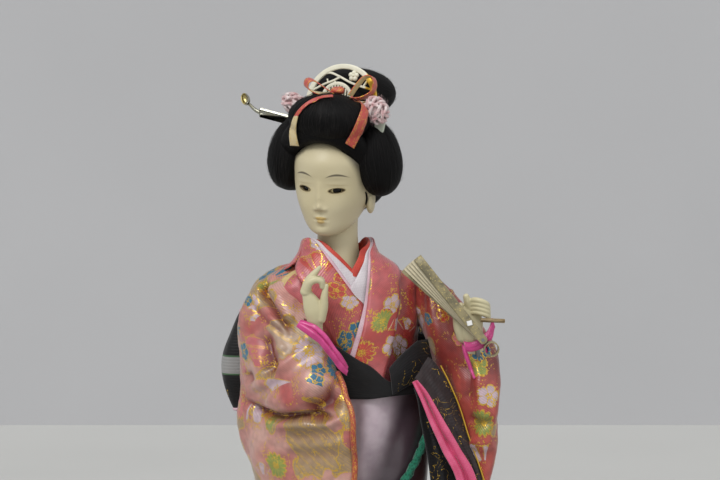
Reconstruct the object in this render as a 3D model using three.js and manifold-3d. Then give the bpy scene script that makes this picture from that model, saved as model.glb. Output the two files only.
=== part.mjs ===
// A standing kimono doll, about 42 cm tall, in millimetres with +Z up.
// It faces -Y, its torso turned to its own left and its head to its right, on a lacquered board.
// The origin is the middle of the board's underside.
import * as THREE from "three";
import { mergeVertices } from "three/addons/utils/BufferGeometryUtils.js";
import Module from "manifold-3d";

const wasm = await Module();
wasm.setup();

// Clearances and cloth thicknesses
const fitGap = 0.35; // between pieces that lie against each other
const slideGap = 0.3; // between pieces that move on each other
const clothWall = 1.3; // brocade with its backing
const liningWall = 0.8; // satin lining
const collarWall = 0.8; // one folded collar band
const collarGap = 0.6; // between one collar band and the next
const collarEase = 0.2; // the least that is left where two bands come close

// Board
const boardWidth = 180;
const boardDepth = 150;
const boardHeight = 18;
const boardCorner = 8;
const boardBevel = 1.5;
const rodSeatDepth = 12; // how deep the leg rods stand in the board

// Rods and wires
const legRodRadius = 1.6;
const legRodSpread = 12; // from the middle to each leg rod
const legRodForward = 8;
const legRodTop = 140;
const spineRodRadius = 2;
const spineRodBottom = 175;
const spineRodTop = 275;
const armWireRadius = 1;

// Feet, in split-toe socks
const footLength = 46;
const footWidth = 17;
const footHeight = 15;
const footToe = 58; // how far forward of the middle the toes reach
const toeSplitWidth = 0.9;
const toeSplitDepth = 14;

// Body heights above the board
const coreBottom = 70;
const hipLevel = 214; // where the legs' core ends and the torso's begins
const skirtTop = 232;
const obiBottom = 208;
const obiTop = 254;
const wrapTop = 277;
const wrapNotch = 261; // where the two black flaps cross
const cordFront = 212;
const cordSide = 238;
const cordRadius = 1.6;
const neckSeat = 300; // underside of the chest plate
const collarSide = 325; // top of the collars beside the neck
const torsoTurn = 22; // degrees, to the doll's left

// Neck, which turns in the torso
const neckX = -14.5;
const neckY = -3;
const neckRadius = 9;
const chestPlateRadius = 12.5;
const neckPegRadius = 4;
const neckPegLength = 22;
const neckTop = 338;

// Head
const headCentre = new THREE.Vector3(-14.5, -5, 354.6);
const headTurn = -22;
const headNod = 10;
const headLean = 4;
const eyeSpacing = 14.4;
const eyeHeight = -4;
const eyeWidth = 6.2;
const eyeOpening = 2.2;
const eyeSocketDepth = 2.2;

// Hair ornaments
const combRadius = 16.8;
const combBand = 2.6;
const combWall = 1.4;
const combTeeth = 9;
const combToothLength = 6;
const pinLength = 30; // of its bar
const pinWidth = 5;
const pinWall = 2;
const ribbonWidth = 4.6;
const ribbonWall = 0.7;
const pomponRadius = 5.8;

// Folding fan
const fanLength = 46;
const fanWidth = 3.8;
const fanGuardWall = 1.2;
const fanLeafWall = 0.7;
const fanLeaves = 4;
const fanLeafGap = 0.2;
const fanRestStep = 2.4; // degrees between neighbouring leaves at rest
const fanOpenStep = 15; // what each leaf turns further on the one before it
const fanDirection = 132; // degrees, of the front guard
const fanRivetRadius = 0.8;
const fanRivetPlay = 0.15; // round the rivet
const fanRivetHead = 0.6; // how far it stands out of the guards
const fanPivot = new THREE.Vector3(48.5, -41, 283);

// Turns degrees into radians.
const rad = THREE.MathUtils.degToRad;

// A vector, for short, and a list of them.
const at = (x, y, z) => new THREE.Vector3(x, y, z);
const path = (...points) => points.map((point) => at(...point));

// A closed body from rings of points, with a fan over each end; its faces point out.
function closedLoft(rings) {
  const positions = [];
  const sides = rings[0].length;
  const triangle = (a, b, c) => positions.push(...a, ...b, ...c);
  const middle = (ring) =>
    ring.reduce((sum, p) => sum.add(p), at(0, 0, 0)).divideScalar(ring.length);
  for (let r = 0; r < rings.length - 1; r++) {
    for (let i = 0; i < sides; i++) {
      const j = (i + 1) % sides;
      triangle(rings[r][i], rings[r][j], rings[r + 1][j]);
      triangle(rings[r][i], rings[r + 1][j], rings[r + 1][i]);
    }
  }
  const first = rings[0];
  const last = rings[rings.length - 1];
  const firstMiddle = middle(first);
  const lastMiddle = middle(last);
  for (let i = 0; i < sides; i++) {
    const j = (i + 1) % sides;
    triangle(firstMiddle, first[j], first[i]);
    triangle(lastMiddle, last[i], last[j]);
  }
  return facingOut(geometryFrom(positions));
}

// A ring of rings joined end to end, such as a band round the neck.
function ringLoft(rings) {
  const positions = [];
  const sides = rings[0].length;
  rings.forEach((ring, r) => {
    const next = rings[(r + 1) % rings.length];
    for (let i = 0; i < sides; i++) {
      const j = (i + 1) % sides;
      positions.push(...ring[i], ...ring[j], ...next[j]);
      positions.push(...ring[i], ...next[j], ...next[i]);
    }
  });
  return facingOut(geometryFrom(positions));
}

function geometryFrom(positions) {
  return new THREE.BufferGeometry().setAttribute(
    "position",
    new THREE.Float32BufferAttribute(positions, 3),
  );
}

// Six times the signed volume of a triangle soup, which is negative when its faces point in.
function signedVolume(geometry) {
  const p = geometry.getAttribute("position");
  const corner = (i) => at(p.getX(i), p.getY(i), p.getZ(i));
  let sum = 0;
  for (let i = 0; i < p.count; i += 3) {
    sum += corner(i).dot(corner(i + 1).cross(corner(i + 2)));
  }
  return sum;
}

function facingOut(geometry) {
  if (signedVolume(geometry) >= 0) return geometry;
  const p = geometry.getAttribute("position").array;
  for (let i = 0; i < p.length; i += 9) {
    for (let k = 0; k < 3; k++) [p[i + 3 + k], p[i + 6 + k]] = [p[i + 6 + k], p[i + 3 + k]];
  }
  return geometry;
}

// A three.js geometry as a solid that can be joined and cut.
function solidOf(geometry) {
  const plain = geometry.index ? geometry.toNonIndexed() : geometry.clone();
  plain.deleteAttribute("normal");
  plain.deleteAttribute("uv");
  const merged = mergeVertices(plain, 1e-4);
  return new wasm.Manifold(
    new wasm.Mesh({
      numProp: 3,
      vertProperties: merged.getAttribute("position").array,
      triVerts: new Uint32Array(merged.index.array),
    }),
  );
}

function geometryOf(solid) {
  const mesh = solid.getMesh();
  const positions = [];
  for (const v of mesh.triVerts) {
    positions.push(...mesh.vertProperties.subarray(v * mesh.numProp, v * mesh.numProp + 3));
  }
  const geometry = geometryFrom(positions);
  geometry.computeVertexNormals();
  return geometry;
}

const joined = (...solids) => solids.reduce((sum, s) => sum.add(s));
const cut = (solid, ...others) => others.reduce((left, s) => left.subtract(s), solid);

// A geometry moved, turned by Euler angles in degrees, or both, as a solid.
function placed(geometry, position = at(0, 0, 0), turns = [0, 0, 0]) {
  const turn = new THREE.Quaternion().setFromEuler(
    new THREE.Euler(rad(turns[0]), rad(turns[1]), rad(turns[2]), "ZXY"),
  );
  const move = new THREE.Matrix4().compose(position, turn, at(1, 1, 1));
  return solidOf(geometry.clone().applyMatrix4(move));
}

function ellipsoid(centre, halves, turns = [0, 0, 0], columns = 16, rows = 10) {
  const ball = new THREE.SphereGeometry(1, columns, rows);
  ball.rotateX(Math.PI / 2);
  ball.scale(...halves);
  return placed(ball, centre, turns);
}

// An upright cylinder from one height to another.
function post(x, y, bottom, top, radius, sides = 10) {
  const rod = new THREE.CylinderGeometry(radius, radius, top - bottom, sides);
  rod.rotateX(Math.PI / 2);
  return placed(rod, at(x, y, (bottom + top) / 2));
}

// Catmull-Rom through rows of numbers, at a share of the way through them.
function blendRows(rows, share) {
  const place = share * (rows.length - 1);
  const k = Math.min(Math.floor(place), rows.length - 2);
  const t = place - k;
  const [p0, p1, p2, p3] = [-1, 0, 1, 2].map(
    (d) => rows[Math.min(Math.max(k + d, 0), rows.length - 1)],
  );
  return p1.map((_, i) => {
    const slope1 = (p2[i] - p0[i]) / 2;
    const slope2 = (p3[i] - p1[i]) / 2;
    const a = 2 * p1[i] - 2 * p2[i] + slope1 + slope2;
    const b = -3 * p1[i] + 3 * p2[i] - 2 * slope1 - slope2;
    return a * t ** 3 + b * t ** 2 + slope1 * t + p1[i];
  });
}

// One level ring. A row holds its height, middle x and y, half width, half depth and turn in degrees.
function levelRing(row, extra, sides, folds) {
  const [z, x, y, across, deep, turn] = row;
  const points = [];
  for (let i = 0; i < sides; i++) {
    const t = (2 * Math.PI * i) / sides;
    const swell = folds ? folds(t, z) : 0;
    const u = (across + extra + swell) * Math.cos(t);
    const v = (deep + extra + swell) * Math.sin(t);
    const c = Math.cos(rad(turn));
    const s = Math.sin(rad(turn));
    points.push(at(x + u * c - v * s, y + u * s + v * c, z));
  }
  return points;
}

// A closed body through level rows, thicker by extra all round, between two of its levels.
function levelLoft(rows, { extra = 0, levels = 10, sides = 24, folds = null, from = 0, to = levels } = {}) {
  const rings = [];
  for (let r = from; r <= to; r++) {
    rings.push(levelRing(blendRows(rows, r / levels), extra, sides, folds));
  }
  return solidOf(closedLoft(rings));
}

// A tube along points, with radii that are spread evenly along it.
function tube(points, radii, { sides = 7, steps = 5, extra = 0 } = {}) {
  const curve = new THREE.CatmullRomCurve3(points);
  const frames = curve.computeFrenetFrames(steps);
  const rings = [];
  for (let k = 0; k <= steps; k++) {
    const radius = blendRows(radii.map((r) => [r]), k / steps)[0] + extra;
    const middle = curve.getPointAt(k / steps);
    rings.push(
      Array.from({ length: sides }, (_, i) => {
        const a = (2 * Math.PI * i) / sides;
        return middle
          .clone()
          .addScaledVector(frames.normals[k], Math.cos(a) * radius)
          .addScaledVector(frames.binormals[k], Math.sin(a) * radius);
      }),
    );
  }
  return solidOf(closedLoft(rings));
}

// A flat ribbon along points; facing gives its outward side at each point.
function ribbon(points, facings, widths, wall, steps = 8) {
  const curve = new THREE.CatmullRomCurve3(points);
  const rings = [];
  for (let k = 0; k <= steps; k++) {
    const share = k / steps;
    const middle = curve.getPoint(share);
    const along = curve.getTangent(share);
    const out = at(...blendRows(facings.map((f) => f.toArray()), share));
    out.addScaledVector(along, -out.dot(along)).normalize();
    const side = along.clone().cross(out).multiplyScalar(blendRows(widths.map((w) => [w]), share)[0] / 2);
    const lift = out.clone().multiplyScalar(wall / 2);
    rings.push([
      middle.clone().add(side).add(lift),
      middle.clone().sub(side).add(lift),
      middle.clone().sub(side).sub(lift),
      middle.clone().add(side).sub(lift),
    ]);
  }
  return solidOf(closedLoft(rings));
}

// A flat outline of [across, up] points, extruded both ways from the plane that a turn about Z sets.
function uprightPrism(outline, thickness, origin, turn) {
  const shape = new THREE.Shape(outline.map(([u, w]) => new THREE.Vector2(u, w)));
  const prism = new THREE.ExtrudeGeometry(shape, { depth: thickness, bevelEnabled: false });
  prism.translate(0, 0, -thickness / 2);
  prism.rotateX(Math.PI / 2);
  return placed(prism, origin, [0, 0, turn]);
}

// Materials
function finish(color, roughness, metalness = 0) {
  return new THREE.MeshStandardMaterial({ color, roughness, metalness });
}
const lacquer = finish("#141212", 0.25);
const wireSteel = finish("#8d9094", 0.45, 0.9);
const strawBody = finish("#c9b27c", 0.95);
const cottonPad = finish("#e9e4d8", 0.95);
const skin = finish("#e3d8b8", 0.5);
const eyeGlass = finish("#1b1410", 0.1);
const hairBlack = finish("#0c0c0e", 0.6);
const ivoryComb = finish("#efe9d2", 0.35);
const pinSilver = finish("#a8a68c", 0.3, 0.7);
const goldRibbon = finish("#c0583c", 0.5, 0.2);
const pinkTuft = finish("#e2bcc0", 0.95);
const redCollar = finish("#c3281f", 0.7);
const whiteCollar = finish("#e6e1e6", 0.75);
const pinkCollar = finish("#d9c3c9", 0.7);
const brocade = finish("#c85a55", 0.5);
const pinkSatin = finish("#e0569c", 0.4);
const blackBrocade = finish("#141315", 0.8);
const lavenderSatin = finish("#b79fb4", 0.35);
const greenCrepe = finish("#14694f", 0.8);
const redPadding = finish("#b3322c", 0.6);
const sockWhite = finish("#ece9e2", 0.8);
const fanBrocade = finish("#8b8364", 0.6);
const fanPaper = finish("#cdbf9a", 0.9);
const bambooBrown = finish("#8a7650", 0.7);

const doll = new THREE.Group();
const board = new THREE.Group();
const head = new THREE.Group();
const fan = new THREE.Group();

function addPart(group, name, solid, material) {
  const mesh = new THREE.Mesh(geometryOf(solid), material);
  mesh.name = name;
  group.add(mesh);
  return solid;
}

// Torso: rows of height, middle, half width, half depth and turn, without clothes.
const torsoRows = [
  [hipLevel + fitGap, -1, 0, 20, 16, torsoTurn],
  [232, 1, 0, 20, 16, torsoTurn],
  [250, 2, 0, 19, 15, torsoTurn],
  [267, 0, 0, 20, 15, torsoTurn],
  [282, -3, 0, 24, 15.5, torsoTurn],
  [294, -6, 0, 30, 15, torsoTurn],
  [302, -8, 0, 34, 13.5, torsoTurn],
  [307, -9.5, -0.5, 32, 12, torsoTurn],
  [312, -12, -1.5, 22, 11.5, torsoTurn],
  [316, -14, -2.5, 14, 11, torsoTurn],
];
const torso = (extra) => levelLoft(torsoRows, { extra, levels: 8, sides: 16 });

// All that is worn on the torso, as one loose body that the sleeves, bow and arms stay clear of
const wornRows = [
  [186, -1, 0, 28, 24, torsoTurn],
  [210, -1, 0, 31.4, 27.8, torsoTurn],
  [232, 1, 0, 31, 27.4, torsoTurn],
  [250, 2, 0, 30, 26, torsoTurn],
  [268, 0, 0, 31, 26, torsoTurn],
  [284, -3, 0, 34, 25, torsoTurn],
  [298, -7, 0, 37.4, 23, torsoTurn],
  [308, -10, -1, 35.4, 21.4, torsoTurn],
  [316, -13.4, -2, 24, 20.4, torsoTurn],
  [328, -14.5, -2.6, 19, 20, torsoTurn],
];
const wornEase = 1; // what its flat sides take away
const worn = (extra) => levelLoft(wornRows, { extra, levels: 6, sides: 12 });

// Body under the skirt, of wound straw.
const legCoreRows = [
  [coreBottom, -2, 2, 26, 21, 0],
  [130, -2, 1, 23, 18.5, 0],
  [180, -1.5, 0, 21.5, 17, 10],
  [hipLevel, -1, 0, 20, 16, torsoTurn],
];

// Kimono skirt, from the hip to its train on the board.
const hemLift = 4.8; // the padded hem roll's height
const hemRollRadius = 2.2;
const foldCount = 6;
const foldDepth = 2.4;
const foldHeight = 150; // where the folds fade out
const skirtRows = [
  [hemLift, -2, 5, 64, 53, 0],
  [14, -2, 5, 57, 47, 0],
  [36, -2, 4, 45, 38, 0],
  [70, -2, 3, 35, 29.5, 0],
  [110, -2, 2, 29, 24.5, 0],
  [150, -2, 1, 26.5, 22, 4],
  [190, -1.5, 0, 24.5, 20, 14],
  [skirtTop, 1, 0, 24.4, 20.4, torsoTurn],
];
const skirtFolds = (t, z) =>
  foldDepth * Math.max(0, 1 - z / foldHeight) * Math.sin(foldCount * t + 0.6 + z * 0.012);
const skirtLevels = 6;
const skirtSides = 24;
const skirt = (extra, to = skirtLevels) =>
  levelLoft(skirtRows, { extra, levels: skirtLevels, sides: skirtSides, folds: skirtFolds, to });

// Arms: the wire's course from the torso to the hand.
const armPaths = {
  right: path([-40, 1, 301], [-47, -3, 284], [-50, -9, 268], [-38, -22, 273], [-24, -32, 281], [-20, -34, 289]),
  left: path([22, 6, 303], [36, 4, 290], [45, -2, 268], [47, -14, 264], [47.5, -25, 270], [46.5, -32, 279]),
};

// Sleeves, as level rows of a slanted bag that hangs from the arm.
const rightSleeveTurn = -43;
const leftSleeveTurn = -68;
const sleeveBottom = 165;
const rightSleeveRows = [
  [sleeveBottom, -27, -20, 28, 5, rightSleeveTurn],
  [190, -28, -20, 29, 6.5, rightSleeveTurn],
  [216, -30, -20, 31, 8.5, rightSleeveTurn],
  [232, -32, -19.5, 33, 10, rightSleeveTurn],
  [248, -33.5, -18.5, 34.5, 11.5, rightSleeveTurn],
  [262, -35.5, -16.5, 32, 12.5, rightSleeveTurn],
  [277, -38.5, -12.5, 26, 12.5, rightSleeveTurn],
  [292, -41.5, -7, 19, 11.5, rightSleeveTurn],
  [304, -41.5, -2, 13, 9, rightSleeveTurn],
  [311, -36, 0, 7, 5, rightSleeveTurn],
];
const leftSleeveRows = [
  [sleeveBottom, 46, -8, 20, 4.5, leftSleeveTurn],
  [190, 46, -8, 21, 5.5, leftSleeveTurn],
  [216, 46.5, -9, 22, 7, leftSleeveTurn],
  [232, 46.5, -9.5, 23, 8.5, leftSleeveTurn],
  [248, 46, -10, 24.5, 10, leftSleeveTurn],
  [262, 45, -10, 24.5, 11.5, leftSleeveTurn],
  [277, 42.5, -8, 22, 12, leftSleeveTurn],
  [292, 36, -3, 15, 11, leftSleeveTurn],
  [302, 31, 1, 10, 8, leftSleeveTurn],
  [308, 27, 1, 6, 4.5, leftSleeveTurn],
];
const sleeveLevels = 8;
const liningFrom = 5; // the lining starts at this level
// Soft waves round and down the sleeve
const sleeveFolds = (t, z) => 1.1 * Math.sin(2 * t + z * 0.11) + 0.7 * Math.sin(5 * t - z * 0.17);
const sleeve = (rows, extra, from = 0) =>
  levelLoft(rows, { extra, levels: sleeveLevels, sides: 15, folds: sleeveFolds, from });

// The mouth of a sleeve: what lies over a slanting line from the forearm down to the front edge.
const sleeves = {
  right: { rows: rightSleeveRows, turn: rightSleeveTurn, from: [7, 288], to: [33, 260] },
  left: { rows: leftSleeveRows, turn: leftSleeveTurn, from: [3, 284], to: [14, 262] },
};
function sleeveMouth(side, lift) {
  const { rows, turn, from, to } = sleeves[side];
  const [z, x, y] = rows[5]; // the row at the forearm
  const reach = 90; // past the sleeve on every side
  const outline = [
    [from[0], z + reach],
    [from[0], from[1] + lift],
    [to[0], to[1] + lift],
    [reach, to[1] + lift],
    [reach, z + reach],
  ];
  return uprightPrism(outline, reach, at(x, y, 0), turn);
}

// Board, with a seat for each leg rod
const legRodX = (side) => side * legRodSpread;
{
  const w = boardWidth / 2 - boardCorner;
  const d = boardDepth / 2 - boardCorner;
  const outline = new THREE.Shape();
  outline.absarc(w, d, boardCorner - boardBevel, 0, Math.PI / 2);
  outline.absarc(-w, d, boardCorner - boardBevel, Math.PI / 2, Math.PI);
  outline.absarc(-w, -d, boardCorner - boardBevel, Math.PI, 1.5 * Math.PI);
  outline.absarc(w, -d, boardCorner - boardBevel, 1.5 * Math.PI, 2 * Math.PI);
  const slab = new THREE.ExtrudeGeometry(outline, {
    depth: boardHeight - 2 * boardBevel,
    bevelThickness: boardBevel,
    bevelSize: boardBevel,
    bevelSegments: 1,
    curveSegments: 4,
  });
  slab.translate(0, 0, boardBevel);
  const seats = [-1, 1].map((side) =>
    post(legRodX(side), -legRodForward, boardHeight - rodSeatDepth, boardHeight + 5, legRodRadius + fitGap),
  );
  addPart(board, "display_board", cut(placed(slab), ...seats), lacquer);
}

// Rods that stand in the board and carry the body
const legRods = {};
for (const [name, side] of [["right", -1], ["left", 1]]) {
  const x = legRodX(side);
  const bottom = fitGap - rodSeatDepth;
  legRods[name] = (extra) =>
    post(x, -legRodForward, bottom, legRodTop + extra, legRodRadius + extra);
  addPart(doll, `leg_rod_${name}`, legRods[name](0), wireSteel);
}
const spineRod = (extra) =>
  post(-1, 0, spineRodBottom - extra, spineRodTop + extra, spineRodRadius + extra);
addPart(doll, "spine_rod", spineRod(0), wireSteel);

// Feet in white split-toe socks, one on each rod
const footRows = (side) => {
  const x = legRodX(side);
  const middle = footLength / 2 - footToe;
  return [
    [fitGap, x, middle, footWidth * 0.42, footLength * 0.46, 0],
    [footHeight * 0.25, x, middle, footWidth * 0.5, footLength * 0.5, 0],
    [footHeight * 0.6, x, middle + 3, footWidth * 0.44, footLength * 0.4, 0],
    [footHeight * 0.95, x, middle + 9, footWidth * 0.36, footLength * 0.25, 0],
    [footHeight * 1.6, x, middle + 14, footWidth * 0.34, footLength * 0.17, 0],
  ];
};
const feet = {};
for (const [name, side] of [["right", -1], ["left", 1]]) {
  feet[name] = (extra) => levelLoft(footRows(side), { extra, levels: 5, sides: 12 });
  const toeSplit = placed(
    new THREE.BoxGeometry(toeSplitWidth, toeSplitDepth, footHeight),
    at(legRodX(side) - side * footWidth * 0.16, -footToe, footHeight * 0.6),
  );
  addPart(doll, `sock_foot_${name}`, cut(feet[name](0), toeSplit, legRods[name](fitGap)), sockWhite);
}

// Straw core of the legs, then the torso's, with the neck's seat and the arm wires' holes
const neckProfile = (extra) => {
  const low = neckSeat - extra;
  const plate = chestPlateRadius + extra;
  return [
    [0, low - neckPegLength],
    [neckPegRadius + extra, low - neckPegLength],
    [neckPegRadius + extra, low],
    [plate, low],
    [plate, neckSeat + 7],
    [neckRadius + extra + 1.2, neckSeat + 16],
    [neckRadius + extra, neckSeat + 25],
    [neckRadius + extra, neckTop],
    [0, neckTop],
  ].map(([r, z]) => new THREE.Vector2(r, z));
};
const neck = (extra) => {
  const turned = new THREE.LatheGeometry(neckProfile(extra), 20);
  turned.rotateX(Math.PI / 2);
  turned.translate(neckX, neckY, 0);
  return facingOut(turned.toNonIndexed());
};
const armWire = (side, extra) =>
  tube(armPaths[side], [armWireRadius, armWireRadius], { sides: 6, steps: 10, extra });
const legCore = levelLoft(legCoreRows, { levels: 3, sides: 18 });
addPart(
  doll,
  "straw_core_legs",
  cut(legCore, spineRod(fitGap), legRods.right(fitGap), legRods.left(fitGap)),
  strawBody,
);
const armHoles = ["right", "left"].map((side) => armWire(side, fitGap));
const torsoCore = cut(torso(0), spineRod(fitGap), placed(neck(slideGap)), ...armHoles);
addPart(doll, "straw_core_torso", torsoCore, strawBody);
for (const side of ["right", "left"]) addPart(doll, `arm_wire_${side}`, armWire(side, 0), wireSteel);

// Hands, moulded in one with a short wrist
const forearm = { right: at(-23.5, -32, 278), left: at(46.5, -27, 268) };
const wrist = { right: at(-21.3, -34, 284), left: at(45.8, -28.5, 274.5) };
const fingerForm = { sides: 6, steps: 4 };
const curledForm = { sides: 5, steps: 3 };
const rightBack = path([-24.5, -35, 293], [-27, -36, 300], [-27.6, -36.5, 304]);
const rightThumb = path([-20.5, -35, 284], [-17.9, -36.5, 292], [-18.6, -37.6, 299], [-20, -38.4, 304]);
const rightIndex = path([-27.2, -36.8, 302], [-26, -37.3, 307.5], [-23, -37.8, 312]);
const rightCurled = path([-27, -37.6, 302.5], [-24.6, -39.4, 306.6], [-21.6, -39.6, 305.2], [-21, -39, 302.4]);
const curledStep = { right: at(0, 2.3, -1), left: at(2.6, 0, -1.2) }; // from one curled finger to the next
const curledFingers = (side, points, radii) =>
  [0, 1, 2].map((k) => {
    const moved = points.map((point) => point.clone().addScaledVector(curledStep[side], k));
    return tube(moved, radii, curledForm);
  });
const rightHand = joined(
  tube([forearm.right, wrist.right, ...rightBack], [4.6, 5, 4.8, 3.9, 2.6]),
  tube(rightThumb, [4.4, 3.4, 2.3, 1.5], { sides: 6, steps: 5 }),
  tube(rightIndex, [2.7, 2.1, 1.2], fingerForm),
  ...curledFingers("right", rightCurled, [2.6, 2.1, 1.9, 1.5]),
);
addPart(doll, "hand_right", cut(rightHand, armWire("right", fitGap)), skin);

// The fan: its front guard is held, and each leaf turns on the one before it.
const leafY = (k) => {
  if (k === 0) return fanGuardWall / 2;
  const leaves = Math.min(k, fanLeaves + 1) - 1;
  const depth = fanGuardWall + fanLeafGap + leaves * (fanLeafWall + fanLeafGap);
  return depth + (k > fanLeaves ? fanGuardWall : fanLeafWall) / 2;
};
const fanThickness = leafY(fanLeaves + 1) + fanGuardWall / 2;
function fanStick(k, extra = 0, opened = 0) {
  const wall = k === 0 || k > fanLeaves ? fanGuardWall : fanLeafWall;
  const half = fanWidth / 2 + extra;
  const outline = new THREE.Shape();
  outline.absarc(0, 0, half, Math.PI / 2, 1.5 * Math.PI);
  outline.lineTo(fanLength + extra, -half);
  outline.lineTo(fanLength + extra, half);
  const depth = wall + 2 * extra;
  const blade = new THREE.ExtrudeGeometry(outline, { depth, bevelEnabled: false, curveSegments: 4 });
  blade.translate(0, 0, -depth / 2);
  blade.rotateX(Math.PI / 2); // the outline's plane stands up, facing the viewer
  blade.rotateY(-rad(fanDirection + k * (fanRestStep + opened)));
  return placed(blade, fanPivot.clone().add(at(0, leafY(k), 0)));
}
const rivet = (extra) => {
  const radius = fanRivetRadius + extra;
  const pin = new THREE.CylinderGeometry(radius, radius, fanThickness + 2 * fanRivetHead, 8);
  return placed(pin, fanPivot.clone().add(at(0, fanThickness / 2, 0)));
};
const stickNames = ["fan_guard_front"];
for (let k = 1; k <= fanLeaves; k++) stickNames.push(`fan_leaf_${k}`);
stickNames.push("fan_guard_back");
stickNames.forEach((name, k) => {
  const material = k === 0 || k > fanLeaves ? fanBrocade : fanPaper;
  addPart(fan, name, cut(fanStick(k), rivet(fanRivetPlay)), material);
});
addPart(fan, "fan_rivet", rivet(0), wireSteel);

// A rolled strip at the fan's end, and the bamboo peg that pins the fan in the fingers
const rollRadius = 3.4;
const rollWall = 0.6;
const rollLength = 5;
const rollAway = fanWidth / 2 + slideGap + rollRadius; // from the rivet to its middle
const fanAngle = rad(fanDirection);
const rollOffset = at(-Math.cos(fanAngle) * rollAway, fanThickness / 2, -Math.sin(fanAngle) * rollAway);
const rollAt = fanPivot.clone().add(rollOffset);
const roll = (radius, length) => placed(new THREE.CylinderGeometry(radius, radius, length, 16), rollAt);
const rollHollow = roll(rollRadius - rollWall, rollLength + 2);
addPart(fan, "fan_end_roll", cut(roll(rollRadius, rollLength), rollHollow), fanBrocade);
const pegRadius = 0.9;
const pegPath = path([47.6, -38.6, 291.4], [53, -38.2, 291.2], [58, -37.4, 290.9]);
const peg = (extra) => tube(pegPath, [pegRadius, pegRadius], { sides: 8, steps: 4, extra });
const rollRoom = roll(rollRadius + fitGap, rollLength + 2);
addPart(fan, "fan_peg", cut(peg(0), rollRoom), bambooBrown);

const leftBack = path([46.2, -29.5, 282], [48, -29.5, 290]);
const leftThumb = path([43, -28.5, 277], [40, -31, 286], [38.8, -32.2, 293]);
const leftIndex = path([45.5, -29.6, 288], [43.4, -31.8, 296], [42.2, -32.6, 300.5]);
const leftCurled = path([47.4, -28.6, 287.4], [47.8, -33.4, 294.6], [48.4, -36.3, 291.6]);
const leftHand = joined(
  tube([forearm.left, wrist.left, ...leftBack], [4.8, 5.2, 5.9, 4.4]),
  tube(leftThumb, [4, 2.7, 1.7], fingerForm),
  tube(leftIndex, [2.6, 2.1, 1.5], fingerForm),
  ...curledFingers("left", leftCurled, [2.4, 2.1, 1.6]),
);
const heldFan = stickNames.map((_, k) => fanStick(k, fitGap));
const sweptFan = [0.2, 0.4, 0.6, 0.8, 1].map((share) => fanStick(fanLeaves + 1, fitGap, share * fanOpenStep));
const heldThings = [armWire("left", fitGap), ...heldFan, ...sweptFan, rivet(fitGap), rollRoom, peg(fitGap)];
addPart(doll, "hand_left", cut(leftHand, ...heldThings), skin);

// Collars: bands on a surface that rises from the chest to the neck.
const collarRows = [
  [250, 1.5, 0, 21.6, 17.4, torsoTurn],
  [267, 0, 0, 22.4, 17.4, torsoTurn],
  [282, -3, 0, 26.4, 17.9, torsoTurn],
  [294, -6, 0, 32.4, 17.4, torsoTurn],
  [302, -8, -0.4, 34, 16.6, torsoTurn],
  [307, -9.5, -0.8, 31, 16, torsoTurn],
  [312, -12, -1.6, 23, 15, torsoTurn],
  [316, -13.6, -2.4, 17, 14.4, torsoTurn],
  [320, -14.3, -2.6, 14, 14, torsoTurn],
  [328, -14.5, -2.6, 12.4, 13.4, torsoTurn],
];
function rowAtHeight(rows, z) {
  let low = 0;
  let high = 1;
  for (let i = 0; i < 24; i++) {
    const share = (low + high) / 2;
    if (blendRows(rows, share)[0] < z) low = share;
    else high = share;
  }
  return blendRows(rows, low);
}
// round runs from 0 at the front to 1 at a side; side is -1 or 1, and behind is true past the shoulders.
function collarPoint(round, side, behind, z, lift) {
  const sine = Math.sin((round * Math.PI) / 2);
  const [, x, y, across, deep, turn] = rowAtHeight(collarRows, z);
  const u = (across + lift) * sine * side;
  const v = (deep + lift) * Math.sqrt(Math.max(0, 1 - sine * sine)) * (behind ? 1 : -1);
  const c = Math.cos(rad(turn));
  const s = Math.sin(rad(turn));
  return at(x + u * c - v * s, y + u * s + v * c, z);
}
function collarBand({ apex, steep, low, spread, drop, lift, wall }, grow = 0) {
  const rings = [];
  const backTop = collarSide - 6;
  const frontSteps = 9;
  const backSteps = 5;
  // One cross-section: up the band's inside from its lower edge, and down its outside
  const section = (side, behind, [roundTop, top], [roundBottom, bottom]) => {
    const corner = (share, l) => {
      const round = roundTop + (roundBottom - roundTop) * share;
      return collarPoint(round, side, behind, top + (bottom - top) * share, l);
    };
    const inside = [1, 0.5, 0].map((share) => corner(share, lift - grow));
    const outside = [0, 0.5, 1].map((share) => corner(share, lift + wall + grow));
    rings.push([...inside, ...outside]);
  };
  const front = (side, k) => {
    const share = (k / frontSteps) ** (1 / Math.sqrt(steep));
    const top = apex + (collarSide - apex) * share + grow;
    const bottom = low + (collarSide - drop - low) * share - grow;
    const roundTop = 0.02 + 0.98 * share ** steep;
    const roundBottom = spread + (1 - spread) * share ** 5;
    section(side, false, [roundTop, top], [roundBottom, bottom]);
  };
  for (let k = 0; k <= frontSteps; k++) front(-1, k);
  for (let k = 1; k < 2 * backSteps; k++) {
    const round = Math.abs(1 - k / backSteps);
    const top = backTop + (collarSide - backTop) * round ** 2 + grow;
    section(k <= backSteps ? -1 : 1, true, [round, top], [round, top - drop - 2 * grow]);
  }
  for (let k = frontSteps; k >= 0; k--) front(1, k);
  return solidOf(closedLoft(rings));
}
const bandLift = collarWall + collarGap;
const collars = [
  { name: "collar_red", finish: redCollar, apex: 307, steep: 1.1, low: 297, spread: 0.3, drop: 7 },
  { name: "collar_white", finish: whiteCollar, apex: 296, steep: 1.5, low: 284, spread: 0.26, drop: 8 },
  { name: "collar_piping", finish: pinkCollar, apex: 280, steep: 2.6, low: 270, spread: 0.16, drop: 8 },
  { name: "collar_brocade", finish: brocade, apex: 274, steep: 3, low: 266, spread: 0.42, drop: 12 },
];
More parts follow.
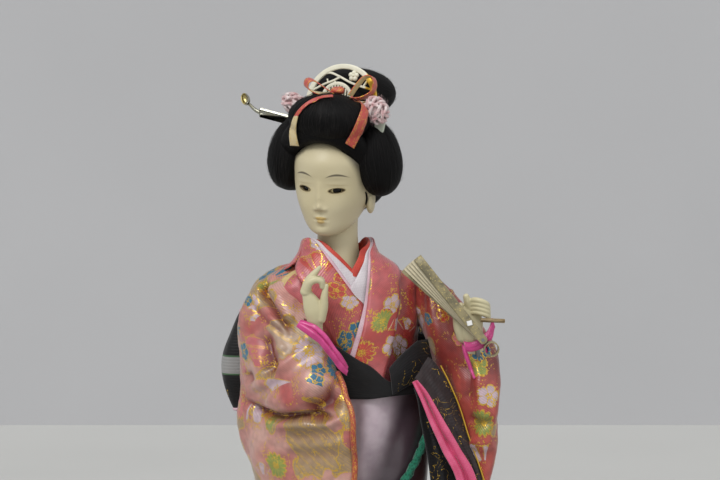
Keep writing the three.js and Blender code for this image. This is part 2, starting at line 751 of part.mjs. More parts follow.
collars.forEach((band, i) => {
  band.lift = i * bandLift;
  band.wall = i < collars.length - 1 ? collarWall : clothWall;
  const under = i > 0 ? [collarBand(collars[i - 1], collarEase)] : [];
  addPart(doll, band.name, cut(collarBand(band), ...under), band.finish);
});
const [piping, outermost] = collars.slice(-2);
const outerCollar = collarBand(outermost, fitGap);

// Cotton wound on the arm wires, inside the sleeves
const paddingRadii = { right: [6, 6.2, 6, 5.6, 5], left: [5.6, 6, 6, 5.6, 5] };
const forearmRadius = { right: 5.4, left: 5.6 };
const padding = (side, extra) =>
  tube(armPaths[side].slice(0, 5), paddingRadii[side], { sides: 7, steps: 7, extra });
const forearmRoom = (side) => {
  const radius = forearmRadius[side];
  return tube([forearm[side], wrist[side]], [radius, radius], { extra: fitGap });
};
const torsoRoom = worn(wornEase);
for (const side of ["right", "left"]) {
  const around = [armWire(side, fitGap), torsoRoom, outerCollar, forearmRoom(side)];
  addPart(doll, `arm_padding_${side}`, cut(padding(side, 0), ...around), cottonPad);
}

// Bodice: the kimono's upper body, open in a V at the chest
const vOpening = uprightPrism(
  [[-0.1, 285], [-13, 322], [0, 340], [13, 322]],
  30,
  at(neckX + 6, neckY - 18, 0),
  torsoTurn,
);
const bodice = cut(
  torso(fitGap + clothWall),
  torso(fitGap),
  placed(neck(slideGap + fitGap)),
  vOpening,
  padding("right", fitGap),
  padding("left", fitGap),
);
addPart(doll, "kimono_bodice", bodice, brocade);

// Skirt, its inner layer, and the padded roll at its hem, all open in an arch over the feet
const footArchHalf = [footWidth * 1.6, 36, footHeight * 1.6];
const footArch = ellipsoid(at(0, footArchHalf[1] / 2 - footToe, 0), footArchHalf, [0, 0, 0], 14, 9);
addPart(doll, "kimono_skirt", cut(skirt(0), skirt(-clothWall), footArch), brocade);
const underLift = -clothWall - fitGap;
const underLevels = 4; // it ends at the knees
const underSkirt = cut(skirt(underLift, underLevels), skirt(underLift - liningWall), footArch);
addPart(doll, "under_skirt", underSkirt, redPadding);

// A round cord or roll that closes on itself along a ring of points.
function ringCord(points, radius, sides) {
  const rings = points.map((point, i) => {
    const before = points[(i + points.length - 1) % points.length];
    const after = points[(i + 1) % points.length];
    const out = after.clone().sub(before).cross(at(0, 0, 1)).normalize();
    return Array.from({ length: sides }, (_, j) => {
      const a = (2 * Math.PI * j) / sides;
      const rise = at(0, 0, Math.sin(a) * radius);
      return point.clone().addScaledVector(out, Math.cos(a) * radius).add(rise);
    });
  });
  return solidOf(ringLoft(rings));
}
const hemRow = [hemRollRadius + fitGap, ...skirtRows[0].slice(1)];
const hemRing = levelRing(hemRow, 0, skirtSides, skirtFolds);
addPart(doll, "hem_roll", cut(ringCord(hemRing, hemRollRadius, 5), footArch), redPadding);

// Obi: a lavender satin wrap under two crossing black flaps, tied with a green crepe cord
const obiWall = 1.6;
const wrapWall = 1.2;
const endWall = 1.2;
const bodiceOut = fitGap + clothWall; // how far the bodice lies out of the core
const obiInner = bodiceOut + fitGap + clothWall + fitGap;
const waistRows = [
  [obiBottom, -1, 0, 22, 18, torsoTurn],
  [232, 1, 0, 21.4, 17.4, torsoTurn],
  [250, 2, 0, 19.2, 15.2, torsoTurn],
  [265, 0.6, 0, 20, 15.2, torsoTurn],
  [wrapTop + 3, -2, 0, 23.2, 15.6, torsoTurn],
];
const waist = (extra, bottom, top) => {
  const rows = [0, 0.25, 0.5, 0.75, 1].map((share) => {
    const z = bottom + (top - bottom) * share;
    return [z, ...rowAtHeight(waistRows, z).slice(1)];
  });
  return levelLoft(rows, { extra, levels: 2, sides: 22 });
};
const obiOuter = obiInner + obiWall;
addPart(
  doll,
  "obi_satin",
  cut(waist(obiOuter, obiBottom, obiTop), waist(obiInner, obiBottom - 2, obiTop + 2)),
  lavenderSatin,
);
const wrapInner = obiInner + 3 * bandLift; // over the collars' ends
const notch = uprightPrism(
  [[3, wrapNotch - 1], [-7, wrapTop - 6], [-13, wrapTop + 4], [20, wrapTop + 4], [12, wrapTop - 6]],
  24,
  at(8, -22, 0),
  torsoTurn,
);
addPart(
  doll,
  "obi_wrap_black",
  cut(
    waist(wrapInner + wrapWall, obiTop + fitGap, wrapTop),
    waist(wrapInner, obiTop - 2, wrapTop + 2),
    notch,
    outerCollar,
    collarBand(piping, fitGap),
  ),
  blackBrocade,
);
const cordSteps = 24;
const cordPath = Array.from({ length: cordSteps }, (_, i) => {
  const rise = 0.5 + 0.5 * Math.sin((2 * Math.PI * i) / cordSteps + 0.5);
  const z = cordFront + (cordSide - cordFront) * rise;
  return levelRing(rowAtHeight(waistRows, z), obiOuter + fitGap + cordRadius, cordSteps)[i];
});
addPart(doll, "obi_cord_green", ringCord(cordPath, cordRadius, 6), greenCrepe);

// Bow at the back: two loops of wide cloth beside a knot, with one hanging end
const bowHeight = 45;
const bowMiddle = 268; // height of its middle
const bowBack = 38.5; // from the waist's middle back to the bow's
const bowSpread = 29; // from its middle to the middle of a loop
const bowWall = 1.6;
const knotHalf = [7, 13, 17];
const backTailWidths = [22, 32, 36, 38];
const backward = at(-Math.sin(rad(torsoTurn)), Math.cos(rad(torsoTurn)), 0);
const sideways = at(Math.cos(rad(torsoTurn)), Math.sin(rad(torsoTurn)), 0);
const bowCentre = at(1, 0, bowMiddle).addScaledVector(backward, bowBack);
const bowLoop = (side, extra) => {
  const centre = bowCentre.clone().addScaledVector(sideways, side * bowSpread);
  const rows = [-0.5, -0.3, 0, 0.3, 0.5].map((s) => {
    const bulge = Math.cos(s * 2.1);
    const height = bowHeight - 4 * Math.min(extra, 0); // the hollow runs out at both ends
    return [bowMiddle + s * height, centre.x, centre.y, 22 + 8 * bulge, 7 + 6 * bulge, torsoTurn];
  });
  return levelLoft(rows, { extra, levels: 4, sides: 14 });
};
const knot = (extra) =>
  ellipsoid(bowCentre, knotHalf.map((h) => h + extra), [0, 0, torsoTurn], 10, 6);
for (const [name, side] of [["right", -1], ["left", 1]]) {
  addPart(
    doll,
    `bow_loop_${name}`,
    cut(bowLoop(side, 0), bowLoop(side, -bowWall), knot(fitGap), torsoRoom),
    blackBrocade,
  );
}
addPart(doll, "bow_knot", cut(knot(0), torsoRoom), blackBrocade);
// Each point of the hanging end: how far it lies behind the knot's middle, and its height
const backTailCourse = [[1, bowMiddle - 8], [7, 232], [6, 195], [10, 145]];
const backTailPath = backTailCourse.map(([back, z]) =>
  bowCentre.clone().addScaledVector(backward, back).setZ(z),
);
const backTail = ribbon(backTailPath, [backward, backward], backTailWidths, bowWall);
const loops = [bowLoop(-1, fitGap), bowLoop(1, fitGap)];
addPart(doll, "bow_hanging_end", cut(backTail, knot(fitGap), ...loops, torsoRoom), blackBrocade);

// Sleeves with their satin linings, open at the wrists
const liningShows = 3; // how far the lining stands out of the mouth
for (const [side, { rows }] of Object.entries(sleeves)) {
  const around = [padding(side, fitGap), torsoRoom, outerCollar];
  const cloth = cut(sleeve(rows, 0), sleeve(rows, -clothWall), sleeveMouth(side, 0), ...around);
  addPart(doll, `sleeve_${side}`, cloth, brocade);
  const liningOut = -clothWall - fitGap;
  const lining = cut(
    sleeve(rows, liningOut, liningFrom),
    sleeve(rows, liningOut - liningWall),
    sleeveMouth(side, liningShows),
    forearmRoom(side),
    ...around,
  );
  addPart(doll, `sleeve_lining_${side}`, lining, pinkSatin);
}

// Two hanging ends at the doll's left hip, one black, one black faced with pink
const endFacings = path([0.84, -0.54, 0], [0.6, -0.8, 0], [0.55, -0.83, 0]);
const innerPath = path([22, -8, 256], [25.5, -15, 245], [31.5, -21.5, 216], [34, -22, 172]);
const innerEnd = ribbon(innerPath, endFacings, [8, 12, 14, 15], endWall);
const outerPath = path([25, -15, 270], [30, -23, 252], [38, -28.5, 230], [42.5, -30, 208], [44, -29, 172]);
const outerEnd = ribbon(outerPath, endFacings, [10, 13, 15, 16, 16], endWall);
const facingPath = path([22, -20, 262], [27, -25, 247], [34.5, -29.6, 228], [39, -31.4, 208], [40.5, -31, 172]);
const facing = ribbon(facingPath, endFacings, [4, 6, 8, 9, 9], liningWall);
const hipClear = [
  waist(obiOuter + fitGap, obiBottom - fitGap, obiTop + fitGap),
  waist(wrapInner + wrapWall + fitGap, obiTop, wrapTop + fitGap),
  ringCord(cordPath, cordRadius + fitGap, 6),
  skirt(fitGap),
  sleeve(leftSleeveRows, fitGap),
];
addPart(doll, "obi_end_inner", cut(innerEnd, ...hipClear, outerEnd), blackBrocade);
addPart(doll, "obi_end_outer", cut(outerEnd, ...hipClear), blackBrocade);
addPart(doll, "obi_end_facing", cut(facing, outerEnd, innerEnd, ...hipClear), pinkSatin);

// Head, in its own frame: it faces -Y, and its centre is the origin.
head.position.copy(headCentre);
head.rotation.set(rad(headNod), rad(headLean), rad(headTurn), "ZXY");
head.updateMatrix();
const intoHead = head.matrix.clone().invert();
const headRows = [
  [-26.5, 0, -13, 4.5, 4, 0],
  [-24.5, 0, -12, 8.5, 8, 0],
  [-21, 0, -9, 12, 12.5, 0],
  [-15, 0, -5, 14.7, 17, 0],
  [-8, 0, -2, 16, 20, 0],
  [0, 0, 0, 16.8, 22, 0],
  [8, 0, 0.5, 17, 22.5, 0],
  [14, 0, 1, 14.5, 19, 0],
  [17, 0, 1, 11, 15, 0],
  [19, 0, 1, 5, 7, 0],
];
const skull = (extra) => levelLoft(headRows, { extra, levels: 9, sides: 18 });
const skullGrown = skull(fitGap);
const eyes = { right: -eyeSpacing / 2, left: eyeSpacing / 2 };
const eyeBack = -16.4; // where the middle of an eyeball lies
const eyeHalf = [4.2, 3, 3.2];
const noTurn = [0, 0, 0];
const grown = (halves, extra) => halves.map((half) => half + extra);
const eyeBall = (x, extra) =>
  ellipsoid(at(x, eyeBack, eyeHeight), grown(eyeHalf, extra), noTurn, 8, 6);
const slitHalf = [eyeWidth / 2, eyeSocketDepth + 1, eyeOpening / 2];
const eyeSlit = (x) => ellipsoid(at(x, eyeBack - 4, eyeHeight), slitHalf, noTurn, 10, 4);
const nose = ellipsoid(at(0, -21.4, -10.5), [1.9, 2.6, 4.6], [-14, 0, 0], 10, 6);
const lips = ellipsoid(at(0, -21, -18), [2.6, 1.7, 1.5], noTurn, 8, 5);
const ear = (side, extra) =>
  ellipsoid(at(side * 16.4, 2, -9), grown([2, 3.6, 6.2], extra), [-8, 0, side * 14], 8, 6);
const neckInHead = (extra) => solidOf(neck(extra).applyMatrix4(intoHead));
const headSolid = cut(
  joined(skull(0), nose, lips, ear(-1, 0), ear(1, 0), neckInHead(0)),
  ...Object.values(eyes).flatMap((x) => [eyeBall(x, slideGap), eyeSlit(x)]),
);
addPart(head, "head", headSolid, skin);
for (const [name, x] of Object.entries(eyes)) addPart(head, `eye_${name}`, eyeBall(x, 0), eyeGlass);

// Hairpin: a flat bar pushed in from the doll's right, bent up into an ear pick at its end
const pinTilt = 10; // its slope down towards the doll's left
const pinRoll = -20;
const pinStart = at(-40.7, 3, 24);
const pinBar = (extra, more) => {
  const bar = new THREE.BoxGeometry(pinLength + extra + more, pinWidth + 2 * extra, pinWall + 2 * extra);
  bar.translate((pinLength + more - extra) / 2 + extra, 0, 0);
  bar.rotateX(rad(pinRoll));
  bar.rotateY(rad(pinTilt));
  return placed(bar, pinStart);
};
const pinNeck = tube(
  [pinStart.clone().add(at(1.5, 0, -0.3)), ...path([-43.2, 3, 25.2], [-46, 3, 27.6])],
  [0.85, 0.8, 0.8],
  { sides: 6, steps: 4 },
);
const pinScoop = ellipsoid(at(-47.6, 2.9, 29.4), [1.1, 2.1, 3], [0, -42, 0], 10, 6);
addPart(head, "hairpin", joined(pinBar(0, 0), pinNeck, pinScoop), pinSilver);
const pinPath = pinBar(slideGap, 0.6);

// Comb: a half-round openwork plate whose teeth stand in the hair
const combTilt = 20; // its lean to the back
const combFoot = at(0.7, -1, 32.4);
// A flat piece of the comb, lying down.
function combPlate(outline, extra) {
  const plate = new THREE.ExtrudeGeometry(outline, {
    depth: combWall + 2 * extra,
    bevelEnabled: false,
    curveSegments: 5,
  });
  return solidOf(plate.translate(0, 0, -combWall / 2 - extra));
}
const standComb = (solid) =>
  placed(geometryOf(solid).rotateX(Math.PI / 2).rotateX(-rad(combTilt)), combFoot);
const flatBar = (from, to, wide) => {
  const along = new THREE.Vector2(to[0] - from[0], to[1] - from[1]).normalize();
  const off = new THREE.Vector2(-along.y, along.x).multiplyScalar(wide / 2);
  const corners = [[from, 1], [from, -1], [to, -1], [to, 1]];
  return new THREE.Shape(corners.map(([[x, y], s]) => new THREE.Vector2(x + off.x * s, y + off.y * s)));
};
const halfRing = (outer, inner) => {
  const band = new THREE.Shape();
  band.absarc(0, 0, outer, 0, Math.PI);
  band.absarc(0, 0, inner, Math.PI, 0, true);
  return band;
};
const flatDisc = (x, y, radius) => {
  const disc = new THREE.Shape();
  disc.absarc(x, y, radius, 0, 1.9999 * Math.PI);
  return disc;
};
const innerArch = combRadius * 0.55;
const innerArchBand = 1.6;
const footBar = 2.2;
const branchWidth = 1.2;
const blossom = { x: 5.2, y: 10, reach: 1.7, petal: 1.4 };
const toothWidth = 1.5;
const toothSpan = 2 * combRadius - 4; // what the row of teeth takes up
const petals = Array.from({ length: 5 }, (_, i) => {
  const a = rad(90 + 72 * i);
  const { x, y, reach, petal } = blossom;
  return flatDisc(x + reach * Math.cos(a), y + reach * Math.sin(a), petal);
});
const teeth = Array.from({ length: combTeeth }, (_, i) => {
  const x = ((i - (combTeeth - 1) / 2) * toothSpan) / combTeeth;
  return flatBar([x, 0.5], [x, -combToothLength], toothWidth);
});
const combOutlines = [
  halfRing(combRadius, combRadius - combBand),
  halfRing(innerArch, innerArch - innerArchBand),
  flatBar([-combRadius, 0.4], [combRadius, 0.4], footBar),
  flatBar([-combRadius + 3, 10.5], [combRadius - 2.5, 5], branchWidth),
  flatBar([-combRadius + 5, 4.6], [-1.5, 9.4], branchWidth),
  ...petals,
  ...teeth,
];
const comb = standComb(joined(...combOutlines.map((outline) => combPlate(outline, 0))));
addPart(head, "comb", comb, ivoryComb);
const slotHalf = combRadius + slideGap;
const slotOutlines = [
  halfRing(slotHalf, 0.1),
  flatBar([-slotHalf, 0], [slotHalf, 0], footBar + 2 * slideGap),
  flatBar([0, 1], [0, -combToothLength - slideGap], toothSpan + 2 * slideGap),
];
const combSlot = standComb(joined(...slotOutlines.map((outline) => combPlate(outline, slideGap))));

// Hair, in glued masses over the skull: front roll, side wings, back and topknot
const frontRoll = (extra) => ellipsoid(at(0, -12, 26), grown([18, 13, 11], extra), noTurn, 14, 9);
const sideWing = (side, extra) => ellipsoid(at(side * 21, 0, 7), grown([11, 15, 17], extra), noTurn, 12, 8);
const backHair = (extra) => ellipsoid(at(0, 16, 1), grown([19, 13, 22], extra), noTurn, 12, 8);
const topknot = (extra) => ellipsoid(at(2, 18, 33), grown([15.5, 17, 11], extra), noTurn, 14, 8);
addPart(head, "hair_front", cut(frontRoll(0), skullGrown, pinPath, combSlot), hairBlack);
const frontGrown = frontRoll(fitGap);
for (const [name, side] of [["right", -1], ["left", 1]]) {
  const around = [skullGrown, ear(side, fitGap), frontGrown, pinPath];
  addPart(head, `hair_side_${name}`, cut(sideWing(side, 0), ...around), hairBlack);
}
const wingsGrown = [sideWing(-1, fitGap), sideWing(1, fitGap)];
const nape = cut(backHair(0), skullGrown, neckInHead(fitGap), frontGrown, ...wingsGrown);
addPart(head, "hair_back", nape, hairBlack);
addPart(
  head,
  "hair_topknot",
  cut(topknot(0), skullGrown, backHair(fitGap), frontGrown, ...wingsGrown, pinPath, combSlot),
  hairBlack,
);

// Tufts of pale wool beside the comb
const hairGrown = [frontGrown, ...wingsGrown, topknot(fitGap), pinPath];
const tufts = { right: [at(-20.9, -3, 29.4), 0.95], left: [at(20.5, -7, 30.6), 1.1] };
for (const [name, [middle, size]] of Object.entries(tufts)) {
  const half = pomponRadius * size;
  const tuft = ellipsoid(middle, [half, half * 0.8, half], noTurn, 8, 6);
  addPart(head, `pompon_${name}`, cut(tuft, ...hairGrown, combSlot), pinkTuft);
}

// Ribbon: a bow on the front roll and two tails that lie down its sides
const bowMiddleX = 3.3;
const bowY = -6;
const bowRing = (middle, across, up, tilt) => {
  const count = 10;
  const rings = Array.from({ length: count }, (_, i) => {
    const a = (2 * Math.PI * i) / count;
    const out = at(Math.cos(a), 0, Math.sin(a));
    return [-1, 1, 1, -1].map((s, j) => {
      const wall = (j < 2 ? 0.5 : -0.5) * ribbonWall;
      const p = at((across + wall) * out.x, (s * ribbonWidth) / 2, (up + wall) * out.z);
      return p.applyAxisAngle(at(0, 1, 0), rad(tilt)).add(middle);
    });
  });
  return solidOf(ringLoft(rings));
};
const ribbonBow = joined(
  bowRing(at(bowMiddleX - 6.7, bowY, 39.6), 6.6, 2.6, 18),
  bowRing(at(bowMiddleX + 7.1, bowY, 40.6), 6.8, 4, -28),
  ellipsoid(at(bowMiddleX, bowY, 37.8), [2.4, ribbonWidth * 0.55, 1.7], noTurn, 8, 6),
);
const ribbonClear = [frontGrown, ...wingsGrown, skullGrown];
addPart(head, "ribbon_bow", cut(ribbonBow, ...ribbonClear), goldRibbon);
const tailPaths = {
  right: {
    points: path([-1.4, -6.5, 37], [-9.8, -7, 34.8], [-16.6, -8.6, 29], [-19.4, -11, 21], [-18.6, -15, 14]),
    facings: path([0, 0, 1], [-0.4, -0.2, 0.9], [-0.8, -0.4, 0.4], [-0.8, -0.6, 0.1], [-0.6, -0.8, 0]),
  },
  left: {
    points: path([8.4, -7, 36], [12.9, -12, 34.8], [15.4, -17.6, 31], [15.6, -20.4, 25.6], [13.4, -21.6, 18]),
    facings: path([0.2, 0, 1], [0.4, -0.3, 0.9], [0.6, -0.7, 0.4], [0.5, -0.9, 0.1], [0.3, -0.9, -0.1]),
  },
};
const bowRoom = ellipsoid(at(bowMiddleX, bowY, 38.5), [16, ribbonWidth + 1, 5.5]);
for (const [name, { points, facings }] of Object.entries(tailPaths)) {
  const tail = ribbon(points, facings, [ribbonWidth, ribbonWidth], ribbonWall, 10);
  addPart(head, `ribbon_tail_${name}`, cut(tail, bowRoom, ...ribbonClear), goldRibbon);
}

doll.position.z = boardHeight;
doll.add(head, fan);

const geishaDoll = new THREE.Group();
geishaDoll.name = "geisha_doll";
geishaDoll.add(board, doll);
export default geishaDoll;
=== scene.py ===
# A standing kimono doll on a lacquered board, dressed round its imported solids.
# Numbers are millimetres, with heights above the top of the board, unless a line says otherwise.
import math
import random

import bmesh
import bpy
from mathutils import Matrix, Vector, noise


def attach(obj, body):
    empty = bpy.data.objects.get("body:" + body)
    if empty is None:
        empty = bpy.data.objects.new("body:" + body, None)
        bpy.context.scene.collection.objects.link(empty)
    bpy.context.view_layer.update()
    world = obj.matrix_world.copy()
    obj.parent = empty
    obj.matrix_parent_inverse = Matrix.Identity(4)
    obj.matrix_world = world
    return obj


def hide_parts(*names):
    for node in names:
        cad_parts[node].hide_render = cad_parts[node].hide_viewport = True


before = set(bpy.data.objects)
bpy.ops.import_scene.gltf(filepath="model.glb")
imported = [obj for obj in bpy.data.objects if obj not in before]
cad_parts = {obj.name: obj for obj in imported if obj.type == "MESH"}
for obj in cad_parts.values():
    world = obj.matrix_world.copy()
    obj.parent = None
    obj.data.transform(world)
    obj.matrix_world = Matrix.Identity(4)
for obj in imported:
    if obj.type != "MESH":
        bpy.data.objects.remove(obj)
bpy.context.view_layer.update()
bpy.ops.object.select_all(action="DESELECT")
scene = bpy.context.scene
boardTop = 18  # the board's thickness
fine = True  # coarser meshes only while working


def mm(x, y, z):
    return Vector((x, y, z + boardTop)) / 1000


# Camera, at the height and distance that the doll was looked at from
view = {"lens": 100, "sensor": 36, "away": 900, "aimX": -4.5, "aimZ": 324, "down": 3}
frameWidth, frameHeight = 720, 480
pixelFocus = frameWidth * view["lens"] / view["sensor"]
tilt = math.radians(view["down"])
lookAlong = Vector((0, math.cos(tilt), -math.sin(tilt)))
lookUp = Vector((0, math.sin(tilt), math.cos(tilt)))
cameraPlace = mm(view["aimX"], 0, view["aimZ"]) - lookAlong * view["away"] / 1000
bpy.ops.object.camera_add(location=cameraPlace, rotation=(math.pi / 2 - tilt, 0, 0))
camera = bpy.context.object
camera.data.lens = view["lens"]
camera.data.sensor_width = view["sensor"]
camera.data.clip_end = 20
scene.camera = camera
scene.view_settings.view_transform = "Standard"


# Where a point falls in the camera's frame, in pixels from its top left corner
def seenAt(point):
    offset = point - cameraPlace
    depth = offset.dot(lookAlong)
    return (
        frameWidth / 2 + pixelFocus * offset.x / depth,
        frameHeight / 2 - pixelFocus * offset.dot(lookUp) / depth,
    )


# The point under a pixel of the frame at a given depth: y in millimetres, towards the viewer below zero
def atPixel(px, py, depth):
    aim = (
        lookAlong
        + Vector(((px - frameWidth / 2) / pixelFocus, 0, 0))
        - lookUp * ((py - frameHeight / 2) / pixelFocus)
    )
    point = cameraPlace + aim * ((depth / 1000 - cameraPlace.y) / aim.y)
    return (point.x * 1000, point.y * 1000, point.z * 1000 - boardTop)


# Colours and nodes
def hexColour(text):
    channels = [int(text[i:i + 2], 16) / 255 for i in (1, 3, 5)]
    return (*[c / 12.92 if c <= 0.04045 else ((c + 0.055) / 1.055) ** 2.4 for c in channels], 1)


def addNode(tree, kind, inputs=None, out=0, **settings):
    node = tree.nodes.new("ShaderNode" + kind)
    for key, value in settings.items():
        setattr(node, key, value)
    for key, value in (inputs or {}).items():
        socket = node.inputs[key]
        if isinstance(value, bpy.types.NodeSocket):
            tree.links.new(value, socket)
        else:
            socket.default_value = hexColour(value) if isinstance(value, str) else value
    return node if out is None else node.outputs[out]


# Settings of a Mix node that blends or multiplies colours
blended = {"out": 2, "data_type": "RGBA"}
multiplied = {**blended, "blend_type": "MULTIPLY"}


def newMaterial(name, colour, roughness, extra=None):
    material = bpy.data.materials.new(name)
    material.use_nodes = True
    shader = material.node_tree.nodes["Principled BSDF"]
    values = {"Base Color": colour, "Roughness": roughness, **(extra or {})}
    for socket, value in values.items():
        shader.inputs[socket].default_value = hexColour(value) if isinstance(value, str) else value
    return material, material.node_tree, shader


# Meshes
def meshObject(name, points, faces, uvs=None):
    mesh = bpy.data.meshes.new(name)
    mesh.from_pydata(points, [], faces)
    if uvs:
        layer = mesh.uv_layers.new(name="cloth")
        layer.data.foreach_set("uv", [value for pair in uvs for value in pair])
    mesh.shade_smooth()
    piece = bpy.data.objects.new(name, mesh)
    scene.collection.objects.link(piece)
    return piece


# A grid of points as a surface; its map runs in millimetres, across from the middle of
# each row and up from the first row
def clothGrid(name, rings, closed=True, caps=False):
    count = len(rings[0])
    spans = count if closed else count - 1
    middle = count // 2
    across = []
    for ring in rings:
        run = [0]
        for i in range(spans):
            run.append(run[-1] + (ring[(i + 1) % count] - ring[i]).length * 1000)
        across.append([value - run[middle] for value in run])
    up = [0]
    for below, ring in zip(rings, rings[1:]):
        up.append(up[-1] + (ring[middle] - below[middle]).length * 1000)
    points = [point for ring in rings for point in ring]
    faces, uvs = [], []
    for r in range(len(rings) - 1):
        for i in range(spans):
            j = (i + 1) % count
            faces.append((r * count + i, r * count + j, (r + 1) * count + j, (r + 1) * count + i))
            uvs += [(across[r][i], up[r]), (across[r][i + 1], up[r])]
            uvs += [(across[r + 1][i + 1], up[r + 1]), (across[r + 1][i], up[r + 1])]
    if caps:
        for r, turned in ((0, True), (len(rings) - 1, False)):
            points.append(sum(rings[r], Vector()) / count)
            for i in range(count):
                pair = [r * count + i, r * count + (i + 1) % count]
                faces.append((*(reversed(pair) if turned else pair), len(points) - 1))
                uvs += [(across[r][i], up[r]), (across[r][i + 1], up[r]), (across[r][i], up[r])]
    return meshObject(name, points, faces, uvs)


def blendRows(rows, share):
    place = share * (len(rows) - 1)
    k = min(int(place), len(rows) - 2)
    t = place - k
    near = [rows[min(max(k + d, 0), len(rows) - 1)] for d in (-1, 0, 1, 2)]
    row = []
    for p0, p1, p2, p3 in zip(*near):
        s1, s2 = (p2 - p0) / 2, (p3 - p1) / 2
        cubic, square = 2 * p1 - 2 * p2 + s1 + s2, 3 * p2 - 3 * p1 - 2 * s1 - s2
        row.append(cubic * t**3 + square * t**2 + s1 * t + p1)
    return row


def rowAtHeight(rows, z):
    low, high = 0, 1
    for _ in range(20):
        share = (low + high) / 2
        if blendRows(rows, share)[0] < z:
            low = share
        else:
            high = share
    return blendRows(rows, low)


# A point of a level ring: rows hold height, middle x and y, half width, half depth and turn in degrees.
def ringPoint(row, angle, extra=0):
    z, x, y, across, deep, turn = row
    u, v = (across + extra) * math.cos(angle), (deep + extra) * math.sin(angle)
    c, s = math.cos(math.radians(turn)), math.sin(math.radians(turn))
    return mm(x + u * c - v * s, y + u * s + v * c, z)


# Rings start at the back, so that their middle lies at the front.
def levelRing(row, extra, sides, folds=None):
    angles = [math.pi / 2 + 2 * math.pi * i / sides for i in range(sides)]
    return [ringPoint(row, a, extra + (folds(a, row[0]) if folds else 0)) for a in angles]


def levelRings(rows, extra, levels, sides, folds=None, start=0.0, end=1.0):
    shares = [start + (end - start) * k / levels for k in range(levels + 1)]
    return [levelRing(blendRows(rows, share), extra, sides, folds) for share in shares]


# Rings of a band or cord that follows points; facings give its outward side.
def sweepRings(points, widths, walls, facings, steps, sides=12, square=2.0, closed=False, roundEnds=False):
    count = len(points)
    if closed:
        middles = [Vector(points[k]) for k in range(count)]
        steps = count - 1
    else:
        middles = [Vector(blendRows(points, k / steps)) for k in range(steps + 1)]
    rings = []
    for k, middle in enumerate(middles):
        share = k / steps
        before = middles[k - 1] if k or closed else middles[0]
        after = middles[(k + 1) % len(middles)] if k < steps or closed else middles[-1]
        along = (after - before).normalized()
        out = Vector(blendRows(facings, share)) if len(facings) > 1 else Vector(facings[0])
        out = (out - along * out.dot(along)).normalized()
        side = out.cross(along)
        width = blendRows([[w] for w in widths], share)[0] / 2 if len(widths) > 1 else widths[0] / 2
        wall = blendRows([[w] for w in walls], share)[0] / 2 if len(walls) > 1 else walls[0] / 2
        ring = []
        for i in range(sides):
            a = -math.pi / 2 + 2 * math.pi * (i + 0.5) / sides
            c, s = math.cos(a), math.sin(a)
            x = math.copysign(abs(c) ** (2 / square), c) * width
            y = math.copysign(abs(s) ** (2 / square), s) * wall
            ring.append(mm(*(middle + side * x + out * y)))
        rings.append(ring)
    if roundEnds:
        for end, inner in ((0, 1), (-1, -2)):
            centre = sum(rings[end], Vector()) / sides
            step = (centre - sum(rings[inner], Vector()) / sides).normalized()
            reach = max((p - centre).length for p in rings[end])
            domes = []
            for share in (0.35, 0.7, 0.93):
                shift = step * reach * share * 0.8
                domes.append([centre + (p - centre) * math.sqrt(1 - share**2) + shift for p in rings[end]])
            rings = list(reversed(domes)) + rings if end == 0 else rings + domes
    return rings


def sweep(name, points, widths, walls, facings=((0, -1, 0.001),), steps=24, **settings):
    return clothGrid(name, sweepRings(points, widths, walls, facings, steps, **settings), caps=True)


def tube(name, points, radii, steps=16, sides=12, facings=((0, -1, 0.001),)):
    doubled = [2 * r for r in radii]
    return sweep(name, points, doubled, doubled, facings, steps, sides=sides, roundEnds=True)


def ringTube(name, points, radius, sides=10, wave=None):
    rings = []
    for k, point in enumerate(points):
        before, after = Vector(points[k - 1]), Vector(points[(k + 1) % len(points)])
        along = (after - before).normalized()
        out = along.cross(Vector((0, 0, 1))).normalized()
        up = out.cross(along)
        ring = []
        for j in range(sides):
            a = 2 * math.pi * j / sides
            r = radius + (wave(k, a) if wave else 0)
            ring.append(mm(*(Vector(point) + out * math.cos(a) * r + up * math.sin(a) * r)))
        rings.append(ring)
    piece = clothGrid(name, rings + rings[:1])
    applyEdit(piece, merge=True)
    return piece


def applyModifier(piece, kind, **settings):
    modifier = piece.modifiers.new(kind.title(), kind)
    for key, value in settings.items():
        setattr(modifier, key, value)
    bpy.context.view_layer.objects.active = piece
    bpy.ops.object.modifier_apply(modifier=modifier.name)


# Doubles merged and faces turned outwards, in edit mode
def applyEdit(piece, merge=True, outward=True):
    bpy.ops.object.select_all(action="DESELECT")
    bpy.context.view_layer.objects.active = piece
    piece.select_set(True)
    bpy.ops.object.mode_set(mode="EDIT")
    bpy.ops.mesh.select_all(action="SELECT")
    if merge:
        bpy.ops.mesh.remove_doubles(threshold=1e-6)
    if outward:
        bpy.ops.mesh.normals_make_consistent(inside=False)
    bpy.ops.object.mode_set(mode="OBJECT")
    piece.select_set(False)


def joinPieces(pieces):
    bpy.ops.object.select_all(action="DESELECT")
    for piece in pieces:
        piece.select_set(True)
    bpy.context.view_layer.objects.active = pieces[0]
    bpy.ops.object.join()
    pieces[0].select_set(False)
    return pieces[0]


# One skin over overlapping forms, as a casting has
def castTogether(pieces, voxel, rounds):
    body = joinPieces(pieces)
    applyModifier(body, "REMESH", mode="VOXEL", voxel_size=voxel / 1000)
    applyModifier(body, "SMOOTH", factor=0.5, iterations=rounds)
    body.data.shade_smooth()
    return body


def thicken(piece, wall, offset=-1):
    applyModifier(piece, "SOLIDIFY", thickness=wall / 1000, offset=offset)


def dress(piece, body, slotName, material, *nodes):
    piece.data.materials.clear()
    piece.data.materials.append(material)
    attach(piece, body)
    if nodes:
        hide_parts(*nodes)
    return piece


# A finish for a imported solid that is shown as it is
def paintNode(name, material):
    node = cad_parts[name]
    node.data.materials.clear()
    node.data.materials.append(material)


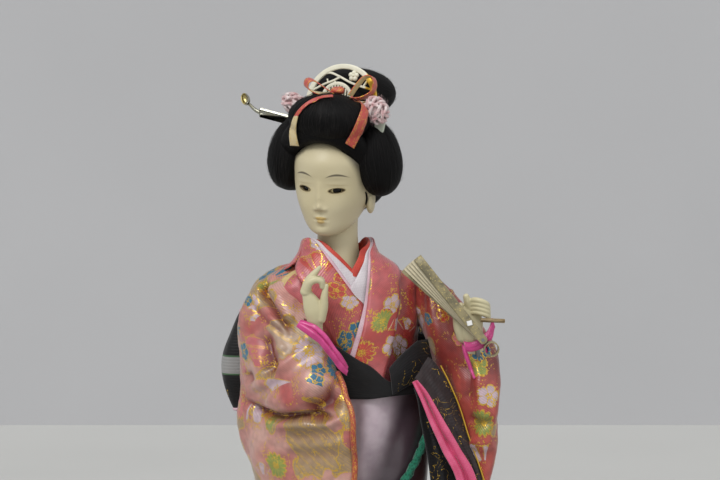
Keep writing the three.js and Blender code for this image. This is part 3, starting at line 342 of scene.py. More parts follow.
# Folds pressed into a cloth where the camera sees it. A fold is a line in the frame's pixels with a width
# and a depth in millimetres; a depth below zero raises a ridge. What lies deep is kept for the painted shade
# in the folds.
def pressFolds(piece, folds):
    mesh = piece.data
    shade = mesh.attributes.new("fold", "FLOAT", "POINT")
    lines = []
    for points, width, depth in folds:
        reach = width * 3 / 0.45
        xs, ys = [p[0] for p in points], [p[1] for p in points]
        lengths = [math.dist(a, b) for a, b in zip(points, points[1:])]
        box = (min(xs) - reach, max(xs) + reach, min(ys) - reach, max(ys) + reach)
        lines.append((points, width / 0.45, depth, lengths, sum(lengths), box))
    moves = []
    for vertex in mesh.vertices:
        facing = min(1, max(0, -vertex.normal.y * 2.5 + 0.3))
        move, deep = 0, 0
        if facing > 0:
            px, py = seenAt(vertex.co)
            for points, width, depth, lengths, total, box in lines:
                if not (box[0] < px < box[1] and box[2] < py < box[3]):
                    continue
                best, run, place = 1e9, 0, 0
                for (ax, ay), (bx, by), length in zip(points, points[1:], lengths):
                    share = ((px - ax) * (bx - ax) + (py - ay) * (by - ay)) / length**2
                    share = min(1, max(0, share))
                    away = math.hypot(ax + (bx - ax) * share - px, ay + (by - ay) * share - py)
                    if away < best:
                        best, place = away, (run + share * length) / total
                    run += length
                taper = min(1, 0.25 + 5 * place, 0.25 + 5 * (1 - place))
                fall = math.exp(-(best / width) ** 2) * taper
                move -= depth * fall
                deep = max(deep, fall * min(1, depth / 3.5))
        moves.append(vertex.normal * (move * facing / 1000))
        shade.data[vertex.index].value = deep * facing
    for vertex, move in zip(mesh.vertices, moves):
        vertex.co += move


# Small uneven waves, as handled cloth has
def crumple(piece, height, span, seed=0):
    moves = []
    for vertex in piece.data.vertices:
        place = vertex.co * (1000 / span) + Vector((seed, 0, 0))
        moves.append(vertex.normal * (noise.noise(place) * height / 1000))
    for vertex, move in zip(piece.data.vertices, moves):
        vertex.co += move


# The cloth map's coordinates under pixels of the frame
def clothSpots(piece, places):
    mesh = piece.data
    layer = mesh.uv_layers["cloth"].data
    seen = {}
    for polygon in mesh.polygons:
        if polygon.normal.y > -0.15:
            continue
        for loop in polygon.loop_indices:
            index = mesh.loops[loop].vertex_index
            if index not in seen:
                seen[index] = (*seenAt(mesh.vertices[index].co), *layer[loop].uv)
    spots = []
    for px, py in places:
        nearest = min(seen.values(), key=lambda s: (s[0] - px) ** 2 + (s[1] - py) ** 2)
        spots.append((nearest[2], nearest[3]))
    return spots


# A strip between two edges, each row one point of both in millimetres; rise is its height towards the viewer
def edgeStrip(name, rows, steps, across, rise=lambda share, k: 0):
    rings = []
    for k in range(steps + 1):
        place = blendRows(rows, k / steps)
        left, right = Vector(place[:3]), Vector(place[3:])
        shares = [i / across for i in range(across + 1)]
        rings.append([mm(*(left.lerp(right, share) - Vector((0, rise(share, k), 0)))) for share in shares])
    return clothGrid(name, rings, closed=False)


# Motifs whose places are pixels of the frame, moved to the cloth's own map
def placeMotifs(piece, listed):
    spots = clothSpots(piece, [(m[1], m[2]) for m in listed])
    return [(m[0], spot, *m[3:]) for m, spot in zip(listed, spots)]


def pixelEdges(rows):
    return [(*atPixel(*left), *atPixel(*right)) for left, right in rows]


print("Camera and tools ready")

# Floor, wall and light
surroundings = {
    "wallAway": 1773,  # the wall behind the table
    "wall": "#b4b4b5",
    "table": "#bdbdba",
    "world": 0.62,
    "keyStrength": 1.75,
    "fillStrength": 0.55,
}


def stagePlane(name, size, place, turn, colour):
    bpy.ops.mesh.primitive_plane_add(size=size, location=place, rotation=turn)
    plane = bpy.context.object
    plane.name = name
    material, tree, shader = newMaterial(name + "_paint", colour, 0.9, {"Specular IOR Level": 0.1})
    place = addNode(tree, "TexCoord", out=3)
    cloud = addNode(tree, "TexNoise", {"Vector": place, "Scale": 1.5, "Detail": 3})
    shade = addNode(tree, "MapRange", {0: cloud, 1: 0.3, 2: 0.7, 3: 0.96, 4: 1.03})
    paint = addNode(tree, "Mix", {0: 1, 6: colour, 7: shade}, **multiplied)
    tree.links.new(paint, shader.inputs["Base Color"])
    # Clear from behind, so that the wall doesn't hide the doll's back
    behind = addNode(tree, "NewGeometry", out=6)
    clear = addNode(tree, "BsdfTransparent")
    oneSided = addNode(tree, "MixShader", {0: behind, 1: shader.outputs["BSDF"], 2: clear})
    tree.links.new(oneSided, tree.nodes["Material Output"].inputs["Surface"])
    plane.data.materials.append(material)
    return plane


wallPlace = (0, surroundings["wallAway"] / 1000, 0)
stagePlane("table_top", 12, (0, 0, 0), (0, 0, 0), surroundings["table"])
stagePlane("back_wall", 12, wallPlace, (math.pi / 2, 0, 0), surroundings["wall"])
world = bpy.data.worlds.new("studio")
scene.world = world
world.use_nodes = True
world.node_tree.nodes["Background"].inputs["Color"].default_value = hexColour("#f4f5f8")
world.node_tree.nodes["Background"].inputs["Strength"].default_value = surroundings["world"]
for name, strength, spread, turn in (
    ("key", surroundings["keyStrength"], 24, (44, 0, -34)),
    ("fill", surroundings["fillStrength"], 70, (58, 0, 48)),
):
    bpy.ops.object.light_add(type="SUN", rotation=[math.radians(a) for a in turn])
    lamp = bpy.context.object
    lamp.name = name
    lamp.data.energy = strength
    lamp.data.angle = math.radians(spread)
print("Light and backdrop ready")


# Motifs of the brocade: node groups that draw one motif of radius 1 round their place
def motifGroup(name, draw):
    group = bpy.data.node_groups.new(name, "ShaderNodeTree")
    for label in ("Place", "Petals"):
        kind = "NodeSocketVector" if label == "Place" else "NodeSocketFloat"
        group.interface.new_socket(label, in_out="INPUT", socket_type=kind)
    for label in ("Fill", "Gold"):
        group.interface.new_socket(label, in_out="OUTPUT", socket_type="NodeSocketFloat")
    start = group.nodes.new("NodeGroupInput")
    end = group.nodes.new("NodeGroupOutput")
    fill, gold = draw(group, start.outputs["Place"], start.outputs["Petals"])
    group.links.new(fill, end.inputs["Fill"])
    group.links.new(gold, end.inputs["Gold"])
    return group


# Round petals with gold between and round them, and a gold heart
def drawBlossom(tree, place, petals):
    parts = addNode(tree, "SeparateXYZ", {0: place}, out=None)
    angle = addNode(tree, "Math", {0: parts.outputs[1], 1: parts.outputs[0]}, operation="ARCTAN2")
    reach = addNode(tree, "VectorMath", {0: place}, out=1, operation="LENGTH")
    half = addNode(tree, "Math", {0: petals, 1: 0.5}, operation="MULTIPLY")
    turn = addNode(tree, "Math", {0: angle, 1: half}, operation="MULTIPLY")
    swing = addNode(tree, "Math", {0: turn}, operation="COSINE")
    wave = addNode(tree, "Math", {0: swing}, operation="ABSOLUTE")
    bulge = addNode(tree, "Math", {0: wave, 1: 0.45}, operation="POWER")
    outline = addNode(tree, "Math", {0: bulge, 1: 0.36, 2: 0.62}, operation="MULTIPLY_ADD")
    fill = addNode(tree, "Math", {0: reach, 1: outline}, operation="LESS_THAN")
    edge = addNode(tree, "Math", {0: reach, 1: outline, 2: 0.1}, operation="COMPARE")
    narrow = addNode(tree, "Math", {0: wave, 1: reach}, operation="MULTIPLY")
    between = addNode(tree, "Math", {0: narrow, 1: 0.1}, operation="LESS_THAN")
    inside = addNode(tree, "Math", {0: between, 1: fill}, operation="MULTIPLY")
    heart = addNode(tree, "Math", {0: reach, 1: 0.2, 2: 0.09}, operation="COMPARE")
    lines = addNode(tree, "Math", {0: edge, 1: inside}, operation="MAXIMUM")
    return fill, addNode(tree, "Math", {0: lines, 1: heart}, operation="MAXIMUM")


# Separate ribs that spread from a point below, each with a gold outline
def drawFan(tree, place, petals):
    lifted = addNode(tree, "VectorMath", {0: place, 1: (0, 1.1, 0)}, operation="ADD")
    parts = addNode(tree, "SeparateXYZ", {0: lifted}, out=None)
    angle = addNode(tree, "Math", {0: parts.outputs[0], 1: parts.outputs[1]}, operation="ARCTAN2")
    reach = addNode(tree, "VectorMath", {0: lifted}, out=1, operation="LENGTH")
    turn = addNode(tree, "Math", {0: angle, 1: petals}, operation="MULTIPLY")
    swing = addNode(tree, "Math", {0: turn}, operation="COSINE")
    wide = addNode(tree, "Math", {0: angle, 1: 0.0, 2: 0.8}, operation="COMPARE")
    outer = addNode(tree, "Math", {0: swing, 1: 0.12, 2: 1.82}, operation="MULTIPLY_ADD")
    short = addNode(tree, "Math", {0: reach, 1: outer}, operation="LESS_THAN")
    far = addNode(tree, "Math", {0: reach, 1: 0.55}, operation="GREATER_THAN")
    band = addNode(tree, "Math", {0: short, 1: far}, operation="MULTIPLY")
    sector = addNode(tree, "Math", {0: band, 1: wide}, operation="MULTIPLY")
    rib = addNode(tree, "Math", {0: swing, 1: -0.35}, operation="GREATER_THAN")
    fill = addNode(tree, "Math", {0: rib, 1: sector}, operation="MULTIPLY")
    side = addNode(tree, "Math", {0: swing, 1: -0.35, 2: 0.22}, operation="COMPARE")
    sideLine = addNode(tree, "Math", {0: side, 1: sector}, operation="MULTIPLY")
    rim = addNode(tree, "Math", {0: reach, 1: outer, 2: 0.06}, operation="COMPARE")
    rimLine = addNode(tree, "Math", {0: rim, 1: wide}, operation="MULTIPLY")
    return fill, addNode(tree, "Math", {0: sideLine, 1: rimLine}, operation="MAXIMUM")


# An uneven patch with a gold edge and fine gold twill inside
def drawCloud(tree, place, petals):
    wander = addNode(tree, "TexNoise", {"Vector": place, "Scale": 1.4, "Detail": 1}, out=1)
    drift = addNode(tree, "VectorMath", {0: wander, 1: (0.5, 0.5, 0.5)}, operation="SUBTRACT")
    pushed = addNode(tree, "VectorMath", {0: drift, 3: 1.3}, operation="SCALE")
    moved = addNode(tree, "VectorMath", {0: place, 1: pushed}, operation="ADD")
    flat = addNode(tree, "VectorMath", {0: moved, 1: (1, 1, 0)}, operation="MULTIPLY")
    reach = addNode(tree, "VectorMath", {0: flat}, out=1, operation="LENGTH")
    fill = addNode(tree, "Math", {0: reach, 1: 0.85}, operation="LESS_THAN")
    edge = addNode(tree, "Math", {0: reach, 1: 0.85, 2: 0.035}, operation="COMPARE")
    slant = addNode(tree, "VectorMath", {0: place, 1: (0.6, 0.8, 0)}, out=1, operation="DOT_PRODUCT")
    count = addNode(tree, "Math", {0: slant, 1: petals}, operation="MULTIPLY")
    swing = addNode(tree, "Math", {0: count}, operation="SINE")
    lines = addNode(tree, "Math", {0: swing, 1: 0.55}, operation="GREATER_THAN")
    twill = addNode(tree, "Math", {0: lines, 1: fill}, operation="MULTIPLY")
    faint = addNode(tree, "Math", {0: twill, 1: 0.45}, operation="MULTIPLY")
    return fill, addNode(tree, "Math", {0: edge, 1: faint}, operation="MAXIMUM")


motifs = {
    "blossom": motifGroup("blossom_motif", drawBlossom),
    "fan": motifGroup("fan_motif", drawFan),
    "cloud": motifGroup("cloud_motif", drawCloud),
}
motifReach = {"blossom": 1.06, "fan": 1.4, "cloud": 1.7}  # how far out a motif draws, in its own radius
dyes = {
    "coral": "#b63a2c",
    "rose": "#c0666a",
    "beige": "#ad927c",
    "lilac": "#bda5ac",
    "blue": "#1d6482",
    "green": "#87913f",
    "gold": "#d3ac40",
    # deep red of the painted shade in the folds
    "foldShade": "#650a0c",
    "sand": "#9d8262",
}


# Yuzen-style brocade: silk satin with printed flowers, outlined in couched gold thread. The eye gets a soft
# broad gleam from the satin and hard sparks from the gold. Each spot belongs to one motif at most, so every
# motif only hands on its own coordinates, dye and form, and the three forms are drawn once at the end.
def brocade(name, light, deep, placed=(), spacing=26, patches=0.5, offset=0.0, bare=0.35, shadedSide=None):
    material, tree, shader = newMaterial(
        name, light, 0.36, {"Sheen Weight": 0.25, "Sheen Roughness": 0.35, "Specular IOR Level": 0.75}
    )
    cloth = addNode(tree, "UVMap", uv_map="cloth")
    shifted = addNode(tree, "VectorMath", {0: cloth, 1: (offset, offset * 0.7, 0)}, operation="ADD")
    place, tint, form = (9, 9, 0), light, (0, 5, 0)
    for size, petals, share, shift in ((3.4, 5, 0.6, 90), (5.8, 5, 0.85, 0), (6, 14, 1.3, 40)):
        moved = addNode(tree, "VectorMath", {0: shifted, 1: (shift, shift, 0)}, operation="ADD")
        sockets = {"Vector": moved, "Scale": 1 / (spacing * share), "Randomness": 0.7}
        cells = addNode(tree, "TexVoronoi", sockets, out=None, voronoi_dimensions="2D")
        away = addNode(tree, "VectorMath", {0: moved, 1: cells.outputs["Position"]}, operation="SUBTRACT")
        flat = addNode(tree, "VectorMath", {0: away, 1: (1 / size, 1 / size, 0)}, operation="MULTIPLY")
        chance = addNode(tree, "SeparateColor", {0: cells.outputs["Color"]}, out=None)
        angle = addNode(tree, "Math", {0: chance.outputs[0], 1: 6.28}, operation="MULTIPLY")
        turned = addNode(tree, "VectorRotate", {0: flat, 3: angle}, rotation_type="Z_AXIS")
        ramp = addNode(tree, "ValToRGB", {0: chance.outputs[1]}, out=None)
        ramp.color_ramp.interpolation = "CONSTANT"
        tints = ("lilac", "blue", "coral", "lilac", "green", "rose")
        for k, dye in enumerate(tints):
            stop = ramp.color_ramp.elements[k] if k < 2 else ramp.color_ramp.elements.new(k / len(tints))
            stop.position = k / len(tints)
            stop.color = hexColour(dyes[dye])
        reach = addNode(tree, "VectorMath", {0: turned}, out=1, operation="LENGTH")
        near = addNode(tree, "Math", {0: reach, 1: 1.06}, operation="LESS_THAN")
        kept = addNode(tree, "Math", {0: chance.outputs[2], 1: bare}, operation="GREATER_THAN")
        near = addNode(tree, "Math", {0: near, 1: kept}, operation="MULTIPLY")
        place = addNode(tree, "Mix", {0: near, 4: place, 5: turned}, out=1, data_type="VECTOR")
        tint = addNode(tree, "Mix", {0: near, 6: tint, 7: ramp.outputs[0]}, **blended)
        form = addNode(tree, "Mix", {0: near, 4: form, 5: (0, petals, 0)}, out=1, data_type="VECTOR")
    for kind, (u, v), size, turn, dye, petals in placed:
        sockets = {0: cloth, 1: (u, v, 0), 2: (0, 0, math.radians(turn)), 3: (size, size, size)}
        local = addNode(tree, "Mapping", sockets, vector_type="TEXTURE")
        reach = addNode(tree, "VectorMath", {0: local}, out=1, operation="LENGTH")
        near = addNode(tree, "Math", {0: reach, 1: motifReach[kind]}, operation="LESS_THAN")
        number = (list(motifReach).index(kind), petals, 0)
        place = addNode(tree, "Mix", {0: near, 4: place, 5: local}, out=1, data_type="VECTOR")
        tint = addNode(tree, "Mix", {0: near, 6: tint, 7: dyes[dye]}, **blended)
        form = addNode(tree, "Mix", {0: near, 4: form, 5: number}, out=1, data_type="VECTOR")
    formParts = addNode(tree, "SeparateXYZ", {0: form}, out=None)
    fill, gold = None, None
    for k, kind in enumerate(motifReach):
        drawn = addNode(tree, "Group", out=None)
        drawn.node_tree = motifs[kind]
        tree.links.new(place, drawn.inputs["Place"])
        tree.links.new(formParts.outputs[1], drawn.inputs["Petals"])
        isThis = addNode(tree, "Math", {0: formParts.outputs[0], 1: k, 2: 0.3}, operation="COMPARE")
        for part, label in enumerate(("Fill", "Gold")):
            ours = addNode(tree, "Math", {0: drawn.outputs[label], 1: isThis}, operation="MULTIPLY")
            if part == 0:
                fill = ours if fill is None else addNode(
                    tree, "Math", {0: fill, 1: ours}, operation="MAXIMUM"
                )
            else:
                gold = ours if gold is None else addNode(
                    tree, "Math", {0: gold, 1: ours}, operation="MAXIMUM"
                )
    # The ground: two dyes that run into each other, darkened as painted shade towards one side where
    # shadedSide is given, with patches of gold twill
    broad = addNode(tree, "TexNoise", {"Vector": shifted, "Scale": 1 / 34, "Detail": 2})
    dyed = addNode(tree, "MapRange", {0: broad, 1: 0.38, 2: 0.62})
    # Painted shade: across the map from the first to the second value of shadedSide the ground turns to the
    # deep tint
    if shadedSide:
        aside = addNode(tree, "SeparateXYZ", {0: cloth}, out=None)
        turned = addNode(tree, "MapRange", {0: aside.outputs[0], 1: shadedSide[0], 2: shadedSide[1]})
        dyed = addNode(tree, "Math", {0: dyed, 1: turned}, operation="MAXIMUM")
    colour = addNode(tree, "Mix", {0: dyed, 6: light, 7: deep}, **blended)
    ground = addNode(tree, "TexNoise", {"Vector": shifted, "Scale": 1 / 22, "Detail": 1})
    isPatch = addNode(tree, "Math", {0: ground, 1: patches}, operation="GREATER_THAN")
    slant = addNode(tree, "VectorMath", {0: cloth, 1: (2.6, 3.2, 0)}, out=1, operation="DOT_PRODUCT")
    ribs = addNode(tree, "Math", {0: slant}, operation="SINE")
    ribLines = addNode(tree, "Math", {0: ribs, 1: 0.6}, operation="GREATER_THAN")
    patchLines = addNode(tree, "Math", {0: ribLines, 1: isPatch}, operation="MULTIPLY")
    colour = addNode(tree, "Mix", {0: isPatch, 6: colour, 7: dyes["sand"]}, **blended)
    patchEdge = addNode(tree, "Math", {0: ground, 1: patches, 2: 0.008}, operation="COMPARE")
    faint = addNode(tree, "Math", {0: patchLines, 1: 0.35}, operation="MULTIPLY")
    groundGold = addNode(tree, "Math", {0: patchEdge, 1: faint}, operation="MAXIMUM")
    bareShare = addNode(tree, "Math", {0: 1.0, 1: fill}, operation="SUBTRACT")
    keptGold = addNode(tree, "Math", {0: groundGold, 1: bareShare}, operation="MULTIPLY")
    gold = addNode(tree, "Math", {0: keptGold, 1: gold}, operation="MAXIMUM")
    colour = addNode(tree, "Mix", {0: fill, 6: colour, 7: tint}, **blended)
    # Gold thread breaks up into glittering stitches, and some are scattered over the ground
    stitches = addNode(tree, "TexVoronoi", {"Vector": cloth, "Scale": 1.8}, out=None, voronoi_dimensions="2D")
    dot = addNode(tree, "Math", {0: stitches.outputs["Distance"], 1: 0.56}, operation="LESS_THAN")
    lot = addNode(tree, "SeparateColor", {0: stitches.outputs["Color"]}, out=None)
    sewn = addNode(tree, "Math", {0: lot.outputs[0], 1: 0.9}, operation="LESS_THAN")
    gold = addNode(tree, "Math", {0: gold, 1: sewn}, operation="MULTIPLY")
    strewn = addNode(tree, "TexNoise", {"Vector": shifted, "Scale": 1 / 7, "Detail": 1})
    here = addNode(tree, "MapRange", {0: strewn, 1: 0.52, 2: 0.7, 3: 0, 4: 0.4})
    loose = addNode(tree, "Math", {0: lot.outputs[1], 1: here}, operation="LESS_THAN")
    gold = addNode(tree, "Math", {0: gold, 1: loose}, operation="MAXIMUM")
    gold = addNode(tree, "Math", {0: gold, 1: dot}, operation="MULTIPLY")
    # Twill rows 0.9 mm apart, coarser than the real 0.3 mm so that they show
    rows = addNode(tree, "VectorMath", {0: cloth, 1: (4.4, 5.4, 0)}, out=1, operation="DOT_PRODUCT")
    weave = addNode(tree, "Math", {0: rows}, operation="SINE")
    mottle = addNode(tree, "TexNoise", {"Vector": cloth, "Scale": 0.35, "Detail": 3})
    tone = addNode(tree, "MapRange", {0: mottle, 1: 0.3, 2: 0.7, 3: 0.8, 4: 1.12})
    threaded = addNode(tree, "Math", {0: weave, 1: 0.09, 2: tone}, operation="MULTIPLY_ADD")
    colour = addNode(tree, "Mix", {0: 1, 6: colour, 7: threaded}, **multiplied)
    # Painted shade: where a pressed fold lies deep, the colour darkens towards deep red
    depth = addNode(tree, "Attribute", out=2, attribute_name="fold")
    shaded = addNode(tree, "Math", {0: depth, 1: 0.95}, operation="MULTIPLY")
    colour = addNode(tree, "Mix", {0: shaded, 6: colour, 7: dyes["foldShade"]}, **blended)
    colour = addNode(tree, "Mix", {0: gold, 6: colour, 7: dyes["gold"]}, **blended)
    tree.links.new(colour, shader.inputs["Base Color"])
    metal = addNode(tree, "Math", {0: gold, 1: 0.7}, operation="MULTIPLY")
    tree.links.new(metal, shader.inputs["Metallic"])
    rough = addNode(tree, "MapRange", {0: gold, 3: 0.36, 4: 0.28})
    tree.links.new(rough, shader.inputs["Roughness"])
    height = addNode(tree, "Math", {0: weave, 1: 0.25, 2: mottle}, operation="MULTIPLY_ADD")
    raised = addNode(tree, "Math", {0: gold, 1: 1.2, 2: height}, operation="MULTIPLY_ADD")
    bump = addNode(tree, "Bump", {"Height": raised, "Strength": 0.5, "Distance": 0.00025})
    tree.links.new(bump, shader.inputs["Normal"])
    return material


# Plain woven silk or satin: fine rows across the map, with an uneven gleam
def plainCloth(name, colour, deep, roughness, extra=None, threads=5.0, strength=0.3):
    material, tree, shader = newMaterial(name, colour, roughness, extra)
    cloth = addNode(tree, "UVMap", uv_map="cloth")
    parts = addNode(tree, "SeparateXYZ", {0: cloth}, out=None)
    warp = addNode(tree, "Math", {0: parts.outputs[0], 1: threads}, operation="MULTIPLY")
    weft = addNode(tree, "Math", {0: parts.outputs[1], 1: threads * 1.2}, operation="MULTIPLY")
    warpWave = addNode(tree, "Math", {0: warp}, operation="SINE")
    weftWave = addNode(tree, "Math", {0: weft}, operation="SINE")
    weave = addNode(tree, "Math", {0: warpWave, 1: weftWave}, operation="MULTIPLY")
    mottle = addNode(tree, "TexNoise", {"Vector": cloth, "Scale": 0.16, "Detail": 4})
    shade = addNode(tree, "MapRange", {0: mottle, 1: 0.35, 2: 0.7})
    tint = addNode(tree, "Mix", {0: shade, 6: colour, 7: deep}, **blended)
    tone = addNode(tree, "MapRange", {0: weave, 1: -1, 2: 1, 3: 0.93, 4: 1.05})
    tint = addNode(tree, "Mix", {0: 1, 6: tint, 7: tone}, **multiplied)
    tree.links.new(tint, shader.inputs["Base Color"])
    height = addNode(tree, "Math", {0: weave, 1: 0.3, 2: mottle}, operation="MULTIPLY_ADD")
    bump = addNode(tree, "Bump", {"Height": height, "Strength": strength, "Distance": 0.0003})
    tree.links.new(bump, shader.inputs["Normal"])
    return material


satinLook = {"Sheen Weight": 0.35, "Sheen Roughness": 0.3, "Specular IOR Level": 0.6}
crepeLook = {"Sheen Weight": 0.2, "Specular IOR Level": 0.25}
# Red silk over the hem's padding and the pink satin of the linings
redPadding = plainCloth("red_silk_padding", "#b8352b", "#8f1f1b", 0.5, satinLook)
pinkSatin = plainCloth("pink_satin", "#d3458c", "#a92a66", 0.36, satinLook, strength=0.2)
print("Brocade and satins ready")

# Display board: a wooden slab in black lacquer, with a scratched line round its top
boardForm = {"width": 180, "depth": 150, "corner": 8, "bevel": 1.6, "lineAway": 6, "lineDeep": 0.5}
size = Vector((boardForm["width"], boardForm["depth"], boardTop)) / 1000
bpy.ops.mesh.primitive_cube_add(size=1, location=(0, 0, size.z / 2), scale=size)
boardPiece = bpy.context.object
boardPiece.name = "lacquered_board"
bpy.ops.object.transform_apply(location=True, rotation=True, scale=True)
bpy.ops.object.mode_set(mode="EDIT")
bpy.ops.mesh.select_mode(type="EDGE")


def pickEdges(piece, wanted):
    mesh = bmesh.from_edit_mesh(piece.data)
    for edge in mesh.edges:
        edge.select = wanted(edge)
    mesh.select_flush_mode()
    bmesh.update_edit_mesh(piece.data)


def pickFaces(piece, wanted):
    mesh = bmesh.from_edit_mesh(piece.data)
    for face in mesh.faces:
        face.select = wanted(face)
    bmesh.update_edit_mesh(piece.data)


pickEdges(boardPiece, lambda e: abs(e.verts[0].co.z - e.verts[1].co.z) > 0.01)
bpy.ops.mesh.bevel(offset=boardForm["corner"] / 1000, segments=10)
pickEdges(boardPiece, lambda e: abs(e.verts[0].co.z - e.verts[1].co.z) < 1e-5)
bpy.ops.mesh.bevel(offset=boardForm["bevel"] / 1000, segments=4)
bpy.ops.mesh.select_mode(type="FACE")
pickFaces(boardPiece, lambda f: f.normal.z > 0.99 and f.calc_area() > 0.001)
bpy.ops.mesh.inset(thickness=boardForm["lineAway"] / 1000)
for _ in range(2):
    bpy.ops.mesh.inset(thickness=0.0006)
bpy.ops.object.mode_set(mode="OBJECT")
lineOut = boardForm["lineAway"] + boardForm["bevel"] + 0.6
for vertex in boardPiece.data.vertices:
    x = boardForm["width"] / 2 - abs(vertex.co.x * 1000)
    y = boardForm["depth"] / 2 - abs(vertex.co.y * 1000)
    if vertex.co.z > size.z - 1e-5 and abs(min(x, y) - lineOut) < 0.15:
        vertex.co.z -= boardForm["lineDeep"] / 1000
boardPiece.data.shade_smooth()
bpy.ops.object.shade_smooth_by_angle(angle=math.radians(40))
# Urushi lacquer on wood, brushed and polished: a black mirror with a faint orange-peel wave
lacquer, tree, shader = newMaterial(
    "polished_urushi", "#15110f", 0.12, {"Coat Weight": 0.8, "Coat Roughness": 0.05}
)
place = addNode(tree, "TexCoord", out=3)
peel = addNode(tree, "TexNoise", {"Vector": place, "Scale": 240, "Detail": 2})
dust = addNode(tree, "TexNoise", {"Vector": place, "Scale": 30, "Detail": 6})
haze = addNode(tree, "MapRange", {0: dust, 1: 0.4, 2: 0.75, 3: 0.1, 4: 0.26})
tree.links.new(haze, shader.inputs["Roughness"])
wave = addNode(tree, "Bump", {"Height": peel, "Strength": 0.06, "Distance": 0.0003})
tree.links.new(wave, shader.inputs["Normal"])
dress(boardPiece, "figure", "black_lacquer", lacquer, "display_board")

# Bare steel rods and wires, drawn through a die: grey, with fine lines along them
steel, tree, shader = newMaterial("drawn_steel_wire", "#8f9194", 0.4, {"Metallic": 1.0})
place = addNode(tree, "TexCoord", out=3)
long = addNode(tree, "Mapping", {0: place, 3: (900, 900, 40)})
streak = addNode(tree, "TexNoise", {"Vector": long, "Scale": 1.0, "Detail": 3})
rough = addNode(tree, "MapRange", {0: streak, 3: 0.3, 4: 0.55})
tree.links.new(rough, shader.inputs["Roughness"])
for name in ("leg_rod_right", "leg_rod_left", "spine_rod", "arm_wire_left", "fan_rivet"):
    paintNode(name, steel)

# Feet in split-toe socks
foot = {"spread": 12, "length": 46, "width": 17, "height": 15, "toe": 58}
# White cotton of the socks, a plain close weave
sockCotton = plainCloth("white_sock_cotton", "#e6e2da", "#d3cec4", 0.85, crepeLook, threads=4.2)
for name, side in (("right", -1), ("left", 1)):
    x, middle = side * foot["spread"], foot["length"] / 2 - foot["toe"]
    shares = (
        (0.03, 0, 0.42, 0.46), (0.25, 0, 0.5, 0.5), (0.6, 3, 0.44, 0.4), (0.95, 9, 0.36, 0.25),
        (1.6, 14, 0.34, 0.17),
    )
    rows = [
        [foot["height"] * z, x, middle + y, foot["width"] * w, foot["length"] * d, 0] for z, y, w, d in shares
    ]
    sock = clothGrid(f"split_toe_sock_{name}", levelRings(rows, 0, 30, 56), caps=True)
    for vertex in sock.data.vertices:
        across = vertex.co.x * 1000 - (x - side * foot["width"] * 0.16)
        forward = -vertex.co.y * 1000 - (foot["toe"] - 17)
        if forward > 0:
            pull = math.exp(-(across / 1.1) ** 2) * min(1, forward / 5)
            vertex.co.y += 0.004 * pull
            vertex.co.z -= 0.0028 * pull * (vertex.co.z * 1000 > boardTop + 4)
    applyEdit(sock)
    dress(sock, "figure", "white_sock", sockCotton, f"sock_foot_{name}")

# Wound straw of the body, seen only from below and through the sleeves' mouths
straw, tree, shader = newMaterial("wound_rice_straw", "#c3aa72", 0.85)
place = addNode(tree, "TexCoord", out=3)
long = addNode(tree, "Mapping", {0: place, 3: (500, 500, 14)})
fibre = addNode(tree, "TexNoise", {"Vector": long, "Scale": 1.0, "Detail": 4})
tint = addNode(tree, "Mix", {0: fibre, 6: "#a88b55", 7: "#d8c48f"}, **blended)
tree.links.new(tint, shader.inputs["Base Color"])
bump = addNode(tree, "Bump", {"Height": fibre, "Strength": 0.6, "Distance": 0.0006})
tree.links.new(bump, shader.inputs["Normal"])
torsoTurn = 22
torsoRows = [[*row, torsoTurn] for row in (
    (214.4, -1, 0, 20, 16), (232, 1, 0, 20, 16), (250, 2, 0, 19, 15), (267, 0, 0, 20, 15),
    (282, -3, 0, 24, 15.5), (294, -6, 0, 30, 15), (302, -8, 0, 34, 13.5), (307, -9.5, -0.5, 32, 12),
    (312, -12, -1.5, 22, 11.5), (316, -14, -2.5, 14, 11),
)]
legRows = [
    [70, -2, 2, 26, 21, 0], [130, -2, 1, 23, 18.5, 0], [180, -1.5, 0, 21.5, 17, 10],
    [214, -1, 0, 20, 16, torsoTurn],
]


def strawRidges(angle, z):
    tie = 0.8 * math.exp(-(((z + 4 * math.sin(angle)) % 18 - 9) / 1.4) ** 2)
    return 0.35 * math.sin(38 * angle + z * 0.06) - tie - 0.4


for name, rows, top in (("straw_core_legs", legRows, 1), ("straw_core_torso", torsoRows, 0.9)):
    bundle = clothGrid(
        name.replace("core", "bundle"), levelRings(rows, 0, 70, 152, strawRidges, end=top), caps=True
    )
    dress(bundle, "figure", "straw", straw, name)

# Skirt: it flares to a padded hem that trails on the board and rises over the feet
skirt = {
    "folds": 6, "foldDepth": 2.4, "foldTop": 150, "levels": 110, "sides": 216,
    "archHalf": (27.2, 36, 24), "archY": -40,
}
skirtRows = [
    [4.8, -2, 5, 64, 53, 0], [14, -2, 5, 57, 47, 0], [36, -2, 4, 45, 38, 0], [70, -2, 3, 35, 29.5, 0],
    [110, -2, 2, 29, 24.5, 0], [150, -2, 1, 26.5, 22, 4], [190, -1.5, 0, 24.5, 20, 14],
    [232, 1, 0, 24.4, 20.4, torsoTurn],
]


def skirtFolds(angle, z):
    fade = max(0, 1 - z / skirt["foldTop"])
    wide = skirt["foldDepth"] * fade * math.sin(skirt["folds"] * angle + 0.6 + z * 0.012)
    return wide + 0.7 * fade * math.sin(11 * angle - z * 0.03) + 0.25 * math.sin(5 * angle + z * 0.09)


# The skirt from the hem up at one angle; over the feet it starts on the arch.
def skirtPoint(angle, share, extra):
    row = blendRows(skirtRows, share)
    return ringPoint(row, angle, extra + skirtFolds(angle, row[0]))


def hemShare(angle, extra):
    for k in range(200):
        point = skirtPoint(angle, k / 400, extra) * 1000
        ax, ay, az = skirt["archHalf"]
        reach = (point.x / ax, (point.y - skirt["archY"]) / ay, (point.z - boardTop) / az)
        if sum(share**2 for share in reach) > 1:
            return max(0, k - 0.5) / 400
    return 0


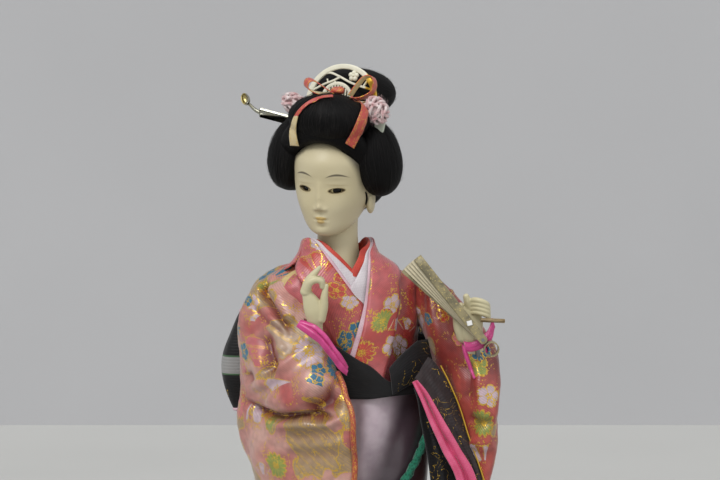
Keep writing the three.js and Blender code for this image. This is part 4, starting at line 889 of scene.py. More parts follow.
def skirtSheet(name, extra, top):
    angles = [math.pi / 2 + 2 * math.pi * i / skirt["sides"] for i in range(skirt["sides"])]
    starts = [hemShare(a, extra) for a in angles]
    smooth = [sum(starts[(i + d) % len(starts)] for d in range(-2, 3)) / 5 for i in range(len(starts))]
    rings = []
    for k in range(skirt["levels"] + 1):
        share = (k / skirt["levels"]) ** 1.35
        rings.append([skirtPoint(a, s + (top - s) * share, extra) for a, s in zip(angles, smooth)])
    return clothGrid(name, rings), rings[0]


skirtSilk = brocade("skirt_brocade", dyes["rose"], "#a4362f", spacing=30, patches=0.6, offset=130)
skirtPiece, hemLine = skirtSheet("kimono_skirt_cloth", 0, 1)
crumple(skirtPiece, 0.5, 26)
thicken(skirtPiece, 1.1)
dress(skirtPiece, "figure", "brocade", skirtSilk, "kimono_skirt")
innerSkirt, _ = skirtSheet("red_under_skirt", -2, 0.57)
thicken(innerSkirt, 0.8)
dress(innerSkirt, "figure", "red_silk", redPadding, "under_skirt")
hemPoints = [point * 1000 - Vector((0, 0, boardTop + 1.6)) for point in hemLine]
hemPoints = [(p.x, p.y, max(2.6, p.z)) for p in hemPoints]
hemRoll = ringTube(
    "padded_hem_roll", hemPoints, 2.2, 12, lambda k, a: 0.12 * math.sin(k * 1.9) + 0.1 * math.sin(k * 0.7)
)
dress(hemRoll, "figure", "red_silk", redPadding, "hem_roll")
# The front panel, which laps over the skirt from the doll's left
panelForm = {"steps": 90, "across": 70, "from": -118, "sweep": 92, "lean": 20, "top": 0.97}
panelRings = []
for k in range(panelForm["steps"] + 1):
    upward = k / panelForm["steps"]
    ring = []
    for i in range(panelForm["across"] + 1):
        sideward = i / panelForm["across"]
        lean = panelForm["lean"] * (1 - upward) * (1 - sideward)
        angle = math.radians(panelForm["from"] + panelForm["sweep"] * sideward - lean)
        start = hemShare(angle, 1.8)
        share = start + (panelForm["top"] - start) * upward**1.35
        ring.append(skirtPoint(angle, share, 1.5 if 0 < sideward < 1 else 0.9))
    panelRings.append(ring)
panel = clothGrid("skirt_front_panel", panelRings, closed=False)
crumple(panel, 0.4, 24, 3)
thicken(panel, 0.8)
dress(panel, "figure", "brocade", skirtSilk)
edgeCourse = [tuple(ring[0] * 1000 - Vector((0, 0, boardTop))) for ring in panelRings[::6]]
panelEdge = tube("skirt_panel_edge", edgeCourse, [1.3, 1.2, 1], steps=80, sides=8)
dress(panelEdge, "figure", "red_silk", redPadding)
print("Board, feet and skirt ready")

# Sleeves: slanted bags, open at the wrist, with the pink lining turned out at the mouth
sleeveWaves = {"broad": 1.1, "close": 0.7}


def sleeveFolds(angle, z):
    broad = sleeveWaves["broad"] * math.sin(2 * angle + z * 0.11)
    return broad + sleeveWaves["close"] * math.sin(5 * angle - z * 0.17)


rightTurn, leftTurn = -43, -68
sleeves = {
    "right": {
        "rows": [
            [165, -27, -20, 28, 5, rightTurn], [190, -28, -20, 29, 6.5, rightTurn],
            [216, -30, -20, 31, 8.5, rightTurn], [232, -32, -19.5, 33, 10, rightTurn],
            [248, -33.5, -18.5, 34.5, 11.5, rightTurn], [262, -35.5, -16.5, 32, 12.5, rightTurn],
            [277, -38.5, -12.5, 26, 12.5, rightTurn], [292, -41.5, -7, 19, 11.5, rightTurn],
            [304, -41, -2, 13.6, 9, rightTurn], [312, -34, -1, 9, 6, rightTurn],
        ],
        # the mouth's edge on the seen side: distance across from the forearm, and height
        "front": ((9.5, 289.5), (34, 270)),
        "back": ((9, 300), (36, 262)),
        "sides": 150,
        "folds": [
            ([(266, 279), (264.5, 293), (271, 304), (280, 317), (291, 331)], 1.5, 5.0),
            ([(270, 284), (277, 296), (288, 311), (297, 322)], 4.2, -2.6),
            ([(292, 276), (297, 290), (300, 305)], 5, -1.2),
            ([(262, 285), (258, 297), (259, 312)], 2.2, -1.4),
            ([(255, 306), (260, 315), (269, 323), (284, 333)], 1.4, 1.8),
            ([(263, 317), (276, 323), (291, 333)], 2.2, -1.6),
            ([(262, 333), (266, 349), (270, 364), (270, 377)], 3.6, 5.0),
            ([(246, 372), (252, 383)], 1.6, 2.4),
            ([(249, 386), (258, 383), (270, 381), (277, 371), (290, 361), (306, 350), (318, 342)], 2.3, -2.4),
            ([(300, 372), (315, 385), (330, 395)], 8, -2.6),
            ([(268, 396), (282, 402), (296, 403)], 5, -2.4),
            ([(246, 402), (262, 412), (278, 417), (298, 417), (318, 419), (334, 418)], 1.7, 5.6),
            ([(304, 413), (320, 407), (332, 398), (338, 387)], 4.4, 6.0),
            ([(272, 426), (300, 424), (325, 423), (347, 418)], 2.0, -2.2),
            ([(285, 437), (310, 436), (345, 434)], 2.6, 1.0),
            ([(285, 446), (315, 445), (345, 444)], 2.6, -0.8),
            ([(280, 457), (312, 455), (342, 453)], 3, 0.8),
            ([(284, 344), (277, 352)], 3, -1.5),
        ],
        "light": "#c2978a",
        "deep": "#a94f4b",
        "patches": 0.58,
        "bare": 0.5,
        "offset": 0,
        "motifs": [
            ("blossom", 266, 273, 5.5, 10, "blue", 5), ("fan", 282, 271, 5, -20, "blue", 7),
            ("blossom", 253, 303, 4.2, 0, "lilac", 5), ("blossom", 257, 322, 4.4, 20, "lilac", 5),
            ("blossom", 248, 300, 3.2, 0, "blue", 5), ("cloud", 281, 340, 10, 0, "beige", 9),
            ("blossom", 308, 352, 7.6, 15, "lilac", 13), ("blossom", 318, 371, 3.4, 0, "blue", 5),
            ("blossom", 314, 382, 3.6, 30, "blue", 5), ("blossom", 307, 391, 3.6, 10, "blue", 5),
            ("fan", 285, 398, 10.5, 128, "lilac", 11), ("cloud", 255, 350, 8, 40, "rose", 10),
            ("cloud", 312, 444, 16, 0, "sand", 26), ("blossom", 270, 422, 4.6, 0, "green", 14),
            ("blossom", 276, 465, 6, 30, "green", 14), ("fan", 262, 470, 4, 0, "lilac", 6),
            ("blossom", 350, 398, 4.2, 0, "lilac", 5), ("blossom", 244, 352, 4.6, 0, "blue", 5),
            ("fan", 256, 412, 6, 200, "lilac", 7),
        ],
    },
    "left": {
        "rows": [
            [165, 41.5, -8, 20, 4.5, leftTurn], [190, 41.5, -8, 21, 5.5, leftTurn],
            [216, 42.2, -9, 22, 7, leftTurn],
            [232, 43, -9.5, 23, 8.5, leftTurn], [248, 44, -10, 24.5, 10, leftTurn],
            [262, 44, -10, 24.5, 11.5, leftTurn],
            [277, 40.2, -8, 23, 12.4, leftTurn], [292, 33, -4, 17, 11.6, leftTurn],
            [302, 28, 0, 11.5, 8, leftTurn],
            [308, 25.5, 0.5, 7, 4.5, leftTurn],
        ],
        "front": ((10, 283), (24, 287)),
        "back": ((5, 292), (24, 268)),
        "sides": 130,
        "folds": [
            ([(430, 285), (436, 300), (440, 322)], 3, 2.4),
            ([(446, 290), (452, 308)], 3.4, -1.8),
            ([(466, 360), (470, 380), (468, 402)], 3, 2.2),
            ([(478, 372), (482, 395), (480, 420)], 3.4, -1.6),
            ([(468, 418), (482, 424), (495, 421)], 2.2, 1.8),
            ([(470, 440), (484, 446), (494, 441)], 3, -1.2),
        ],
        "light": "#a8463c",
        "deep": "#741f1a",
        "patches": 0.66,
        "bare": 0.78,
        "offset": 60,
        "motifs": [
            ("blossom", 478, 355, 3.6, 0, "blue", 5), ("blossom", 486, 351, 3.2, 20, "blue", 5),
            ("blossom", 489, 395, 5, 0, "lilac", 5), ("blossom", 484, 422, 6, 0, "green", 14),
            ("fan", 476, 455, 6, 30, "lilac", 7), ("blossom", 492, 334, 3, 0, "blue", 5),
        ],
    },
}


# What lies over the line between two points of the sleeve's own plane is cut off, on one half of the sleeve.
def cutMouth(piece, form, line, seenHalf):
    x, y, turn = form["rows"][5][1], form["rows"][5][2], math.radians(form["rows"][5][5])
    across = Vector((math.cos(turn), math.sin(turn), 0))
    outward = Vector((math.sin(turn), -math.cos(turn), 0))
    origin = mm(x, y, 0)
    (u0, z0), (u1, z1) = line
    edge = across * (u1 - u0) + Vector((0, 0, z1 - z0))
    over = outward.cross(edge).normalized()
    if over.z < 0:
        over = -over
    start = origin + (across * u0 + Vector((0, 0, z0))) / 1000

    def onHalf(face):
        return ((face.calc_center_median() - origin).dot(outward) > 0) == seenHalf

    def beyond(face):
        return onHalf(face) and (face.calc_center_median() - origin).dot(across) * 1000 > u0 - 0.2

    bpy.ops.object.select_all(action="DESELECT")
    bpy.context.view_layer.objects.active = piece
    piece.select_set(True)
    bpy.ops.object.mode_set(mode="EDIT")
    bpy.ops.mesh.select_mode(type="FACE")
    upright = origin + across * u0 / 1000
    pickFaces(piece, lambda f: onHalf(f) and f.calc_center_median().z > start.z - 0.002)
    bpy.ops.mesh.bisect(plane_co=upright, plane_no=across)
    pickFaces(piece, beyond)
    bpy.ops.mesh.bisect(plane_co=start, plane_no=over, clear_outer=True)
    bpy.ops.object.mode_set(mode="OBJECT")
    piece.select_set(False)


def sleeveSheet(name, form, extra, start):
    rings = levelRings(form["rows"], extra, 140 if fine else 90, form["sides"], sleeveFolds, start)
    if start == 0:
        low = [(p + rings[0][-i % len(rings[0])]) / 2 for i, p in enumerate(rings[0])]
        pinched = [a.lerp(b, 0.85) - Vector((0, 0, 0.0012)) for a, b in zip(rings[0], low)]
        rings.insert(0, pinched)
    top = sum(rings[-1], Vector()) / len(rings[-1])
    rings.append([p.lerp(top, 0.6) + Vector((0, 0, 0.0012)) for p in rings[-1]])
    rings.append([p.lerp(top, 0.98) + Vector((0, 0, 0.0004)) for p in rings[-1]])
    return clothGrid(name, rings)


for side, form in sleeves.items():
    cloth = sleeveSheet(f"sleeve_{side}_cloth", form, -0.4, 0)
    pressFolds(cloth, form["folds"])
    crumple(cloth, 0.7, 11, len(side))
    crumple(cloth, 0.25, 3.4, len(side) + 5)
    placed = placeMotifs(cloth, form["motifs"])
    silk = brocade(
        f"sleeve_{side}_brocade", form["light"], form["deep"], placed, 27, form["patches"],
        form["offset"], form["bare"],
    )
    for part, seenHalf in (("front", True), ("back", False)):
        cutMouth(cloth, form, form[part], seenHalf)
    thicken(cloth, 0.9)
    dress(cloth, "figure", "brocade", silk, f"sleeve_{side}")
    lining = sleeveSheet(f"sleeve_{side}_lining", form, -1.8, 0.45)
    pressFolds(lining, form["folds"])
    crumple(lining, 0.7, 11, len(side))
    for part, seenHalf in (("front", True), ("back", False)):
        cutMouth(lining, form, [(u, z + 2.6) for u, z in form[part]], seenHalf)
    thicken(lining, 0.6)
    dress(lining, "figure", "pink_satin", pinkSatin, f"sleeve_lining_{side}")
print("Sleeves ready")

# Bodice and collars, all turned with the torso
collarRows = [[*row, torsoTurn] for row in (
    (250, 1.5, 0, 21.6, 17.4), (267, 0, 0, 22.4, 17.4), (282, -3, 0, 26.4, 17.9),
    (294, -6, 0, 32.4, 17.4), (302, -8, -0.4, 34, 16.6), (307, -9.5, -0.8, 31, 16),
    (312, -12, -1.6, 23, 15), (316, -13.6, -2.4, 17, 14.4), (320, -14.3, -2.6, 14, 14),
    (328, -14.5, -2.6, 12.4, 13.4),
)]
neck = {"x": -14.5, "y": -3, "collarSide": 325, "backDrop": 6}


# Half widths at each half millimetre of height, read back without searching
torsoSteps = [rowAtHeight(collarRows, 250 + k / 2) for k in range(157)]


def torsoFrame(z):
    place = min(max((z - 250) * 2, 0), 155.9)
    k = int(place)
    return [a + (b - a) * (place - k) for a, b in zip(torsoSteps[k], torsoSteps[k + 1])]


turnCos, turnSin = math.cos(math.radians(torsoTurn)), math.sin(math.radians(torsoTurn))


# How far out a point lies, as a share of the torso's own size with the lift added
def torsoShare(point, lift):
    _, x, y, across, deep, _ = torsoFrame(point.z)
    du, dv = point.x - x, point.y - y
    u, v = du * turnCos + dv * turnSin, dv * turnCos - du * turnSin
    return math.hypot(u / (across + lift), v / (deep + lift))


def ontoTorso(point, lift):
    _, x, y, _, _, _ = torsoFrame(point.z)
    share = max(torsoShare(point, lift), 0.05)
    return Vector((x + (point.x - x) / share, y + (point.y - y) / share, point.z))


# Where the line of sight through a pixel meets the torso
def underPixel(px, py, lift):
    near = -70
    best = min((torsoShare(Vector(atPixel(px, py, y)), lift), y) for y in range(-40, 12, 2))
    if best[0] > 1:
        return ontoTorso(Vector(atPixel(px, py, best[1])), lift)
    far = best[1]
    for _ in range(18):
        middle = (near + far) / 2
        if torsoShare(Vector(atPixel(px, py, middle)), lift) > 1:
            near = middle
        else:
            far = middle
    return Vector(atPixel(px, py, near))


def besideNeck(side, shareRound, z, lift):
    _, x, y, across, deep, _ = torsoFrame(z)
    sine = math.sin(shareRound * math.pi / 2)
    u, v = (across + lift) * sine * side, (deep + lift) * math.sqrt(1 - sine * sine)
    return Vector((x + u * turnCos - v * turnSin, y + u * turnSin + v * turnCos, z))


# A collar follows the edges that the camera sees, from one front end round the neck to the other. The
# doll's left front lies over the right one, so it is lifted more.
def collarSheet(name, form, steps=260, across=10):
    lift = form["lift"]
    top = neck["collarSide"]
    rows = []
    for inner, outer in reversed(form["right"]):
        rows.append((underPixel(*inner, lift), underPixel(*outer, lift), lift))
    for side, shareRound in ((-1, 1), (-1, 0.65), (-1, 0.2), (1, 0.2), (1, 0.65), (1, 1)):
        high = top - neck["backDrop"] * (1 - shareRound**2)
        rows.append((
            besideNeck(side, shareRound, high, lift),
            besideNeck(side, shareRound, high - form["drop"], lift),
            lift,
        ))
    for k, (inner, outer) in enumerate(form["left"]):
        more = lift + form["over"] * min(1, k / 2)
        rows.append((underPixel(*inner, more), underPixel(*outer, more), more))
    flat = [(*inner, *outer, more) for inner, outer, more in rows]
    rings = []
    for k in range(steps + 1):
        place = blendRows(flat, k / steps)
        inner, outer, more = Vector(place[:3]), Vector(place[3:6]), place[6]
        ring = []
        for i in range(across + 1):
            share = i / across
            swell = 0.5 * math.sin(math.pi * share)
            ring.append(mm(*ontoTorso(inner.lerp(outer, share), more + swell)))
        rings.append(ring)
    piece = clothGrid(name, rings, closed=False)
    axis = mm(neck["x"], neck["y"], 300)
    facing = sum(
        p.normal.x * (p.center.x - axis.x) + p.normal.y * (p.center.y - axis.y) for p in piece.data.polygons
    )
    if facing < 0:
        piece.data.flip_normals()
    return piece


# Collars: red, white and pale pink silk, each a close rib with a soft gleam
redCollarSilk = plainCloth("red_collar_silk", "#c23a26", "#a82c1e", 0.6, satinLook, threads=4)
whiteCollarSilk = plainCloth("white_collar_silk", "#cfc8cb", "#bdb4b8", 0.6, satinLook, threads=4)
pinkCollarSilk = plainCloth("pale_pink_collar_silk", "#d0b3bb", "#c39aa6", 0.55, satinLook, threads=4)
collarWall = 0.6
# Pairs of edge points in the frame's pixels, from the neck down: the neck side's edge, then the outer one
collars = [
    {
        "name": "collar_red", "cloth": redCollarSilk, "slot": "red_silk", "drop": 5, "lift": 0.4, "over": 0.4,
        "flat": (0.01, 0.1), "area": 0.0006,
        "left": [((361.5, 249), (367.5, 251)), ((358.5, 256.6), (365, 264)), ((352, 269.6), (358, 277)),
                 ((346, 278), (352, 284))],
        "right": [((323, 242), (316, 246)), ((334, 251), (327, 256)), ((343.4, 260.3), (337, 265)),
                  ((352, 269.6), (346, 276)), ((358, 277), (353, 283))],
    },
    {
        "name": "collar_white", "cloth": whiteCollarSilk, "slot": "white_silk", "drop": 6, "lift": 1.2,
        "over": 0.9, "flat": (0.01, 0.12), "area": 0.001,
        "left": [((366.5, 251), (373, 254)), ((362.8, 264), (374, 272)), ((356, 278), (373, 292)),
                 ((349, 289), (371, 308)), ((345, 296), (367, 322))],
        "right": [((318, 240.5), (309, 246)), ((328.6, 251), (321, 262)), ((339.7, 261.3), (332, 275)),
                  ((348.9, 270.5), (342, 288)), ((356, 278), (350, 298)), ((366, 289), (360, 309))],
    },
    {
        "name": "collar_piping", "cloth": pinkCollarSilk, "slot": "pale_pink_silk", "drop": 7, "lift": 2.0,
        "over": 2.2, "flat": (0.01, 0.15), "area": 0.0012,
        "left": [((369.8, 249), (376, 252)), ((368.3, 260.3), (377, 264)), ((366.5, 286.2), (376, 290)),
                 ((364, 304.7), (374, 309)), ((358.2, 328.8), (369, 333)), ((352.6, 348), (363, 352)),
                 ((346, 372), (357, 376))],
        "right": [((316, 242), (308, 247)), ((330.8, 259), (322, 266)), ((345.2, 279), (337, 288)),
                  ((356.2, 294), (348, 303)), ((366, 304), (358, 313))],
    },
    {
        "name": "collar_brocade", "cloth": None, "slot": "brocade", "drop": 12, "lift": 2.8, "over": 2.2,
        "flat": (0.02, 0.18), "area": 0.0031,
        "left": [((371.2, 249), (382, 252)), ((370.6, 260.3), (391.5, 262)), ((369, 286.2), (400, 281)),
                 ((367, 304.7), (400.7, 298)), ((362.8, 328.8), (397, 322)), ((357, 350), (391, 350)),
                 ((350, 376), (383, 380))],
        "right": [((314.5, 240.5), (299, 248)), ((328.6, 260.3), (296.2, 266)), ((343.4, 280.7), (305, 287)),
                  ((354.5, 295.5), (317, 310)), ((363.7, 304.7), (327, 330)), ((371, 318), (337, 350)),
                  ((377, 332), (350, 378))],
    },
]
bodiceMotifs = [
    ("fan", 318, 262, 7.5, 12, "coral", 9), ("blossom", 343, 279, 3.6, 0, "coral", 5),
    ("blossom", 336, 291, 4.4, 30, "coral", 5), ("blossom", 349, 303, 4.2, 10, "lilac", 5),
    ("blossom", 356, 331, 4.4, 0, "blue", 5), ("blossom", 347, 340, 4.2, 25, "blue", 5),
    ("blossom", 391, 305, 5, 0, "lilac", 5), ("blossom", 381, 320, 5.2, 0, "green", 14),
    ("blossom", 400, 346, 5, 15, "lilac", 5), ("fan", 408, 325, 4, -20, "lilac", 6),
    ("blossom", 318, 246, 3.8, 0, "lilac", 5),
]


for form in collars:
    band = collarSheet(form["name"] + "_cloth", form)
    crumple(band, 0.25, 9, 2)
    if form["cloth"] is None:
        pressFolds(band, [
            ([(300, 250), (318, 300), (338, 345)], 2.2, 0.7),
            ([(398, 268), (404, 300), (400, 330)], 2.2, 0.8),
        ])
        placed = placeMotifs(band, bodiceMotifs)
        form["cloth"] = brocade("collar_brocade_silk", dyes["rose"], "#a83a34", placed, 30, 0.66, 20, 0.85)
    thicken(band, collarWall, offset=1)
    dress(band, "figure", form["slot"], form["cloth"], form["name"])
bodiceRows = [[214.4, -1, 0, 22, 18, torsoTurn], [232, 1, 0, 22, 18, torsoTurn], *collarRows[:8]]
bodice = clothGrid("kimono_bodice_cloth", levelRings(bodiceRows, -0.3, 110 if fine else 60, 150))
pressFolds(bodice, [
    ([(294, 262), (303, 278), (310, 296)], 1.6, 1.2), ([(310, 300), (322, 330), (336, 350)], 4, -1.2),
    ([(420, 285), (424, 310), (420, 345)], 3, 1.8), ([(408, 275), (412, 300), (410, 340)], 4, -1.2),
    ([(330, 310), (340, 330), (347, 348)], 1.6, 1.0),
])
crumple(bodice, 0.6, 12, 4)
# Painted shade darkens the bodice towards the doll's left
bodiceSilk = brocade(
    "bodice_brocade", dyes["rose"], "#9c322d", placeMotifs(bodice, bodiceMotifs), 28, 0.66, 20, 0.8, (4, 14),
)
openV = mm(neck["x"] + 6, neck["y"] - 18, 0)
across = Vector((math.cos(math.radians(torsoTurn)), math.sin(math.radians(torsoTurn)), 0))


def inOpening(middle):
    height = middle.z * 1000 - boardTop - 285
    if height > 33 and math.hypot(middle.x * 1000 - neck["x"], middle.y * 1000 - neck["y"]) < 14.5:
        return True
    return middle.y < 0 < height and abs((middle - openV).dot(across)) * 1000 < 13 * height / 37


bpy.context.view_layer.objects.active = bodice
bpy.ops.object.mode_set(mode="EDIT")
pickFaces(bodice, lambda f: inOpening(f.calc_center_median()))
bpy.ops.mesh.delete(type="FACE")
bpy.ops.object.mode_set(mode="OBJECT")
thicken(bodice, 1)
dress(bodice, "figure", "brocade", bodiceSilk, "kimono_bodice")
print("Bodice and collars ready")

# Obi: lavender satin under two crossing black flaps, tied with a crepe cord
obi = {"bottom": 208, "top": 261.5, "inner": 3.65, "wall": 1.6, "wrapInner": 7.85}
waistRows = [[*row, torsoTurn] for row in (
    (208, -1, 0, 22, 18), (232, 1, 0, 21.4, 17.4), (250, 2, 0, 19.2, 15.2), (265, 0.6, 0, 20, 15.2),
    (280, -2, 0, 23.2, 15.6),
)]


def waistRings(extra, bottom, top, levels, sides, waves=None):
    heights = [bottom + (top - bottom) * k / levels for k in range(levels + 1)]
    return [levelRing(rowAtHeight(waistRows, z), extra, sides, waves) for z in heights]


# Obi satin, a greyish lavender with a broad smooth gleam
satinSilk = plainCloth("lavender_satin", "#cdbdc4", "#b3a0aa", 0.3, satinLook, threads=6, strength=0.08)
# Painted shade: the lavender darkens to a deep plum towards the doll's left hip, on a slant
tree = satinSilk.node_tree
shader = tree.nodes["Principled BSDF"]
parts = addNode(tree, "SeparateXYZ", {0: addNode(tree, "UVMap", uv_map="cloth")}, out=None)
slanted = addNode(
    tree, "Math", {0: parts.outputs[1], 1: -0.34, 2: parts.outputs[0]}, operation="MULTIPLY_ADD"
)
sideShade = addNode(tree, "MapRange", {0: slanted, 1: -22, 2: -6, 3: 0, 4: 0.95}, interpolation_type="SMOOTHSTEP")
before = shader.inputs["Base Color"].links[0].from_socket
shadedSatin = addNode(tree, "Mix", {0: sideShade, 6: before, 7: "#33222a"}, **blended)
tree.links.new(shadedSatin, shader.inputs["Base Color"])
satin = clothGrid(
    "obi_satin_cloth",
    waistRings(
        obi["inner"] + 1.3, obi["bottom"], obi["top"], 60 if fine else 36, 190,
        lambda a, z: 0.1 * math.sin(9 * a + z * 0.05),
    ),
)
pressFolds(satin, [
    ([(366, 396), (364, 440), (360, 480)], 5, -0.8), ([(412, 395), (400, 430), (384, 480)], 4, 1.0),
    ([(356, 402), (353, 440), (348, 480)], 3, 1.2),
])
crumple(satin, 0.25, 16, 9)
thicken(satin, 1.1)
dress(satin, "figure", "lavender_satin", satinSilk, "obi_satin")


# Black figured silk: ribbed, matt, with curling lines of gold thread woven in
def blackFigured(name, ground, amount, offset=0.0):
    material, tree, shader = newMaterial(
        name, ground, 0.62, {"Sheen Weight": 0.12, "Specular IOR Level": 0.3}
    )
    cloth = addNode(tree, "UVMap", uv_map="cloth")
    shifted = addNode(tree, "VectorMath", {0: cloth, 1: (offset, offset, 0)}, operation="ADD")
    curls = addNode(tree, "TexNoise", {"Vector": shifted, "Scale": 0.11, "Detail": 1, "Distortion": 1.6})
    line = addNode(tree, "Math", {0: curls, 1: 0.52, 2: 0.012}, operation="COMPARE")
    region = addNode(tree, "TexNoise", {"Vector": shifted, "Scale": 0.045, "Detail": 1})
    here = addNode(tree, "Math", {0: region, 1: 1 - amount}, operation="GREATER_THAN")
    drawn = addNode(tree, "Math", {0: line, 1: here}, operation="MULTIPLY")
    stitches = addNode(tree, "TexNoise", {"Vector": cloth, "Scale": 1.2, "Detail": 1})
    stitched = addNode(tree, "MapRange", {0: stitches, 1: 0.42, 2: 0.55})
    gold = addNode(tree, "Math", {0: drawn, 1: stitched}, operation="MULTIPLY")
    parts = addNode(tree, "SeparateXYZ", {0: cloth}, out=None)
    rows = addNode(tree, "Math", {0: parts.outputs[1], 1: 4.5}, operation="MULTIPLY")
    ribs = addNode(tree, "Math", {0: rows}, operation="SINE")
    mottle = addNode(tree, "TexNoise", {"Vector": cloth, "Scale": 0.25, "Detail": 4})
    tone = addNode(tree, "MapRange", {0: mottle, 1: 0.3, 2: 0.7, 3: 0.7, 4: 1.5})
    tint = addNode(tree, "Mix", {0: 1, 6: ground, 7: tone}, **multiplied)
    tint = addNode(tree, "Mix", {0: gold, 6: tint, 7: dyes["gold"]}, **blended)
    tree.links.new(tint, shader.inputs["Base Color"])
    metal = addNode(tree, "Math", {0: gold, 1: 0.7}, operation="MULTIPLY")
    tree.links.new(metal, shader.inputs["Metallic"])
    height = addNode(tree, "Math", {0: ribs, 1: 0.4, 2: gold}, operation="MULTIPLY_ADD")
    bump = addNode(tree, "Bump", {"Height": height, "Strength": 0.35, "Distance": 0.0003})
    tree.links.new(bump, shader.inputs["Normal"])
    return material


blackSilk = blackFigured("black_figured_silk", "#111012", 0.5)
plainBlack = blackFigured("black_wrap_silk", "#0d0c0d", 0.3, 55)


# One flap of the black wrap: a level band whose upper edge falls towards the crossing at the front
def wrapFlap(name, extra, firstAngle, lastAngle, topAt, bottomAt):
    rings = []
    for k in range(19):
        ring = []
        for i in range(141):
            angle = math.radians(firstAngle + (lastAngle - firstAngle) * i / 140)
            low = ringPoint(rowAtHeight(waistRows, 262), angle, extra).x * 1000
            z = bottomAt(low) + (topAt(low) - bottomAt(low)) * k / 18
            swell = 0.35 * math.sin(7 * angle + z * 0.1) + 0.4 * math.sin(math.pi * k / 18)
            ring.append(ringPoint(rowAtHeight(waistRows, z), angle, extra + swell))
        rings.append(ring)
    return clothGrid(name, rings, closed=False)


def fall(value, start, end):
    share = min(1, max(0, (value - start) / (end - start)))
    return share * share * (3 - 2 * share)


under = wrapFlap(
    "obi_wrap_under_flap", obi["wrapInner"] + 0.2, 100, 310,
    lambda x: 280 - 10 * fall(x, -15, 3) - 7.4 * fall(x, 0, 9) if x < 12 else 262.6,
    lambda x: 255 + 1.4 * fall(x, -4, 12),
)
over = wrapFlap(
    "obi_wrap_over_flap", obi["wrapInner"] + 1.5, 100, -92,
    lambda x: 262.5 + 17.5 * min(1, max(0, (x - 4) / 18)) ** 0.85 - 6 * fall(-x, -6, 8),
    lambda x: 255.4 + 6 * fall(x, 3, 22),
)
for flap in (under, over):
    crumple(flap, 0.4, 9, 6)
    if flap is over:
        flap.data.flip_normals()
    thicken(flap, 0.9, offset=0)
dress(under, "figure", "black_brocade", plainBlack, "obi_wrap_black")
dress(over, "figure", "black_brocade", blackSilk, "obi_wrap_black")

cordTurns, cordStrands = 46, 3
cordLow, cordRise = 209, 37
# Green silk crepe of the cord: puckered, so that it looks matt and grainy
crepe, tree, shader = newMaterial(
    "green_silk_crepe", "#17644c", 0.75, {"Sheen Weight": 0.3, "Specular IOR Level": 0.25}
)
place = addNode(tree, "TexCoord", out=3)
pucker = addNode(tree, "TexVoronoi", {"Vector": place, "Scale": 900})
shade = addNode(tree, "MapRange", {0: pucker, 1: 0.1, 2: 0.7, 3: 0.4, 4: 1.1})
tint = addNode(tree, "Mix", {0: 1, 6: "#1b6f55", 7: shade}, **multiplied)
tree.links.new(tint, shader.inputs["Base Color"])
bump = addNode(tree, "Bump", {"Height": pucker, "Strength": 0.7, "Distance": 0.0006})
tree.links.new(bump, shader.inputs["Normal"])
cordPoints = []
cordSteps = 240
for i in range(cordSteps):
    angle = 2 * math.pi * i / cordSteps
    degrees = (math.degrees(angle) + 90) % 360
    z = cordLow + cordRise * (fall(degrees, -12, 64) - fall(degrees, 225, 352))
    point = ringPoint(rowAtHeight(waistRows, z), angle, obi["inner"] + obi["wall"] + 2.1) * 1000
    cordPoints.append((point.x, point.y, z))


def cordTwist(k, a):
    strands = math.sin(cordStrands * a + 2 * math.pi * cordTurns * k / cordSteps)
    return 0.32 * strands + 0.1 * math.sin(k * 2.3)


cord = ringTube("obi_cord_crepe", cordPoints, 1.75, 18, cordTwist)
dress(cord, "figure", "green_crepe", crepe, "obi_cord_green")
print("Obi ready")

# Bow at the back: two loops, a knot and a hanging end
bow = {"middle": 268, "back": 38.5, "spread": 29, "height": 45, "wall": 1.4}
backward = Vector((-math.sin(math.radians(torsoTurn)), math.cos(math.radians(torsoTurn)), 0))
sideways = across.copy()
bowCentre = Vector((1, 0, bow["middle"])) + backward * bow["back"]
bandedSilk = blackFigured("black_bow_silk", "#0c0b0c", 0.5, 20)
tree = bandedSilk.node_tree
shader = tree.nodes["Principled BSDF"]
cloth = addNode(tree, "UVMap", uv_map="cloth")
parts = addNode(tree, "SeparateXYZ", {0: cloth}, out=None)
height = parts.outputs[1]
band = addNode(tree, "Math", {0: height, 1: 21.3, 2: 3.8}, operation="COMPARE")
edges = addNode(tree, "Math", {0: height, 1: 21.3, 2: 4.5}, operation="COMPARE")
before = shader.inputs["Base Color"].links[0].from_socket
trimmed = addNode(tree, "Mix", {0: edges, 6: before, 7: "#3f5d3f"}, **blended)
trimmed = addNode(tree, "Mix", {0: band, 6: trimmed, 7: "#8d8c8a"}, **blended)
tree.links.new(trimmed, shader.inputs["Base Color"])


def loopFolds(a, z):
    return 0.5 * math.sin(3 * a + z * 0.12) + 0.3 * math.sin(8 * a - z * 0.05) - 0.4


for name, side in (("right", -1), ("left", 1)):
    centre = bowCentre + sideways * side * bow["spread"]
    rings = []
    for k in range(49):
        share = k / 48 - 0.5
        bulge = max(0, math.cos((share + 0.05) * 2.9)) ** 0.9
        row = [
            bow["middle"] + share * bow["height"], centre.x, centre.y, 21 + 9 * bulge, 7 + 6 * bulge,
            torsoTurn,
        ]
        rings.append(levelRing(row, -0.1, 140, loopFolds))
    loop = clothGrid(f"bow_loop_{name}_cloth", rings)
    crumple(loop, 0.6, 12, side)
    thicken(loop, bow["wall"])
    dress(loop, "figure", "black_brocade", bandedSilk, f"bow_loop_{name}")
    for ring in (rings[0], rings[-1]):
        points = [tuple(p * 1000 - Vector((0, 0, boardTop))) for p in ring[::2]]
        edge = ringTube(f"bow_loop_{name}_edge_{'low' if ring is rings[0] else 'high'}", points, 0.8, 8)
        dress(edge, "figure", "pale_pink_silk", pinkCollarSilk)
knotPoints = [tuple(bowCentre + Vector((0, 0, z)) - backward * 0.5) for z in (-16, -8, 0, 8, 16)]
